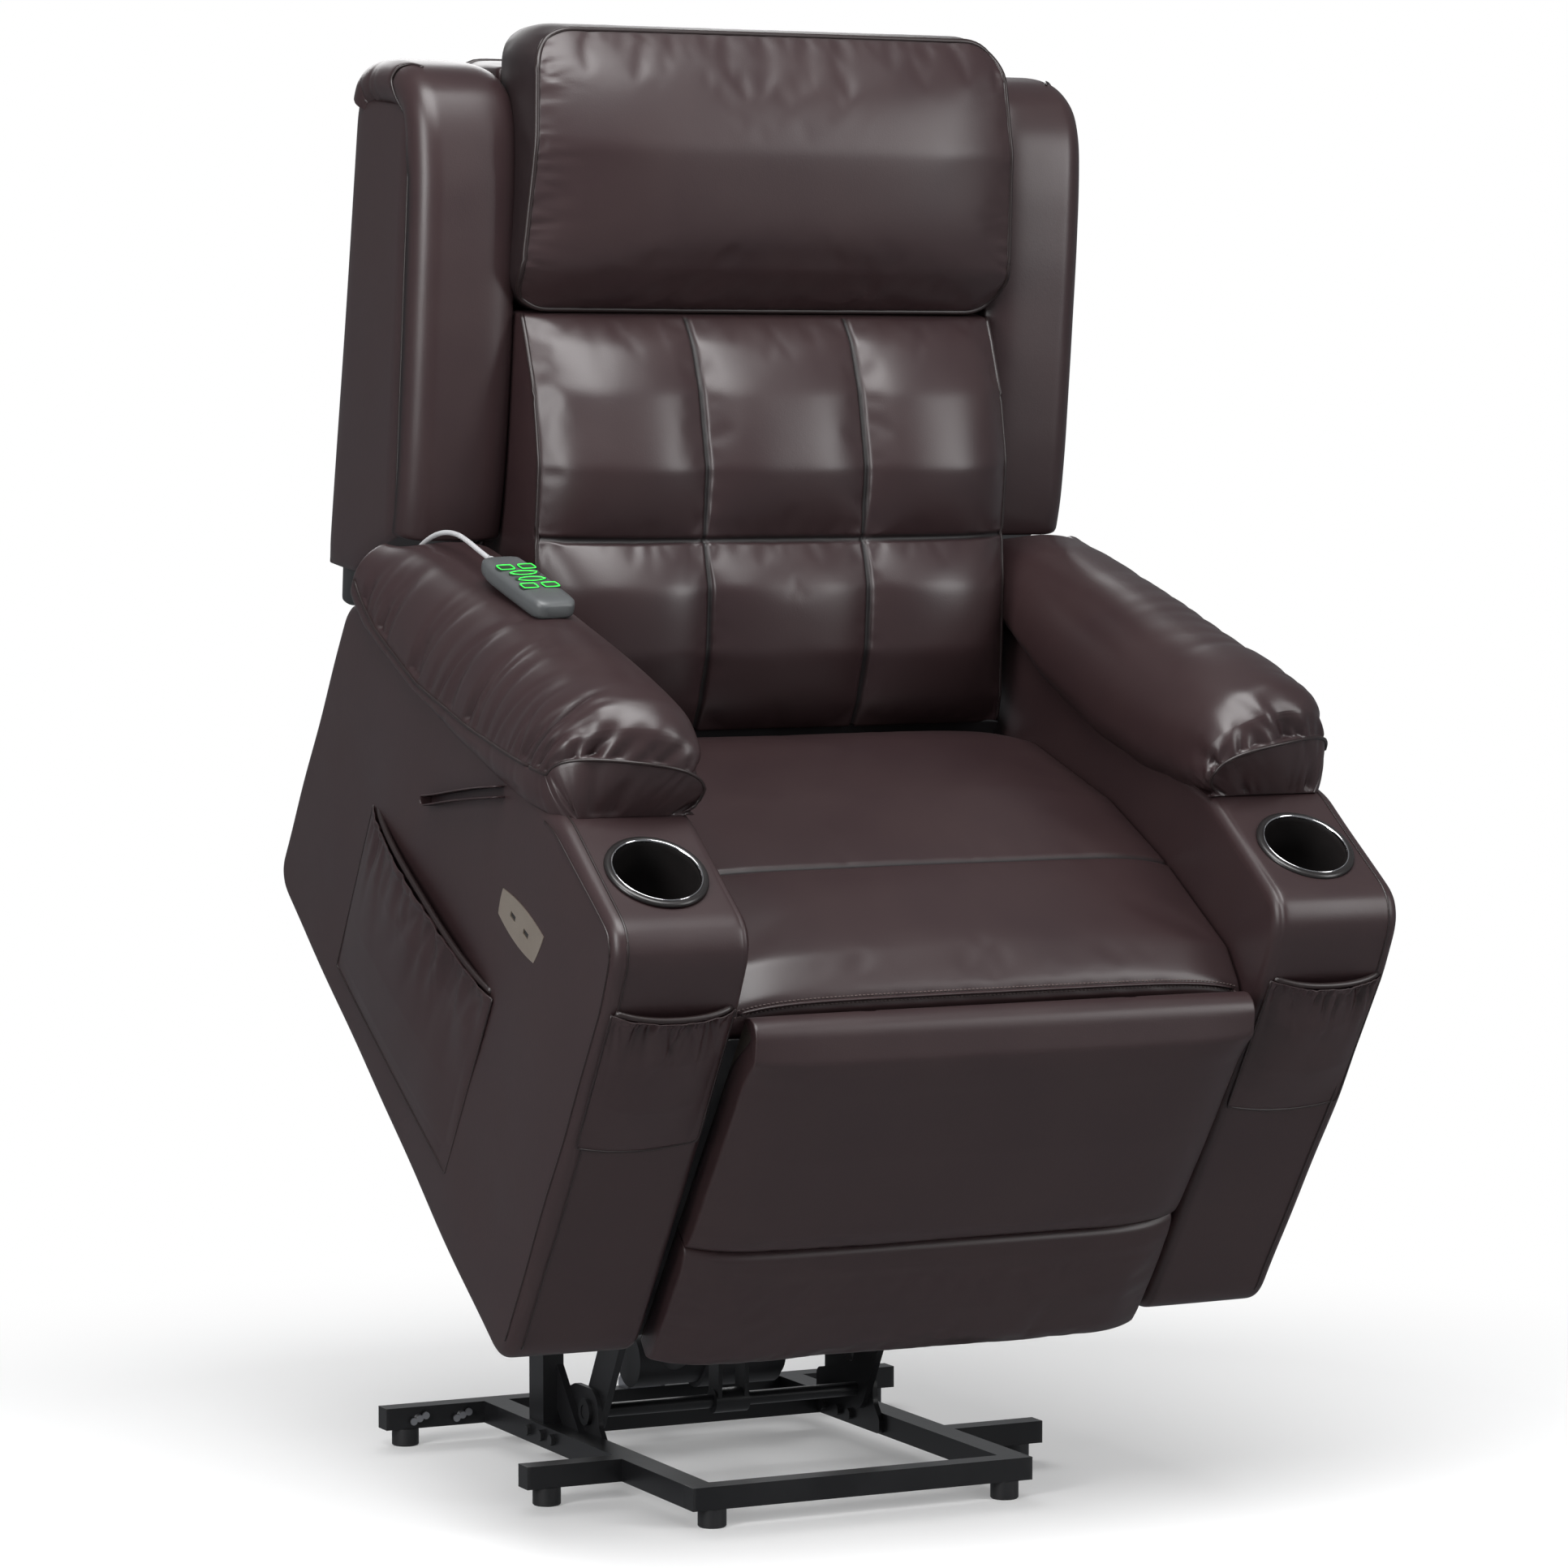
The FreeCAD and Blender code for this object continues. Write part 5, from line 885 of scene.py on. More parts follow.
def roll_outer(side):
    """Outer side of the roll of one wing."""
    def shape(a, b):
        """The inner shoulder falls back by 14 |b|^5. The outer one, from b = SHOULDER, is an arc: a quarter
        turn down the front, and 150 degrees over the top, where the roll overhangs the panel as a bolster."""
        point, normal = along_path(ROLL_PATH, (a + 1) / 2)
        past_shoulder = np.clip((b - SHOULDER) / (1 - SHOULDER), 0, 1)
        turn = np.radians(past_shoulder * np.interp(a, (0.12, 0.36), (90, 150)))
        radius = np.interp(a, (0.12, 0.36), (30, 26))
        fall = radius * (1 - np.cos(turn)) + 14 * np.clip(-b, 0, 1) ** 5
        flat = np.clip((b + 1) / (1 + SHOULDER), 0, 1) * (408 - radius - WING_IN)
        x = WING_IN + flat + radius * np.sin(turn)
        return side * x, point[..., 0] - normal[..., 0] * fall, point[..., 1] - normal[..., 1] * fall
    return shape


def roll_inner(side):
    """The roll's flat inside: its path moved 50 inwards."""
    def shape(a, b):
        point, normal = along_path(ROLL_PATH, (a + 1) / 2)
        deep = 50.0
        x = np.interp(b, (-1, 1), (WING_IN + 1, 380.0)) + 0 * a
        return side * x, point[..., 0] - normal[..., 0] * deep, point[..., 1] - normal[..., 1] * deep
    return shape


def wing_outside(side):
    """Outside panel of one wing."""
    def shape(a, b):
        """a runs from the front to the rear, b from the bottom to the top. The front edge is a quarter
        ellipse 20 deep, and the other edges are rounded by 5."""
        low = np.interp(a, WING_A, WING_LOW)
        s = low + (694 - low) * (b + 1) / 2
        m = 72 + (a + 1) / 2 * (211 - (s - 179) * 0.08)
        front = np.clip((-a - 0.6) / 0.4, 0, 1) * 0.985
        edges = np.abs(np.clip(a, 0, 1)) ** 12 + np.abs(b) ** 40
        return side * (WING_OUT + 4 - 20 * (1 - np.sqrt(1 - front ** 2)) - 5 * np.clip(edges, 0, 1)), m, s
    return shape


def wing_inside(side):
    """The wing's flat inside, 2 within the edges of the outside panel."""
    def shape(a, b):
        low = np.interp(a, WING_A, WING_LOW) + 2
        s = low + (692 - low) * (b + 1) / 2
        return side * np.full_like(s, WING_IN + 0.5), 74 + (a + 1) / 2 * (207 - (s - 179) * 0.08), s
    return shape


wings = []
for side, name in ((1, "left"), (-1, "right")):
    roll = boxed("wing_roll_" + name, roll_outer(side), roll_inner(side), steps(-1, (0.1, 52), (1, 66)),
                 steps(-1, (-0.8, 4), (SHOULDER, 14), (1, 18)), (0.12, 0.3, 0.6, 0.9), sine_swell(1))
    place_cushion(roll, in_back)
    block = boxed("wing_panel_" + name, wing_outside(side), wing_inside(side),
                  steps(-1, (-0.9, 6), (-0.55, 12), (0.9, 16), (1, 4)),
                  steps(-1, (-0.97, 4), (0.97, 56), (1, 4)), (0.04, 0.1, 0.25, 0.6, 0.95), sine_swell(1))
    place_cushion(block, in_back)
    wings.append({"side": side, "name": name, "roll": roll, "block": block})
print("wing points", len(wings[0]["roll"]["local"]), len(wings[0]["block"]["local"]))

# %% [markdown]
# From behind, the back is one padded cover with a welt round it.

# %% Back cover
def cover_rear(a, b):
    """Rounded rectangle at the depth 243 with a crown of 11 (1 - a^4)(1 - b^4)."""
    x, s = rounded(a, b, 282.0, 279.0, 26.0)
    s = s + 458.0
    crown = (1 - np.abs(a) ** 4) * (1 - np.abs(b) ** 4)
    return x, 243 + 11 * crown, s


def cover_front(a, b):
    """Flat front, close behind the plane of the cushions."""
    s = 66.0 + (736 - 66.0) * (b + 1) / 2
    return a * 284, np.full_like(s, 123.5), s


COVER_STEPS = steps(-1, (-0.94, 3), (0.94, 44), (1, 3))
cover = boxed("back_cover_leather", cover_rear, cover_front, COVER_STEPS, COVER_STEPS,
              (0.04, 0.1, 0.3, 0.6, 0.9), sine_swell(3))
place_cushion(cover, in_back)
free = np.where(cover["zone"] == 0, 1.0, 0.0)
free[cover["edge"]] = 0.0
add_cloth(cover, free, 1.0, 0.006, 5)
print("back cover points", len(cover["local"]))

# %% [markdown]
# A few black parts close the gaps where the chair's shaded inside would show: their black is painted shade.
# They are a padded flap that hangs from the back behind the seat, a strip on each side of the footrest board,
# and a block under each wing.

# %% Flaps and guards
def padded_strip(name, place, x_low, x_high, start, end, thick, full=1.5):
    """Padded plate from start to end (in the side view) and from x_low to x_high; full is its crown."""
    start, end = np.array(start, float), np.array(end, float)
    way = (end - start) / np.linalg.norm(end - start)
    across = np.array((-way[1], way[0])) * thick / 2
    middle, half = (start + end) / 2, float(np.linalg.norm(end - start)) / 2

    def face(sign):
        """One side of the plate: 1 above and -1 below its middle."""
        def shape(a, b):
            """Rounded rectangle with a crown of full / 2 (1 - a^4)(1 - b^4)."""
            p, q = rounded(a, b, (x_high - x_low) / 2, half, 5.0)
            rise = sign * (1 + full / thick * (1 - a ** 4) * (1 - b ** 4))
            return ((x_low + x_high) / 2 + p, middle[0] + way[0] * q + across[0] * rise,
                    middle[1] + way[1] * q + across[1] * rise)
        return shape

    along = steps(-1, (-0.9, 2), (0.9, 14), (1, 2))
    job = boxed(name, face(1), face(-1), along, along, (0.2, 0.5, 0.8), sine_swell(min(thick / 3, 3)))
    return place_cushion(job, place)


strips = [(padded_strip("back_flap", in_back, -284, 284, (-46, 30), (-24, -12), 3), "back")]
for side, name in ((1, "left"), (-1, "right")):
    edges = sorted((side * 275.0, side * 297.0))
    gap_shade_strip = padded_strip("footrest_gap_shade_strip_" + name, in_chair, *edges, (33.4, 10), (33.4, 420), 2.4, full=0.2)
    strips.append((gap_shade_strip, "footrest"))
    edges = sorted((side * 302.0, side * 396.0))
    gap_shade_block = padded_strip("wing_gap_shade_block_" + name, in_back, *edges, (232, 184), (232, 134), 36)
    strips.append((gap_shade_block, "back"))
print("strips", len(strips))

# %% [markdown]
# All cloths are stepped together, because Blender works on several objects at once, and each result is capped
# so that a cushion stays in the room that its CAD solid has.

# %% Run the cloth
soft = [headrest, lumbar, seat, upper_pad, lower_pad, cover] + pillows
run_cloth(soft)
firm = [wing["roll"] for wing in wings] + [wing["block"] for wing in wings] + [job for job, body in strips]
for job in soft + firm:
    refine(job)
print("refined", len(soft), "soft and", len(firm), "firm pieces")

# %% [markdown]
# After the cloth come the small things: grooves along the sewn seams, gathers that start on them, and a slow
# unevenness. They move the finer points along their normals.

# %% Creases of the headrest and the lumbar cushion
def groove(distance, width, depth):
    """Narrow V along a seam: -depth * exp(-(distance / width)^2)."""
    return -depth * np.exp(-(distance / width) ** 2)


def on_front(job):
    """1 on the front panel and 0 on the boxing and the back panel."""
    return (job["fine"]["zone"] < 0.001).astype(float)


def head_creases(job):
    """Gathers along the four sides, closest at the left, and painted shade in a dark line beside the welt."""
    a, b = job["fine"]["a"], job["fine"]["b"]
    x, s = a * HEAD_HALF, b * HEAD_REACH
    left, right = (a + 1) * HEAD_HALF, (1 - a) * HEAD_HALF
    up, down = (1 - b) * HEAD_REACH, (b + 1) * HEAD_REACH
    height = gathers(s, left, -130, 130, 40, 11, depth=1.1, reach=30, width=2.2, slant=0.2)
    height += gathers(s, right, -130, 130, 14, 12, depth=0.8, reach=30, width=3.4, slant=0.3)
    height += gathers(x, up, -270, 270, 16, 13, depth=0.4, reach=30, width=5.0, slant=0.25)
    height += gathers(x, down, -270, 270, 10, 15, depth=0.5, reach=22, width=5.0, slant=0.6)
    edge = np.minimum(np.minimum(left, right), np.minimum(up, down))
    return (height + drift(job["points"] / MM, 3, 300, 0.45)) * on_front(job), np.exp(-(edge / 3.0) ** 2)


height, dark = head_creases(headrest)
# dark is painted shade beside the welt.
head_piece = push(headrest, height, dark * 0.6)


def lumbar_creases(job):
    """A groove along each seam, gathers on both sides of it, and painted shade along the seam."""
    a, b = job["fine"]["a"], job["fine"]["b"]
    x = a * LUMBAR_HALF
    s = b * LUMBAR_REACH
    upright = np.abs(np.abs(a) - SEAM_SHARE) * LUMBAR_HALF
    level = np.abs(b) * LUMBAR_REACH
    height = groove(upright, 3.2, 3.4) + groove(level, 3.0, 3.2)
    left_seam, right_seam = np.abs(a + SEAM_SHARE) * LUMBAR_HALF, np.abs(a - SEAM_SHARE) * LUMBAR_HALF
    seam_sides = ((left_seam, a < -SEAM_SHARE), (right_seam, a > SEAM_SHARE),
                  (left_seam, a > -SEAM_SHARE), (right_seam, a < SEAM_SHARE))
    for seed, (away, side) in enumerate(seam_sides, 21):
        height += gathers(s, away, -200, 210, 7, seed, depth=0.6, reach=30, width=7.0, slant=0.5) * side
    lower, higher = (b < 0).astype(float), (b > 0).astype(float)
    height += gathers(x, level, -280, 280, 14, 31, depth=0.8, reach=30, width=6.5, slant=0.55) * lower
    height += gathers(x, level, -280, 280, 8, 32, depth=0.7, reach=28, width=6.0, slant=0.5) * higher
    height += gathers(x, (1 - b) * LUMBAR_REACH, -280, 280, 14, 33, depth=0.6, reach=40, width=5.0, slant=0.2)
    height += gathers(s, (1 - np.abs(a)) * LUMBAR_HALF, -210, 210, 12, 34, depth=0.6, reach=30, width=5.0)
    height = (height + drift(job["points"] / MM, 5, 220, 0.6)) * on_front(job)
    return height, np.exp(-(np.minimum(upright, level) / 2.6) ** 2) * on_front(job)


height, dark = lumbar_creases(lumbar)
# dark is painted shade along the lumbar seams.
lumbar_piece = push(lumbar, height, dark)

# %% [markdown]
# The seat has one cross seam and a long calm surface. The footrest's pads crease a little at the fold between
# them, and the wings only at the end of the roll.

# %% Creases of the seat, the footrest and the wings
a, b = seat["fine"]["a"], seat["fine"]["b"]
cross = np.abs(b - SEAT_SEAM_B) * 300.0
height = groove(cross, 3.4, 3.0)
height += gathers(a * SEAT_HALF, cross, -285, 285, 8, 41, depth=0.5, reach=40, width=9.0, slant=0.4)
height += gathers(b * 280, (1 - np.abs(a)) * SEAT_HALF, -270, 260, 7, 42, depth=0.5, reach=30, width=8.0,
                  slant=0.5)
# The mask gives the cross seam painted shade.
seat_piece = push(seat, (height + drift(seat["points"] / MM, 7, 320, 0.6)) * on_front(seat),
                  np.exp(-(cross / 2.8) ** 2) * on_front(seat))
pad_pieces = []
for pad, seed in ((upper_pad, 51), (lower_pad, 52)):
    a, b = pad["fine"]["a"], pad["fine"]["b"]
    x = a * PAD_HALF
    near_fold = (b + 1) * 160.0 if pad is upper_pad else (1 - b) * 79.0
    height = gathers(x, near_fold, -280, 280, 14, seed, depth=0.7, reach=22, width=7.0, slant=0.6)
    height += drift(pad["points"] / MM, seed, 240, 0.8)
    pad_pieces.append(push(pad, height * on_front(pad) * np.clip((0.5 - b) / 0.2, 0, 1)))
wing_pieces = []
# The hooked seam over the roll: its a at each b.
HOOK = (0.42, 0.5, 0.6, 0.75, 0.9, 0.97, 1.0), (0.50, 0.56, 0.585, 0.58, 0.50, 0.40, 0.31)
for wing in wings:
    roll, block = wing["roll"], wing["block"]
    a, b = roll["fine"]["a"], roll["fine"]["b"]
    run = (a + 1) / 2 * ROLL_LENGTH
    hook_a = np.interp(b, *HOOK)
    hook = np.exp(-((a - hook_a) * (ROLL_LENGTH / 2) / 4.6) ** 2) * np.clip((b - 0.42) / 0.2, 0, 1)
    under = (1 - b) * 70.0
    height = gathers(run, under, 560, 650, 7, 61, depth=1.6, reach=24, width=5.0, slant=0.4) - 2.5 * hook
    # Painted shade on the roll's edge beside the panel, and in the hooked seam's groove.
    painted_shade_by_panel = np.exp(-((1 - b) * 85.0 / 7.0) ** 2) * (a < 0.3)
    wing_pieces.append(push(roll, (height + drift(roll["points"] / MM, 63, 320, 0.7)) * on_front(roll),
                            np.maximum(hook * on_front(roll), painted_shade_by_panel)))
    a, b = block["fine"]["a"], block["fine"]["b"]
    # Painted shade on the panel's front edge, where the roll hides the seam's valley.
    wing_pieces.append(push(block, drift(block["points"] / MM, 67, 320, 0.7) * on_front(block),
                            np.exp(-((a + 1) * 100.0 / 16.0) ** 4)))
a, b = cover["fine"]["a"], cover["fine"]["b"]
cover_piece = push(cover, drift(cover["points"] / MM, 71, 180, 1.0) * on_front(cover))
strip_pieces = [(push(job, drift(job["points"] / MM, 73, 120, 0.3)), body) for job, body in strips]
print("creased seat, cover,", len(pad_pieces), "pads,", len(wing_pieces), "wing pieces")

# %% [markdown]
# The pillows have the strongest gathers: short and close above the outside seam, longer at the front end, and
# one upright fold where the leather turns the front-outer corner.

# %% Creases of the arm pillows
pillow_pieces = []
for job in pillows:
    a, b = job["fine"]["a"], job["fine"]["b"]
    run, across = a * PILLOW_REACH, b * PILLOW_ACROSS
    out_edge, in_edge = (b + 1) * 105.0, (1 - b) * 150.0
    front_edge = np.interp(a, (-1, -0.97, -0.85, -0.6, 1), (0, 32, 80, 160, 600))
    seed = 80 if job["side"] > 0 else 90
    height = gathers(run, out_edge, -285, 285, 46, seed, depth=3.4, reach=50, width=3.8, slant=0.3)
    height += gathers(across, front_edge, -110, 70, 12, seed + 1, depth=6.5, reach=85, width=5.0, slant=0.2)
    height += gathers(across, front_edge, -110, 80, 14, seed + 6, depth=2.0, reach=30, width=3.4, slant=0.3)
    height += gathers(run, in_edge, -285, 120, 12, seed + 2, depth=1.6, reach=50, width=7.0, slant=0.4)
    rear_edge = (1 - a) * PILLOW_REACH
    height += gathers(across, rear_edge, -110, 110, 10, seed + 3, depth=0.9, reach=26, width=4.6, slant=0.3)
    crumple = np.exp(-(front_edge / 60) ** 2) * np.exp(-((b - 0.55) / 0.28) ** 2)
    height += crumple * 1.6 * np.sin(front_edge / 5.5 + b * 9) * np.sin(b * 21 + front_edge / 13)
    fold = np.exp(-((run + 236 - 0.25 * out_edge) / 4.0) ** 2) * np.exp(-(out_edge / 52) ** 4)
    boxing = 1 - on_front(job)
    zone = job["fine"]["zone"]
    up = 1 - zone
    low_gathers = gathers(run, 30 * up, -285, 285, 26, seed + 4, depth=0.7, reach=26, width=4.5, slant=0.6)
    front_band = gathers(b * 85, 45 * up, -82, 82, 15, seed + 8, depth=2.6, reach=46, width=3.4, slant=0.25)
    front_band += gathers(b * 85, 45 * zone, -82, 82, 12, seed + 9, depth=1.6, reach=30, width=2.8,
                          slant=0.25)
    low_gathers = np.where(a < -0.985, front_band, low_gathers)
    total = (height - 4.5 * fold + drift(job["points"] / MM, seed + 5, 200, 1.0)) * on_front(job)
    total += low_gathers * boxing * (zone < 0.95)
    # The upright fold also gets painted shade.
    pillow_pieces.append(push(job, total, fold * 0.6 * on_front(job)))
print("creased pieces:", len(pillow_pieces) + len(wing_pieces) + 5)

# %% [markdown]
# An arm is a wooden box in leather: broad sides, a front, a top and narrow rounded edges. Its side outline
# comes from the chair's side view. The cup holder's hole and the socket's recess are cut out of the
# finished skin.

# %% Arms
ARM_IN, ARM_OUT = 300.0, 450.0
ARM_ROUND = 13.0
ARM_TOP = ((0, 32, 214, 489, 784, 803), (556, 560, 560, 479, 407, 380))
ARM_FRONT = ((0, 308, 474, 560), (0, 8, 18, 32))
ARM_BACK = ((0, 380, 407, 560), (799, 803, 784, 760))


def arm_side(side, x_side, inset, crown):
    """One broad side of an arm."""
    def shape(a, b):
        """The outline as a bent rectangle: u between front and rear at height v, v between 0 and the top
        at u; four rounds settle both. inset draws it in, and crown fills the middle."""
        half_u, half_v = 400.0, 250.0
        p, q = rounded(a, b, half_u, half_v, 26.0)
        p, q = p / half_u, q / half_v
        v = (q + 1) * 230.0
        for _ in range(4):
            u_low = np.interp(v, *ARM_FRONT) + inset
            u_high = np.interp(v, *ARM_BACK) - inset
            u = u_low + (u_high - u_low) * (p + 1) / 2
            v = inset + (np.interp(u, *ARM_TOP) - 2 * inset) * (q + 1) / 2
        fill = (1 - np.abs(a) ** 6) * (1 - np.abs(b) ** 6)
        return side * (x_side + crown * fill), u, v
    return shape


def arm_swell(t):
    """Quarter rounds of ARM_ROUND at both edges of the band."""
    span = min(t, 1 - t) * (ARM_OUT - ARM_IN)
    if span >= ARM_ROUND:
        return ARM_ROUND
    return math.sqrt(ARM_ROUND ** 2 - (ARM_ROUND - span) ** 2)


edge_rows = [d / (ARM_OUT - ARM_IN) for d in (0.6, 2.0, 4.2, 7.2, 10.5, 14.0, 22.0)]
ARM_ROWS = edge_rows + list(np.linspace(0.22, 0.78, 11)) + [1 - d for d in reversed(edge_rows)]


def cut_from(made, cutters):
    """Boolean difference with the exact solver, applied at once; the cutters go."""
    for cutter in cutters:
        cut = made.modifiers.new("cut", "BOOLEAN")
        cut.operation = "DIFFERENCE"
        cut.solver = "EXACT"
        cut.object = cutter
    graph = bpy.context.evaluated_depsgraph_get()
    done = bpy.data.meshes.new_from_object(made.evaluated_get(graph), preserve_all_data_layers=True,
                                           depsgraph=graph)
    made.modifiers.clear()
    made.data = done
    done.shade_smooth()
    for cutter in cutters:
        bpy.data.objects.remove(cutter)


def turned_part(name, profile, centre, side, sides=72):
    """Surface of revolution about an upright axis of the chair frame: profile is (radius, height) pairs."""
    turn = np.linspace(0, 2 * math.pi, sides, endpoint=False)
    rows = []
    for radius, height in profile:
        x, u = side * centre[0] + radius * np.cos(turn), centre[1] + radius * np.sin(turn)
        rows.append(in_chair(x, u, height))
    points = np.stack(rows)
    faces = grid_faces(len(profile), sides, ring=True)
    if profile[0] != profile[-1]:
        faces += [list(range(sides)), list(range((len(profile) - 1) * sides, len(profile) * sides))]
    made = mesh_object(name, points, faces)
    return face_outward(made)


CUP = (374.0, 131.0)
SOCKET_CENTRE = (226, 415.5)
SOCKET_LEAN = math.radians(-11)


def in_socket(p, q):
    """Turns (p, q) by the socket's lean about its centre on the arm's side, and gives (u, v)."""
    u = SOCKET_CENTRE[0] + p * math.cos(SOCKET_LEAN) - q * math.sin(SOCKET_LEAN)
    return u, SOCKET_CENTRE[1] + p * math.sin(SOCKET_LEAN) + q * math.cos(SOCKET_LEAN)


arm_pieces = []
arm_jobs = []
for side, name in ((1, "left"), (-1, "right")):
    job = boxed("arm_" + name + "_cover", arm_side(side, ARM_OUT, ARM_ROUND, 2.5),
                arm_side(side, ARM_IN, ARM_ROUND, 0.0), steps(-1, (-0.97, 4), (0.97, 66), (1, 4)),
                steps(-1, (-0.96, 4), (0.96, 48), (1, 4)), ARM_ROWS, arm_swell)
    place_cushion(job, in_chair)
    refine(job)
    made = push(job, drift(job["points"] / MM, 101, 240, 1.1) * (job["fine"]["zone"] < 0.95))
    arm_jobs.append(job)
    cutters = [turned_part("cutter", [(46.9, 483.0), (46.9, 590.0)], CUP, side, 64)]
    if side < 0:
        corners = [(-x, *in_socket(p, q)) for x in (436.0, 470.0)
                   for p, q in ((-32, -9), (32, -9), (32, 9), (-32, 9))]
        recess = in_chair(*np.array(corners).T)
        block = mesh_object("cutter_socket", recess, [[0, 1, 2, 3], [7, 6, 5, 4], [0, 4, 5, 1],
                                                      [1, 5, 6, 2], [2, 6, 7, 3], [3, 7, 4, 0]])
        face_outward(block)
        cutters.append(block)
    cut_from(made, cutters)
    arm_pieces.append(made)
print("arm points", len(arm_pieces[0].data.vertices))

# %% [markdown]
# The pockets are single sheets of leather, sewn down on three sides. Elastic in the mouth gathers the front
# ones; the magazine pocket on the right arm has a hem and long soft folds. A sheet gets its thickness by
# Solidify.

# %% Pockets
POCKET_HALF = 67.0
SHEET_THICKNESS = 0.0016


def sheet_object(name, points):
    """Open sheet with a wall by Solidify, one level finer."""
    rows, columns = points.shape[:2]
    made = mesh_object(name, points, grid_faces(rows, columns))
    wall = made.modifiers.new("wall", "SOLIDIFY")
    wall.thickness = SHEET_THICKNESS
    wall.offset = 1
    fine = made.modifiers.new("fine", "SUBSURF")
    fine.levels = 1
    fine.render_levels = 1
    return made


def arm_pocket(side, seed):
    """Rows from the bottom seam to the mouth; the bulge is (1 - x^2)^0.8 of a depth that grows upwards."""
    x, t = np.meshgrid(np.linspace(-1, 1, 90), np.linspace(0, 1, 60), indexing="xy")
    low = 309 - 8 * (1 - x ** 2)
    high = 476 - 4 * (1 - x ** 2)
    v = low + (high - low) * t
    depth = np.interp(t, (0, 0.12, 0.35, 0.7, 0.93, 1), (1.5, 6, 15, 20, 15, 14.5))
    bulge = depth * (1 - np.abs(x) ** 2.4) ** 0.8
    away = (1 - t) * 168
    ruffle = gathers(x * POCKET_HALF, away, -66, 66, 32, seed, depth=4.4, reach=34, width=2.3, slant=0.22)
    ruffle += gathers(x * POCKET_HALF, away, -60, 60, 6, seed + 1, depth=5.0, reach=110, width=9.0,
                      slant=0.35)
    channel = 0.7 * np.sin(x * POCKET_HALF * 2 * math.pi / 4.2) * np.exp(-((away - 5) / 5) ** 2)
    band = 2.4 * np.exp(-((away - 4) / 4.5) ** 4)
    side_fade = np.clip((1 - np.abs(x)) * 8, 0, 1)
    out = 0.6 + bulge + (ruffle + channel + band) * side_fade
    u = np.interp(v, *ARM_FRONT) - out
    return in_chair(side * 375.0 + x * POCKET_HALF, u, v)


pocket_pieces = []
pocket_points = {}
for side, name, seed in ((1, "left", 111), (-1, "right", 121)):
    pocket_points[name] = arm_pocket(side, seed)
    pocket_pieces.append(sheet_object("arm_pocket_" + name + "_leather", pocket_points[name]))


def side_pocket():
    """Blend of the four corners (u, v), bulging from the arm's side, with folds that fall from the mouth."""
    corner = np.array([[(591, 47), (228, 71)], [(607, 262), (237, 307)]], float)
    s, t = np.meshgrid(np.linspace(0, 1, 120), np.linspace(0, 1, 80), indexing="xy")
    low = corner[0, 0] + (corner[0, 1] - corner[0, 0]) * s[..., None]
    high = corner[1, 0] + (corner[1, 1] - corner[1, 0]) * s[..., None]
    place = low + (high - low) * t[..., None]
    across = s * 2 - 1
    depth = np.interp(t, (0, 0.1, 0.4, 0.75, 0.96, 1), (1.0, 6, 15, 19, 16, 16))
    bulge = depth * (1 - np.abs(across) ** 3) ** 0.8
    away = (1 - t) * 225
    run = s * 370
    folds = gathers(run, away, 10, 360, 34, 131, depth=4.4, reach=60, width=3.6, slant=0.25)
    folds += gathers(run, away, 30, 340, 9, 132, depth=6.5, reach=160, width=11.0, slant=0.35)
    fade = np.clip((1 - np.abs(across)) * 10, 0, 1) * np.clip(t * 12, 0, 1)
    hem = 2.6 * np.exp(-((away - 5) / 5.5) ** 4)
    x = -(ARM_OUT + 2.6 + bulge + (folds + hem) * fade)
    return in_chair(x, place[..., 0], place[..., 1])


side_points = side_pocket()
side_pocket_piece = sheet_object("side_pocket_leather", side_points)
pocket_seams_and_mouth_shades = []
for name, points in [("arm_pocket_seam_left", pocket_points["left"]),
                     ("arm_pocket_seam_right", pocket_points["right"]), ("side_pocket_seam", side_points)]:
    line = np.concatenate([points[::-1, 0], points[0, 1:], points[1:, -1]])
    pocket_seams_and_mouth_shades.append(tube(name, "chair", evenly(line, 0.006), 0.0013))
# A dark tube lies just inside each mouth: painted shade of the pocket's open inside.
REARWARD = np.array((0.0, math.cos(LIFT_TILT), math.sin(LIFT_TILT)))
UPWARD = np.array((0.0, -math.sin(LIFT_TILT), math.cos(LIFT_TILT)))
for name, points, inward in [("arm_pocket_tape_left", pocket_points["left"], REARWARD * 0.006),
                             ("arm_pocket_tape_right", pocket_points["right"], REARWARD * 0.006),
                             ("side_pocket_tape", side_points, np.array((0.007, 0.0, 0.0)))]:
    line = points[-1, 3:-3] + inward + UPWARD * 0.0015
    pocket_seams_and_mouth_shades.append(tube(name, "chair", evenly(smooth_path(line, times=8), 0.005), 0.0036))


def port_face(x, middle):
    """Rounded rectangle 12.6 x 5.6 that leans with the socket."""
    def shape(a, b):
        """Corners of radius 1; middle shifts the port along the socket."""
        p, q = rounded(a, b, 6.3, 2.8, 1.0)
        return (np.full_like(p, x), *in_socket(middle + p, q))
    return shape


ports = []
for number, middle in enumerate((-18.0, 18.0)):
    job = boxed("usb_port_" + str(number + 1), port_face(-451.8, middle), port_face(-446.0, middle),
                steps(-1, (1, 6)), steps(-1, (1, 4)), (0.3, 0.6), sine_swell(0.0))
    ports.append(place_cushion(job, in_chair)["object"])
print("pocket sheets:", len(pocket_pieces) + 1, "ports", len(ports))

# %% [markdown]
# The strap is a tape of folded leather, sewn in under the pillow and turned back on itself.

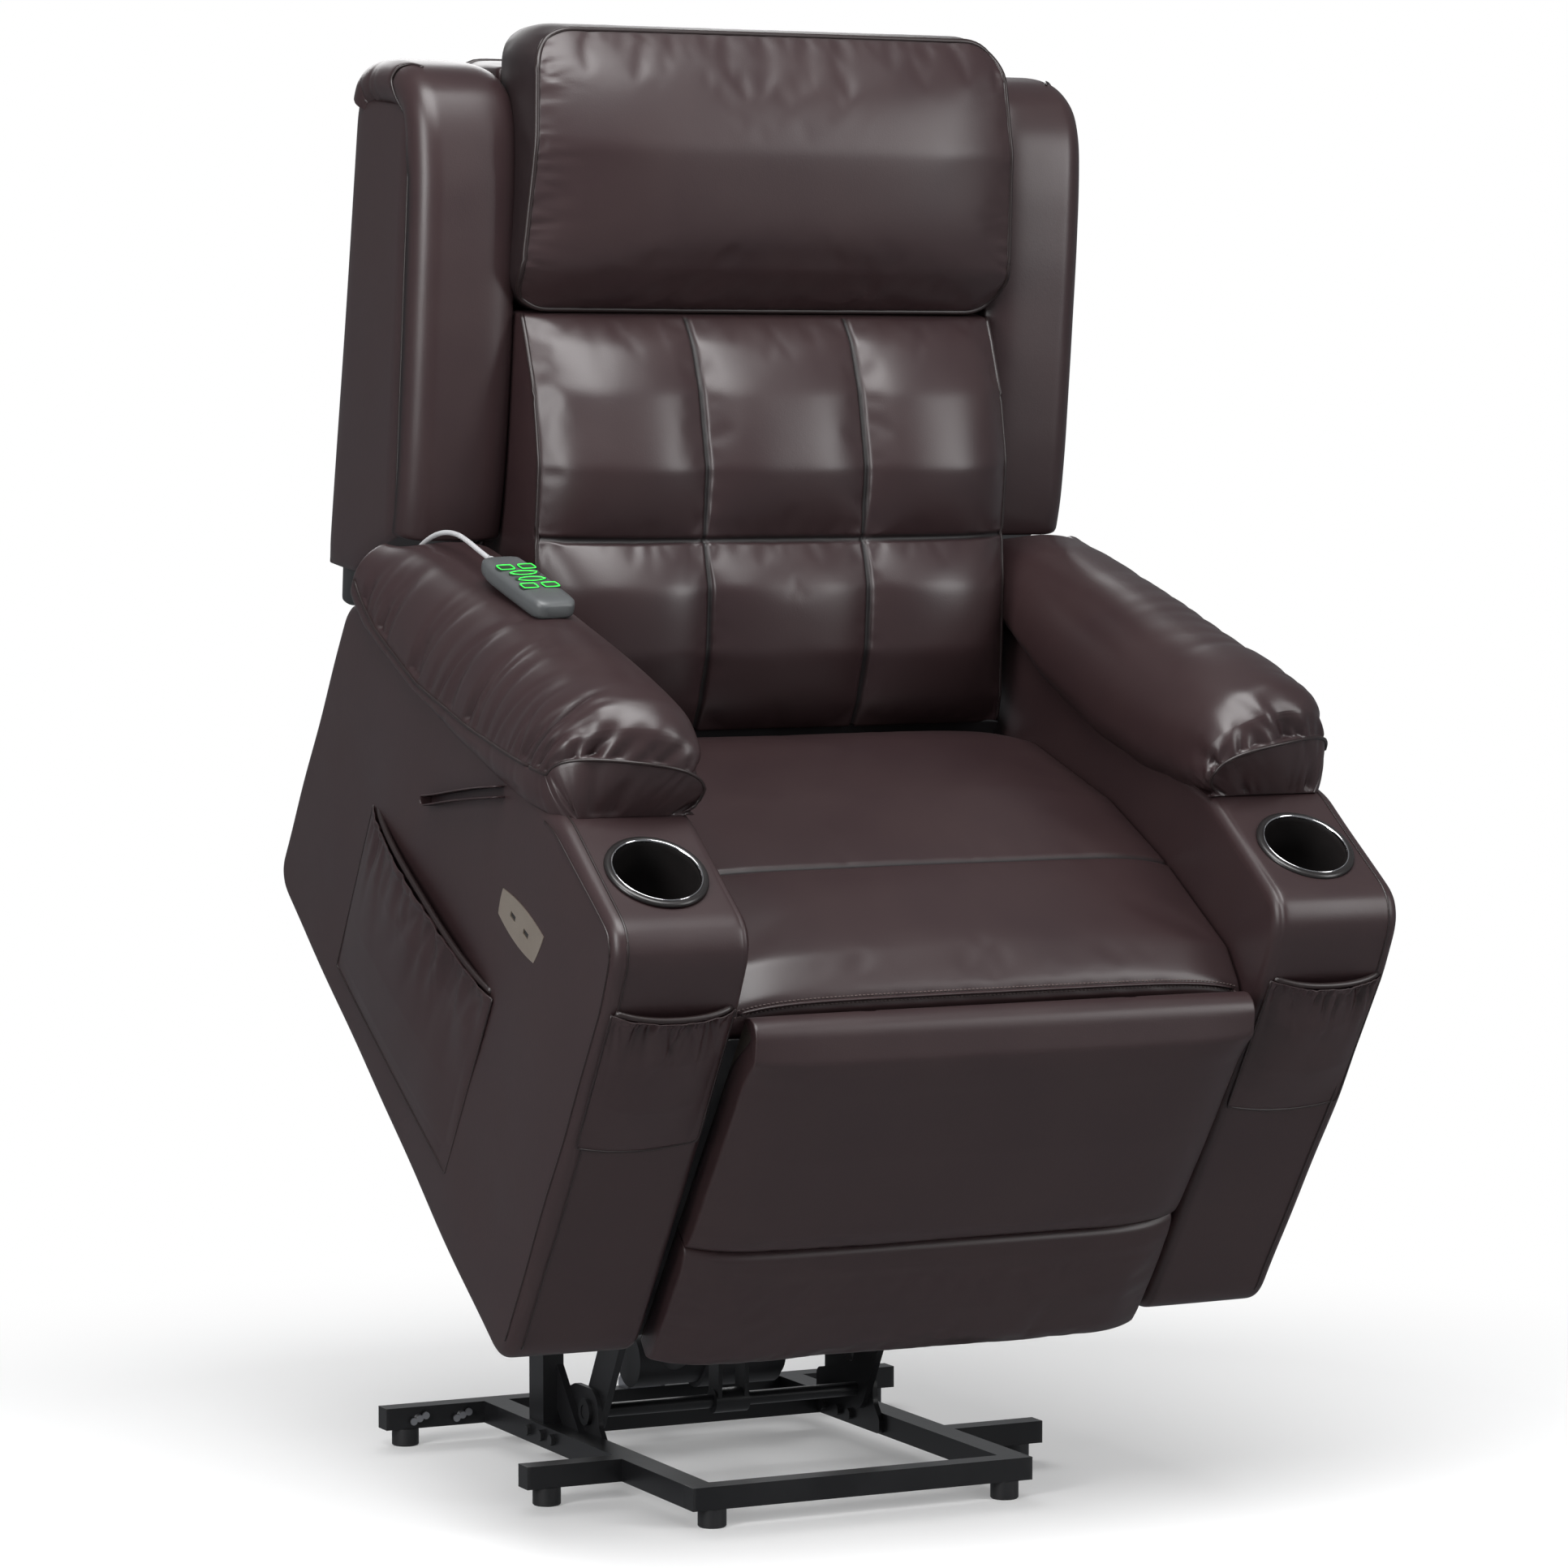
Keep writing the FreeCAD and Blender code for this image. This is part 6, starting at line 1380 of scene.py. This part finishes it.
# %% Pull strap
def tape(name, body, path, width, thick):
    """Flat tape: path in (u, v), swept across x by width, thick across the path; its ends are closed."""
    path = np.asarray(path, float)
    slope = np.gradient(path, axis=0)
    slope /= np.linalg.norm(slope, axis=1)[:, None]
    normal = np.stack([-slope[:, 1], slope[:, 0]], 1)
    rows = []
    ring = [(0.0, -0.5), (-0.08, -0.2), (-0.08, 0.2), (0.0, 0.5), (0.5, 0.62),
            (1.0, 0.5), (1.08, 0.2), (1.08, -0.2), (1.0, -0.5), (0.5, -0.38)]
    for along, out in ring:
        place = path + normal * out * thick
        rows.append(in_chair(-(ARM_OUT + 1.5 + along * (width - 2)), place[:, 0], place[:, 1]))
    points = np.stack(rows, 1)
    faces = grid_faces(len(path), len(ring), ring=True)
    faces += [list(range(len(ring))), list(range((len(path) - 1) * len(ring), len(path) * len(ring)))]
    made = mesh_object(name, points, faces)
    face_outward(made)
    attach(made, body)
    fine = made.modifiers.new("fine", "SUBSURF")
    fine.levels = 1
    fine.render_levels = 1
    return made


STRAP_START, STRAP_END = np.array((333.0, 503.0)), np.array((478.0, 374.0))
FOLD_RADIUS = 5.4
way = (STRAP_END - STRAP_START) / np.linalg.norm(STRAP_END - STRAP_START)
across = np.array((-way[1], way[0]))
reach = np.linalg.norm(STRAP_END - STRAP_START)
line = []
for share in np.linspace(0, 1, 14):
    line.append(STRAP_START + way * reach * share + across * (FOLD_RADIUS + 0.9 * math.sin(share * 5)))
for degrees in np.linspace(75, -75, 7):
    turn = math.radians(degrees)
    line.append(STRAP_END + way * FOLD_RADIUS * math.cos(turn) + across * FOLD_RADIUS * math.sin(turn))
for share in np.linspace(1, 0, 14):
    line.append(STRAP_START + way * reach * share - across * (FOLD_RADIUS - 1.6 * math.sin(share * 3.1)))
strap_piece = tape("pull_strap_leather", "chair", line, 16.0, 2.1)
print("strap sections", len(line))

# %% [markdown]
# The handset is a soft grey moulding: rows of rounded sections along its length. Its keys are the CAD ones,
# each with a glowing line round its edge, and the lead leaves it through a tapered relief.

# %% Handset, keys and lead
HANDSET_CENTRE = (-369.0, 563.0, 586.9)
HANDSET_SLOPE = math.radians(15.9)
HANDSET_YAW = math.radians(6.0)


def in_handset(x, y, z):
    """Turns about the upright axis by the yaw, leans by the slope, and moves to the pillow's top."""
    x, y, z = np.broadcast_arrays(np.asarray(x, float), y, z)
    p = x * math.cos(HANDSET_YAW) - y * math.sin(HANDSET_YAW)
    q = x * math.sin(HANDSET_YAW) + y * math.cos(HANDSET_YAW)
    u = q * math.cos(HANDSET_SLOPE) + z * math.sin(HANDSET_SLOPE)
    v = -q * math.sin(HANDSET_SLOPE) + z * math.cos(HANDSET_SLOPE)
    return in_chair(p + HANDSET_CENTRE[0], u + HANDSET_CENTRE[1], v + HANDSET_CENTRE[2])


def handset_body():
    """Sections: a superellipse, cosine and sine to the power 0.42, narrower below; its size follows y."""
    y = np.concatenate([[-70, -69.4, -68, -65.5, -61], np.linspace(-54, 50, 19), [58, 63.5, 67, 69.2, 70]])
    half = np.interp(y, (-70, -69.4, -68, -65.5, -61, -50, 0, 40, 58, 63.5, 67, 69.2, 70),
                     (13.5, 16.5, 19, 21.5, 23.6, 25.2, 26, 25.4, 23, 20.8, 18, 15, 12))
    low = np.interp(y, (-70, -65, -55, 45, 63, 70), (-6.5, -10.2, -12, -12, -9.5, -4.5))
    high = np.interp(y, (-70, -68, -62, 58, 66, 70), (6, 8.6, 12, 12, 9.4, 6))
    turn = np.linspace(0, 2 * math.pi, 48, endpoint=False)
    c, s = np.cos(turn), np.sin(turn)
    shape_x = np.sign(c) * np.abs(c) ** 0.42
    shape_z = np.sign(s) * np.abs(s) ** 0.42
    middle, rise = (low + high) / 2, (high - low) / 2
    narrow = np.where(shape_z < 0, 1 - 0.13 * np.abs(shape_z) ** 2, 1 - 0.04 * np.abs(shape_z) ** 4)
    x = half[:, None] * (shape_x * narrow)[None]
    z = middle[:, None] + rise[:, None] * shape_z[None]
    points = in_handset(x, y[:, None], z)
    faces = grid_faces(len(y), 48, ring=True) + [list(range(48)), list(range((len(y) - 1) * 48, len(y) * 48))]
    return mesh_object("handset_body", points, faces)


handset_piece = face_outward(handset_body())
KEYS = (("power", -12.5, 27.0), ("light", 12.5, 27.0), ("back_up", 0.0, 9.5), ("back_down", 0.0, -7.5),
        ("lift_up", -12.5, -26.0), ("lift_down", 12.5, -26.0))


def key_outline(name, x, y):
    """Outline of a key's face about (x, y): a bowed bar for the keys of the back, a rounded block for the
    others."""
    if name in ("back_up", "back_down"):
        flip = 1 if name == "back_up" else -1
        share = np.linspace(-1, 1, 15)
        far = np.stack([x + 16 * share, y + flip * (1.5 + 4.2 * (1 - share ** 2))], 1)
        near = np.stack([x + 15 * share[::-1], y - flip * (5.2 - 3.8 * np.abs(share[::-1]) ** 2)], 1)
        return np.concatenate([far, near[1:-1]])
    return np.array([(x - 8.4, y - 5), (x - 7.4, y - 6), (x, y - 6.4), (x + 7.4, y - 6), (x + 8.4, y - 5),
                     (x + 8.8, y), (x + 8.4, y + 5), (x + 7.4, y + 6), (x, y + 6.4), (x - 7.4, y + 6),
                     (x - 8.4, y + 5), (x - 8.8, y)])


glow_pieces = []
for name, x, y in KEYS:
    outline = key_outline(name, x, y)
    path = in_handset(outline[:, 0], outline[:, 1], 13.1)
    path = evenly(path, 0.0012, True)
    glow_pieces.append(tube("key_glow_" + name, "key_" + name, path, 0.00048, closed=True, sides=6))
RELIEF = np.array([(y, r) for y, r in ((68.5, 5.4), (72, 5.3), (73, 4.4), (75, 5.0), (76, 4.2), (78, 4.6),
                                       (79, 3.9), (81, 4.2), (82, 3.6), (84, 3.5))])
turn = np.linspace(0, 2 * math.pi, 24, endpoint=False)
points = np.stack([in_handset(r * np.cos(turn), y, r * np.sin(turn)) for y, r in RELIEF])
relief_piece = mesh_object("handset_relief", points, grid_faces(len(RELIEF), 24, ring=True)
                           + [list(range(24)), list(range((len(RELIEF) - 1) * 24, len(RELIEF) * 24))])
face_outward(relief_piece)
# The lead's path in the chair frame, from behind the pillow's top down into the gland.
CORD = ((-380.4, 668.2, 556.9), (-379.0, 698.0, 546.0), (-380.0, 730.0, 533.5), (-385.0, 758.0, 513.5),
        (-391.0, 777.0, 485.0), (-394.0, 787.0, 456.0), (-395.0, 793.0, 430.0), (-395.0, 795.0, 415.0))
cord_start = in_handset(0.0, 84.0, 0.0)
cord_points = np.concatenate([cord_start[None], in_chair(*np.array(CORD).T)])
curve = bpy.data.curves.new("handset_lead", "CURVE")
curve.dimensions = "3D"
spline = curve.splines.new("NURBS")
spline.points.add(len(cord_points) - 1)
spline.points.foreach_set("co", np.c_[cord_points, np.ones(len(cord_points))].ravel())
spline.order_u = 3
spline.use_endpoint_u = True
curve.resolution_u = 10
# Blender adds a point's radius to the curve's box, so the radius is the lead's own and the bevel is 1.
LEAD_DIAMETER = 0.0055
spline.points.foreach_set("radius", np.full(len(cord_points), LEAD_DIAMETER / 2))
curve.bevel_depth = 1.0
curve.bevel_resolution = 4
lead_piece = bpy.data.objects.new("handset_lead", curve)
bpy.context.scene.collection.objects.link(lead_piece)
print("lead starts at", [round(float(x), 4) for x in cord_start])

# %% [markdown]
# The cup holders are pressed plastic cups with a wide rolled rim and a polished ring inside it.

# %% Cup holders
cup_pieces = []
CUP_PROFILE = [(2, 489.0), (20, 488.2), (38, 488.4), (43.2, 490), (44.9, 494), (45.0, 520), (45.0, 556),
               (45.2, 561), (46.2, 563.4), (48.5, 564.6), (51.5, 564.2), (53.4, 562.8), (54.0, 560.9),
               (53.2, 560.2), (47.2, 559.6), (46.8, 552), (46.8, 492), (44.5, 487), (38, 485.6),
               (20, 485.2), (2, 485.2)]
RIM_PROFILE = [(45.2, 562.0), (45.4, 563.9), (46.2, 564.8), (47.0, 564.9), (47.4, 564.2), (46.8, 563.2)]
for side, name in ((1, "left"), (-1, "right")):
    cup = turned_part("cup_" + name, CUP_PROFILE, CUP, side)
    rim = turned_part("cup_ring_" + name, RIM_PROFILE + RIM_PROFILE[:1], CUP, side)
    outward(rim)
    cup_pieces.append((cup, rim))
print("cups:", len(cup_pieces))

# %% [markdown]
# Welts and stitches follow the seams of the finished pieces: a ring of the boxing, a border or a row of a
# panel.

# %% Seams of the pieces
def ring_path(job, row, keep):
    """Points of one ring of the boxing, row 0 being the front panel's border, where keep(a, b) holds."""
    edge = job["edge"]
    count = job["size"][0] * job["size"][1]
    chosen = edge if row == 0 else count + (row - 1) * len(edge) + np.arange(len(edge))
    a, b = job["a"][chosen], job["b"][chosen]
    order = [i for i in range(len(chosen)) if keep(a[i], b[i])]
    return job["final"][chosen[order]]


def panel_row(job, b_value):
    """Points of the front panel along the grid row whose b is nearest to b_value."""
    count = job["size"][0] * job["size"][1]
    b = job["b"][:count]
    near = b[np.argmin(np.abs(b - b_value))]
    return job["final"][:count][np.abs(b - near) < 1e-6]


def from_gap(path):
    """The points begun after their widest gap, so that an open run isn't drawn across it."""
    start = int(np.argmax(np.linalg.norm(np.diff(np.concatenate([path[-1:], path]), axis=0), axis=1)))
    return np.roll(path, -start, 0)


welt_pieces = []
for name, job, gap, radius in (("headrest_welt", headrest, 0.006, 0.0032),
                               ("back_cover_welt", cover, 0.008, 0.003)):
    path = evenly(ring_path(job, 0, lambda a, b: True), gap, True)
    welt_pieces.append(tube(name, "back", path, radius, closed=True))
for sign, name in ((1, "left"), (-1, "right")):
    path = ring_path(lumbar, 0, lambda a, b: a * sign > 0.999)
    path = evenly(path[np.argsort(path[:, 2])], 0.006)
    welt_pieces.append(tube("lumbar_welt_" + name, "back", path, 0.0028))
for job, name in zip(arm_jobs, ("left", "right")):
    for row, mark in ((0, "outer"), (6, "front")):
        path = ring_path(job, row, lambda a, b: (a < -0.999 and b > -0.93) or (b > 0.999 and a < -0.42))
        path = evenly(from_gap(path), 0.006)
        welt_pieces.append(tube("arm_welt_" + name + "_" + mark, "chair", path, 0.0013))
for job, name in zip(pillows, ("left", "right")):
    path = ring_path(job, 0, lambda a, b: (b < -0.999 and a < 0.999) or (a < -0.999 and b < 0.9))
    path = evenly(from_gap(path), 0.005)
    welt_pieces.append(tube("arm_pillow_seam_" + name, "chair", path, 0.0019))
for wing in wings:
    # A dark tube where the panel shows past the roll: painted shade of the seam's hidden valley.
    s = np.linspace(236, 664, 60)
    line = in_back(wing["side"] * np.full(60, 399.2), np.full(60, 89.0), s)
    welt_pieces.append(tube("wing_seam_shadow_line_" + wing["name"], "back", evenly(smooth_path(line), 0.006), 0.0021))
    b = np.linspace(0.44, 0.995, 40)
    line = in_back(*roll_outer(wing["side"])(np.interp(b, *HOOK), b))
    line = evenly(smooth_path(line, times=6), 0.003)
    welt_pieces.append(tube("wing_hook_seam_" + wing["name"], "back", line, 0.0017))
seam_line = evenly(panel_row(seat, -0.96), 0.006)[2:-2]
welt_pieces.append(tube("seat_front_seam", "chair", seam_line, 0.0042, flat=0.45))
stitch_pieces = []
for number, row in enumerate((-0.975, -0.945)):
    path = evenly(panel_row(seat, row), 0.004)[2:-2]
    stitch_pieces.append(stitches("seat_stitch_" + str(number + 1), "chair", path, 0.0046, 0.0036, 0.0009))
print("welts", len(welt_pieces), "stitch rows", len(stitch_pieces))

# %% [markdown]
# Each piece is tied to its body, stands for its CAD solid, and gets its finish.

# %% Tie the pieces to the chair
def dress(made, body, stands_for, finish):
    """Ties a piece to its body, hides the CAD node that it stands for, and gives its finish."""
    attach(made, body)
    if stands_for:
        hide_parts(stands_for)
    finish_with(made, finish)


dress(head_piece, "back", "headrest_pillow", LEATHER)
dress(lumbar_piece, "back", "lumbar_cushion", LEATHER)
dress(seat_piece, "chair", "seat_cushion", LEATHER)
for made in pad_pieces:
    dress(made, "footrest", "footrest_pad", LEATHER_PANEL)
for made, name in zip(pillow_pieces, ("left", "right")):
    dress(made, "chair", "arm_pillow_" + name, LEATHER)
for number, made in enumerate(wing_pieces):
    side_name = wings[number // 2]["name"]
    dress(made, "back", "wing_" + side_name, LEATHER_PANEL if number % 2 else LEATHER)
dress(cover_piece, "back", "back_cover", LEATHER_PANEL)
for made, name in zip(arm_pieces, ("left", "right")):
    dress(made, "chair", "arm_" + name, LEATHER_PANEL)
for made, arm in zip(pocket_pieces, arm_pieces):
    dress(made, "chair", "arm_pockets", LEATHER)
dress(side_pocket_piece, "chair", "side_pocket", LEATHER)
dress(strap_piece, "chair", "pull_strap", LEATHER)
# Welts, pocket seams and mouth tubes take the darker welt leather: painted shade along seams and in the
# mouths.
for made in welt_pieces + pocket_seams_and_mouth_shades:
    finish_with(made, WELT_PAINTED_SHADE)
for made in stitch_pieces:
    finish_with(made, THREAD)
finish_with(bpy.data.objects["seat_front_seam"], LEATHER)

# %% [markdown]
# The hard materials: powder-coated steel with a faint orange peel and dust, zinc, plywood, and plastics
# with a moulded grain. All patterns come from Object coordinates.

# %% Hard materials
def surface(name, tone, second, gloss, spread, grain, bump, metal=0.0, distance=0.0003, stretch=None):
    """Two tones mixed by a slow noise, roughness gloss +- spread by another, and a fine grain as bump."""
    made, tree, shader = material(name)
    place = tree.nodes.new("ShaderNodeTexCoord").outputs["Object"]
    if stretch:
        mapped = node(tree, "ShaderNodeMapping", Scale=stretch)
        tree.links.new(place, mapped.inputs["Vector"])
        place = mapped.outputs[0]
    slow = node(tree, "ShaderNodeTexNoise", Scale=14.0, Detail=5.0, Roughness=0.6)
    fine = node(tree, "ShaderNodeTexNoise", Scale=grain, Detail=2.0, Roughness=0.5)
    tree.links.new(place, slow.inputs["Vector"])
    tree.links.new(place, fine.inputs["Vector"])
    worn = node(tree, "ShaderNodeMapRange")
    for label, value in (("From Min", 0.35), ("From Max", 0.7)):
        worn.inputs[label].default_value = value
    tree.links.new(slow.outputs[0], worn.inputs["Value"])
    tree.links.new(mix_colour(tree, worn.outputs[0], tone, second), shader.inputs["Base Color"])
    tree.links.new(maths(tree, "MULTIPLY_ADD", slow.outputs[0], spread * 2, gloss - spread),
                   shader.inputs["Roughness"])
    relief = node(tree, "ShaderNodeBump", Strength=bump, Distance=distance)
    tree.links.new(fine.outputs[0], relief.inputs["Height"])
    tree.links.new(relief.outputs[0], shader.inputs["Normal"])
    shader.inputs["Metallic"].default_value = metal
    made.diffuse_color = (*tone, 1)
    return made, tree, shader


FINISH = {
    "steel_black": surface("powder_black", (0.008, 0.008, 0.009), (0.013, 0.013, 0.014),
                           0.32, 0.07, 900.0, 0.2)[0],
    "steel_bright": surface("zinc", (0.62, 0.62, 0.64), (0.5, 0.5, 0.53),
                            0.3, 0.1, 300.0, 0.1, metal=1.0)[0],
    "plastic_black": surface("moulded_black", (0.012, 0.012, 0.013), (0.02, 0.02, 0.021),
                             0.45, 0.06, 1500.0, 0.3)[0],
    "cup_black": surface("cup_gloss", (0.010, 0.009, 0.009), (0.014, 0.012, 0.012),
                         0.3, 0.05, 500.0, 0.03)[0],
    "motor_housing": surface("housing_grain", (0.022, 0.022, 0.024), (0.03, 0.03, 0.033),
                             0.5, 0.06, 1300.0, 0.4)[0],
    "timber": surface("stained_plywood", (0.030, 0.022, 0.017), (0.018, 0.013, 0.010),
                      0.6, 0.08, 60.0, 0.3, stretch=(2.0, 14.0, 14.0), distance=0.001)[0],
    "usb_metal": surface("champagne", (0.62, 0.53, 0.44), (0.55, 0.46, 0.38),
                         0.3, 0.05, 900.0, 0.06, metal=0.9)[0],
    "handset_grey": surface("handset_satin", (0.06, 0.064, 0.066), (0.072, 0.076, 0.078),
                            0.4, 0.05, 1800.0, 0.2)[0],
    "cord_grey": surface("lead_sheath", (0.42, 0.42, 0.43), (0.36, 0.36, 0.37),
                         0.45, 0.07, 700.0, 0.12)[0],
    "leather": LEATHER_PANEL,
    "strap": LEATHER,
}
RING = surface("polished_ring", (0.75, 0.75, 0.76), (0.66, 0.66, 0.68), 0.1, 0.04, 400.0, 0.03, metal=1.0)[0]
KEY = surface("key_dark", (0.02, 0.03, 0.022), (0.026, 0.038, 0.028), 0.32, 0.05, 900.0, 0.1)[0]
GLOW, _, glow_shader = surface("key_light", (0.02, 0.5, 0.03), (0.02, 0.6, 0.05), 0.35, 0.04, 900.0, 0.05)
glow_shader.inputs["Emission Color"].default_value = (0.04, 1.0, 0.08, 1)
glow_shader.inputs["Emission Strength"].default_value = 1.4
FINISH["key_green"] = KEY
dress(handset_piece, "chair", "handset", FINISH["handset_grey"])
dress(relief_piece, "chair", None, FINISH["cord_grey"])
dress(lead_piece, "chair", "handset_cord", FINISH["cord_grey"])
for made in glow_pieces:
    finish_with(made, GLOW)
for cup, rim in cup_pieces:
    dress(cup, "chair", "cup_holders", FINISH["cup_black"])
    dress(rim, "chair", None, RING)
for made in ports:
    dress(made, "chair", None, FINISH["plastic_black"])
# The gap parts are black: painted shade of the chair's inside.
for made, body in strip_pieces:
    dress(made, body, None, FINISH["plastic_black"])
slots = {entry["node"]: entry["material_slot"] for entry in frame["record"]["subparts"]}
# All fasteners of the base are one node. Those behind this y are bright zinc, and the others are black.
ZINC_BEHIND_Y = 0.43
FASTENER, fastener_tree, fastener_shader = surface("fastener", (0.012, 0.012, 0.013), (0.018, 0.018, 0.019),
                                                   0.34, 0.06, 500.0, 0.1)
place = node(fastener_tree, "ShaderNodeSeparateXYZ")
fastener_tree.links.new(fastener_tree.nodes.new("ShaderNodeTexCoord").outputs["Object"], place.inputs[0])
bright = maths(fastener_tree, "GREATER_THAN", place.outputs["Y"], ZINC_BEHIND_Y)
black = fastener_shader.inputs["Base Color"].links[0].from_socket
two_tone = mix_colour(fastener_tree, bright, black, (0.6, 0.6, 0.62))
fastener_tree.links.new(two_tone, fastener_shader.inputs["Base Color"])
fastener_tree.links.new(bright, fastener_shader.inputs["Metallic"])
for name, made in nodes.items():
    finish_with(made, FASTENER if name == "base_fasteners" else FINISH[slots[name]])
print("CAD nodes with a finish", len(slots))

# %% [markdown]
# The studio: a white floor that keeps the soft shadow, a white surround for the camera and a darker one for
# the reflections, a large soft box overhead in front, one on each side, and a weak one behind.

# %% Floor, surround and lights
floor_points = np.array([(-30.0, -30.0, 0.0), (30.0, -30.0, 0.0), (30.0, 30.0, 0.0), (-30.0, 30.0, 0.0)])
floor = mesh_object("studio_floor", floor_points, [[0, 1, 2, 3]])
FLOOR, floor_tree, floor_shader = material("white_floor")
floor_shader.inputs["Base Color"].default_value = (0.93, 0.93, 0.93, 1)
floor_shader.inputs["Roughness"].default_value = 0.9
floor.data.materials.append(FLOOR)
world = bpy.data.worlds.new("studio")
bpy.context.scene.world = world
world.use_nodes = True
tree = world.node_tree
tree.nodes.clear()
rays = tree.nodes.new("ShaderNodeLightPath")
seen = node(tree, "ShaderNodeBackground", Color=(1, 1, 1, 1), Strength=1.0)
around = node(tree, "ShaderNodeBackground", Color=(0.97, 0.98, 1.0, 1), Strength=0.2)
mirrored = node(tree, "ShaderNodeBackground", Color=(0.93, 0.96, 1.0, 1), Strength=0.22)
out = tree.nodes.new("ShaderNodeOutputWorld")


def mix_shader(tree, share, first, second):
    """The first shader where share is 0 and the second where it is 1."""
    made = tree.nodes.new("ShaderNodeMixShader")
    for socket, value in zip(made.inputs, (share, first, second)):
        tree.links.new(value, socket)
    return made.outputs[0]


chosen = mix_shader(tree, rays.outputs["Is Glossy Ray"], around.outputs[0], mirrored.outputs[0])
chosen = mix_shader(tree, rays.outputs["Is Camera Ray"], chosen, seen.outputs[0])
tree.links.new(chosen, out.inputs[0])
# The floor turns to plain white with its distance from the chair, so it has no far edge in the picture.
place = floor_tree.nodes.new("ShaderNodeTexCoord").outputs["Object"]
far = node(floor_tree, "ShaderNodeVectorMath", operation="LENGTH")
floor_tree.links.new(place, far.inputs[0])
fade = node(floor_tree, "ShaderNodeMapRange", interpolation_type="SMOOTHSTEP")
fade.inputs["From Min"].default_value = 0.75
fade.inputs["From Max"].default_value = 1.7
floor_tree.links.new(far.outputs["Value"], fade.inputs["Value"])
floor_rays = floor_tree.nodes.new("ShaderNodeLightPath")
white = node(floor_tree, "ShaderNodeEmission", Color=(1, 1, 1, 1), Strength=1.0)
paler = maths(floor_tree, "MAXIMUM", fade.outputs[0], 0.22)
share = maths(floor_tree, "MULTIPLY", paler, floor_rays.outputs["Is Camera Ray"])
blank = mix_shader(floor_tree, share, floor_shader.outputs[0], white.outputs[0])
# Mirrored in leather and steel the floor is a dull grey, as if the chair stood on a small sheet of paper.
dull = node(floor_tree, "ShaderNodeEmission", Color=(0.92, 0.95, 1.0, 1), Strength=0.2)
blank = mix_shader(floor_tree, floor_rays.outputs["Is Glossy Ray"], blank, dull.outputs[0])
floor_tree.links.new(blank, floor_tree.nodes["Material Output"].inputs[0])


def soft_box(name, place, target, size, power):
    """Area light at place that looks at target; size is (width, height) in metres, power in watts."""
    data = bpy.data.lights.new(name, "AREA")
    data.shape = "RECTANGLE"
    data.size, data.size_y = size
    data.energy = power
    lamp = bpy.data.objects.new(name, data)
    lamp.location = place
    way = Vector(target) - Vector(place)
    lamp.rotation_mode = "QUATERNION"
    lamp.rotation_quaternion = way.to_track_quat("-Z", "Y")
    lamp.visible_camera = False
    bpy.context.scene.collection.objects.link(lamp)
    return lamp


soft_box("box_over", (-0.6, -1.4, 3.6), (0, 0, 0.8), (2.6, 2.0), 150)
soft_box("box_left", (-3.2, -1.6, 1.9), (0, 0, 0.9), (1.0, 2.2), 82)
soft_box("box_right", (2.4, -2.8, 2.0), (0, 0, 0.9), (1.0, 2.2), 52)
soft_box("box_back", (0.6, 3.2, 2.8), (0, 0, 0.8), (2.4, 1.4), 40)
print("lights", len(bpy.data.lights))

# %% [markdown]
# The camera stands where the photo was taken: a long lens, a little above the middle, to the chair's right.

# %% Camera
camera = bpy.data.objects.new("camera", bpy.data.cameras.new("camera"))
bpy.context.scene.collection.objects.link(camera)
camera.data.sensor_width = 36.0
camera.data.lens = 126.7
camera.location = (-2.6314, -5.3661, 1.1922)
AZIMUTH, PITCH = math.radians(-25.793), math.radians(3.952)
level = math.cos(PITCH)
backward = Vector((math.sin(AZIMUTH) * level, -math.cos(AZIMUTH) * level, math.sin(PITCH)))
camera.rotation_mode = "QUATERNION"
camera.rotation_quaternion = (-backward).to_track_quat("-Z", "Y")
camera.data.clip_start, camera.data.clip_end = 0.1, 200.0
scene = bpy.context.scene
scene.camera = camera
scene.render.resolution_x = 1932
scene.render.resolution_y = 1932
scene.view_settings.view_transform = "Standard"
print("camera at", tuple(round(x, 3) for x in camera.location), "lens", round(camera.data.lens, 1))
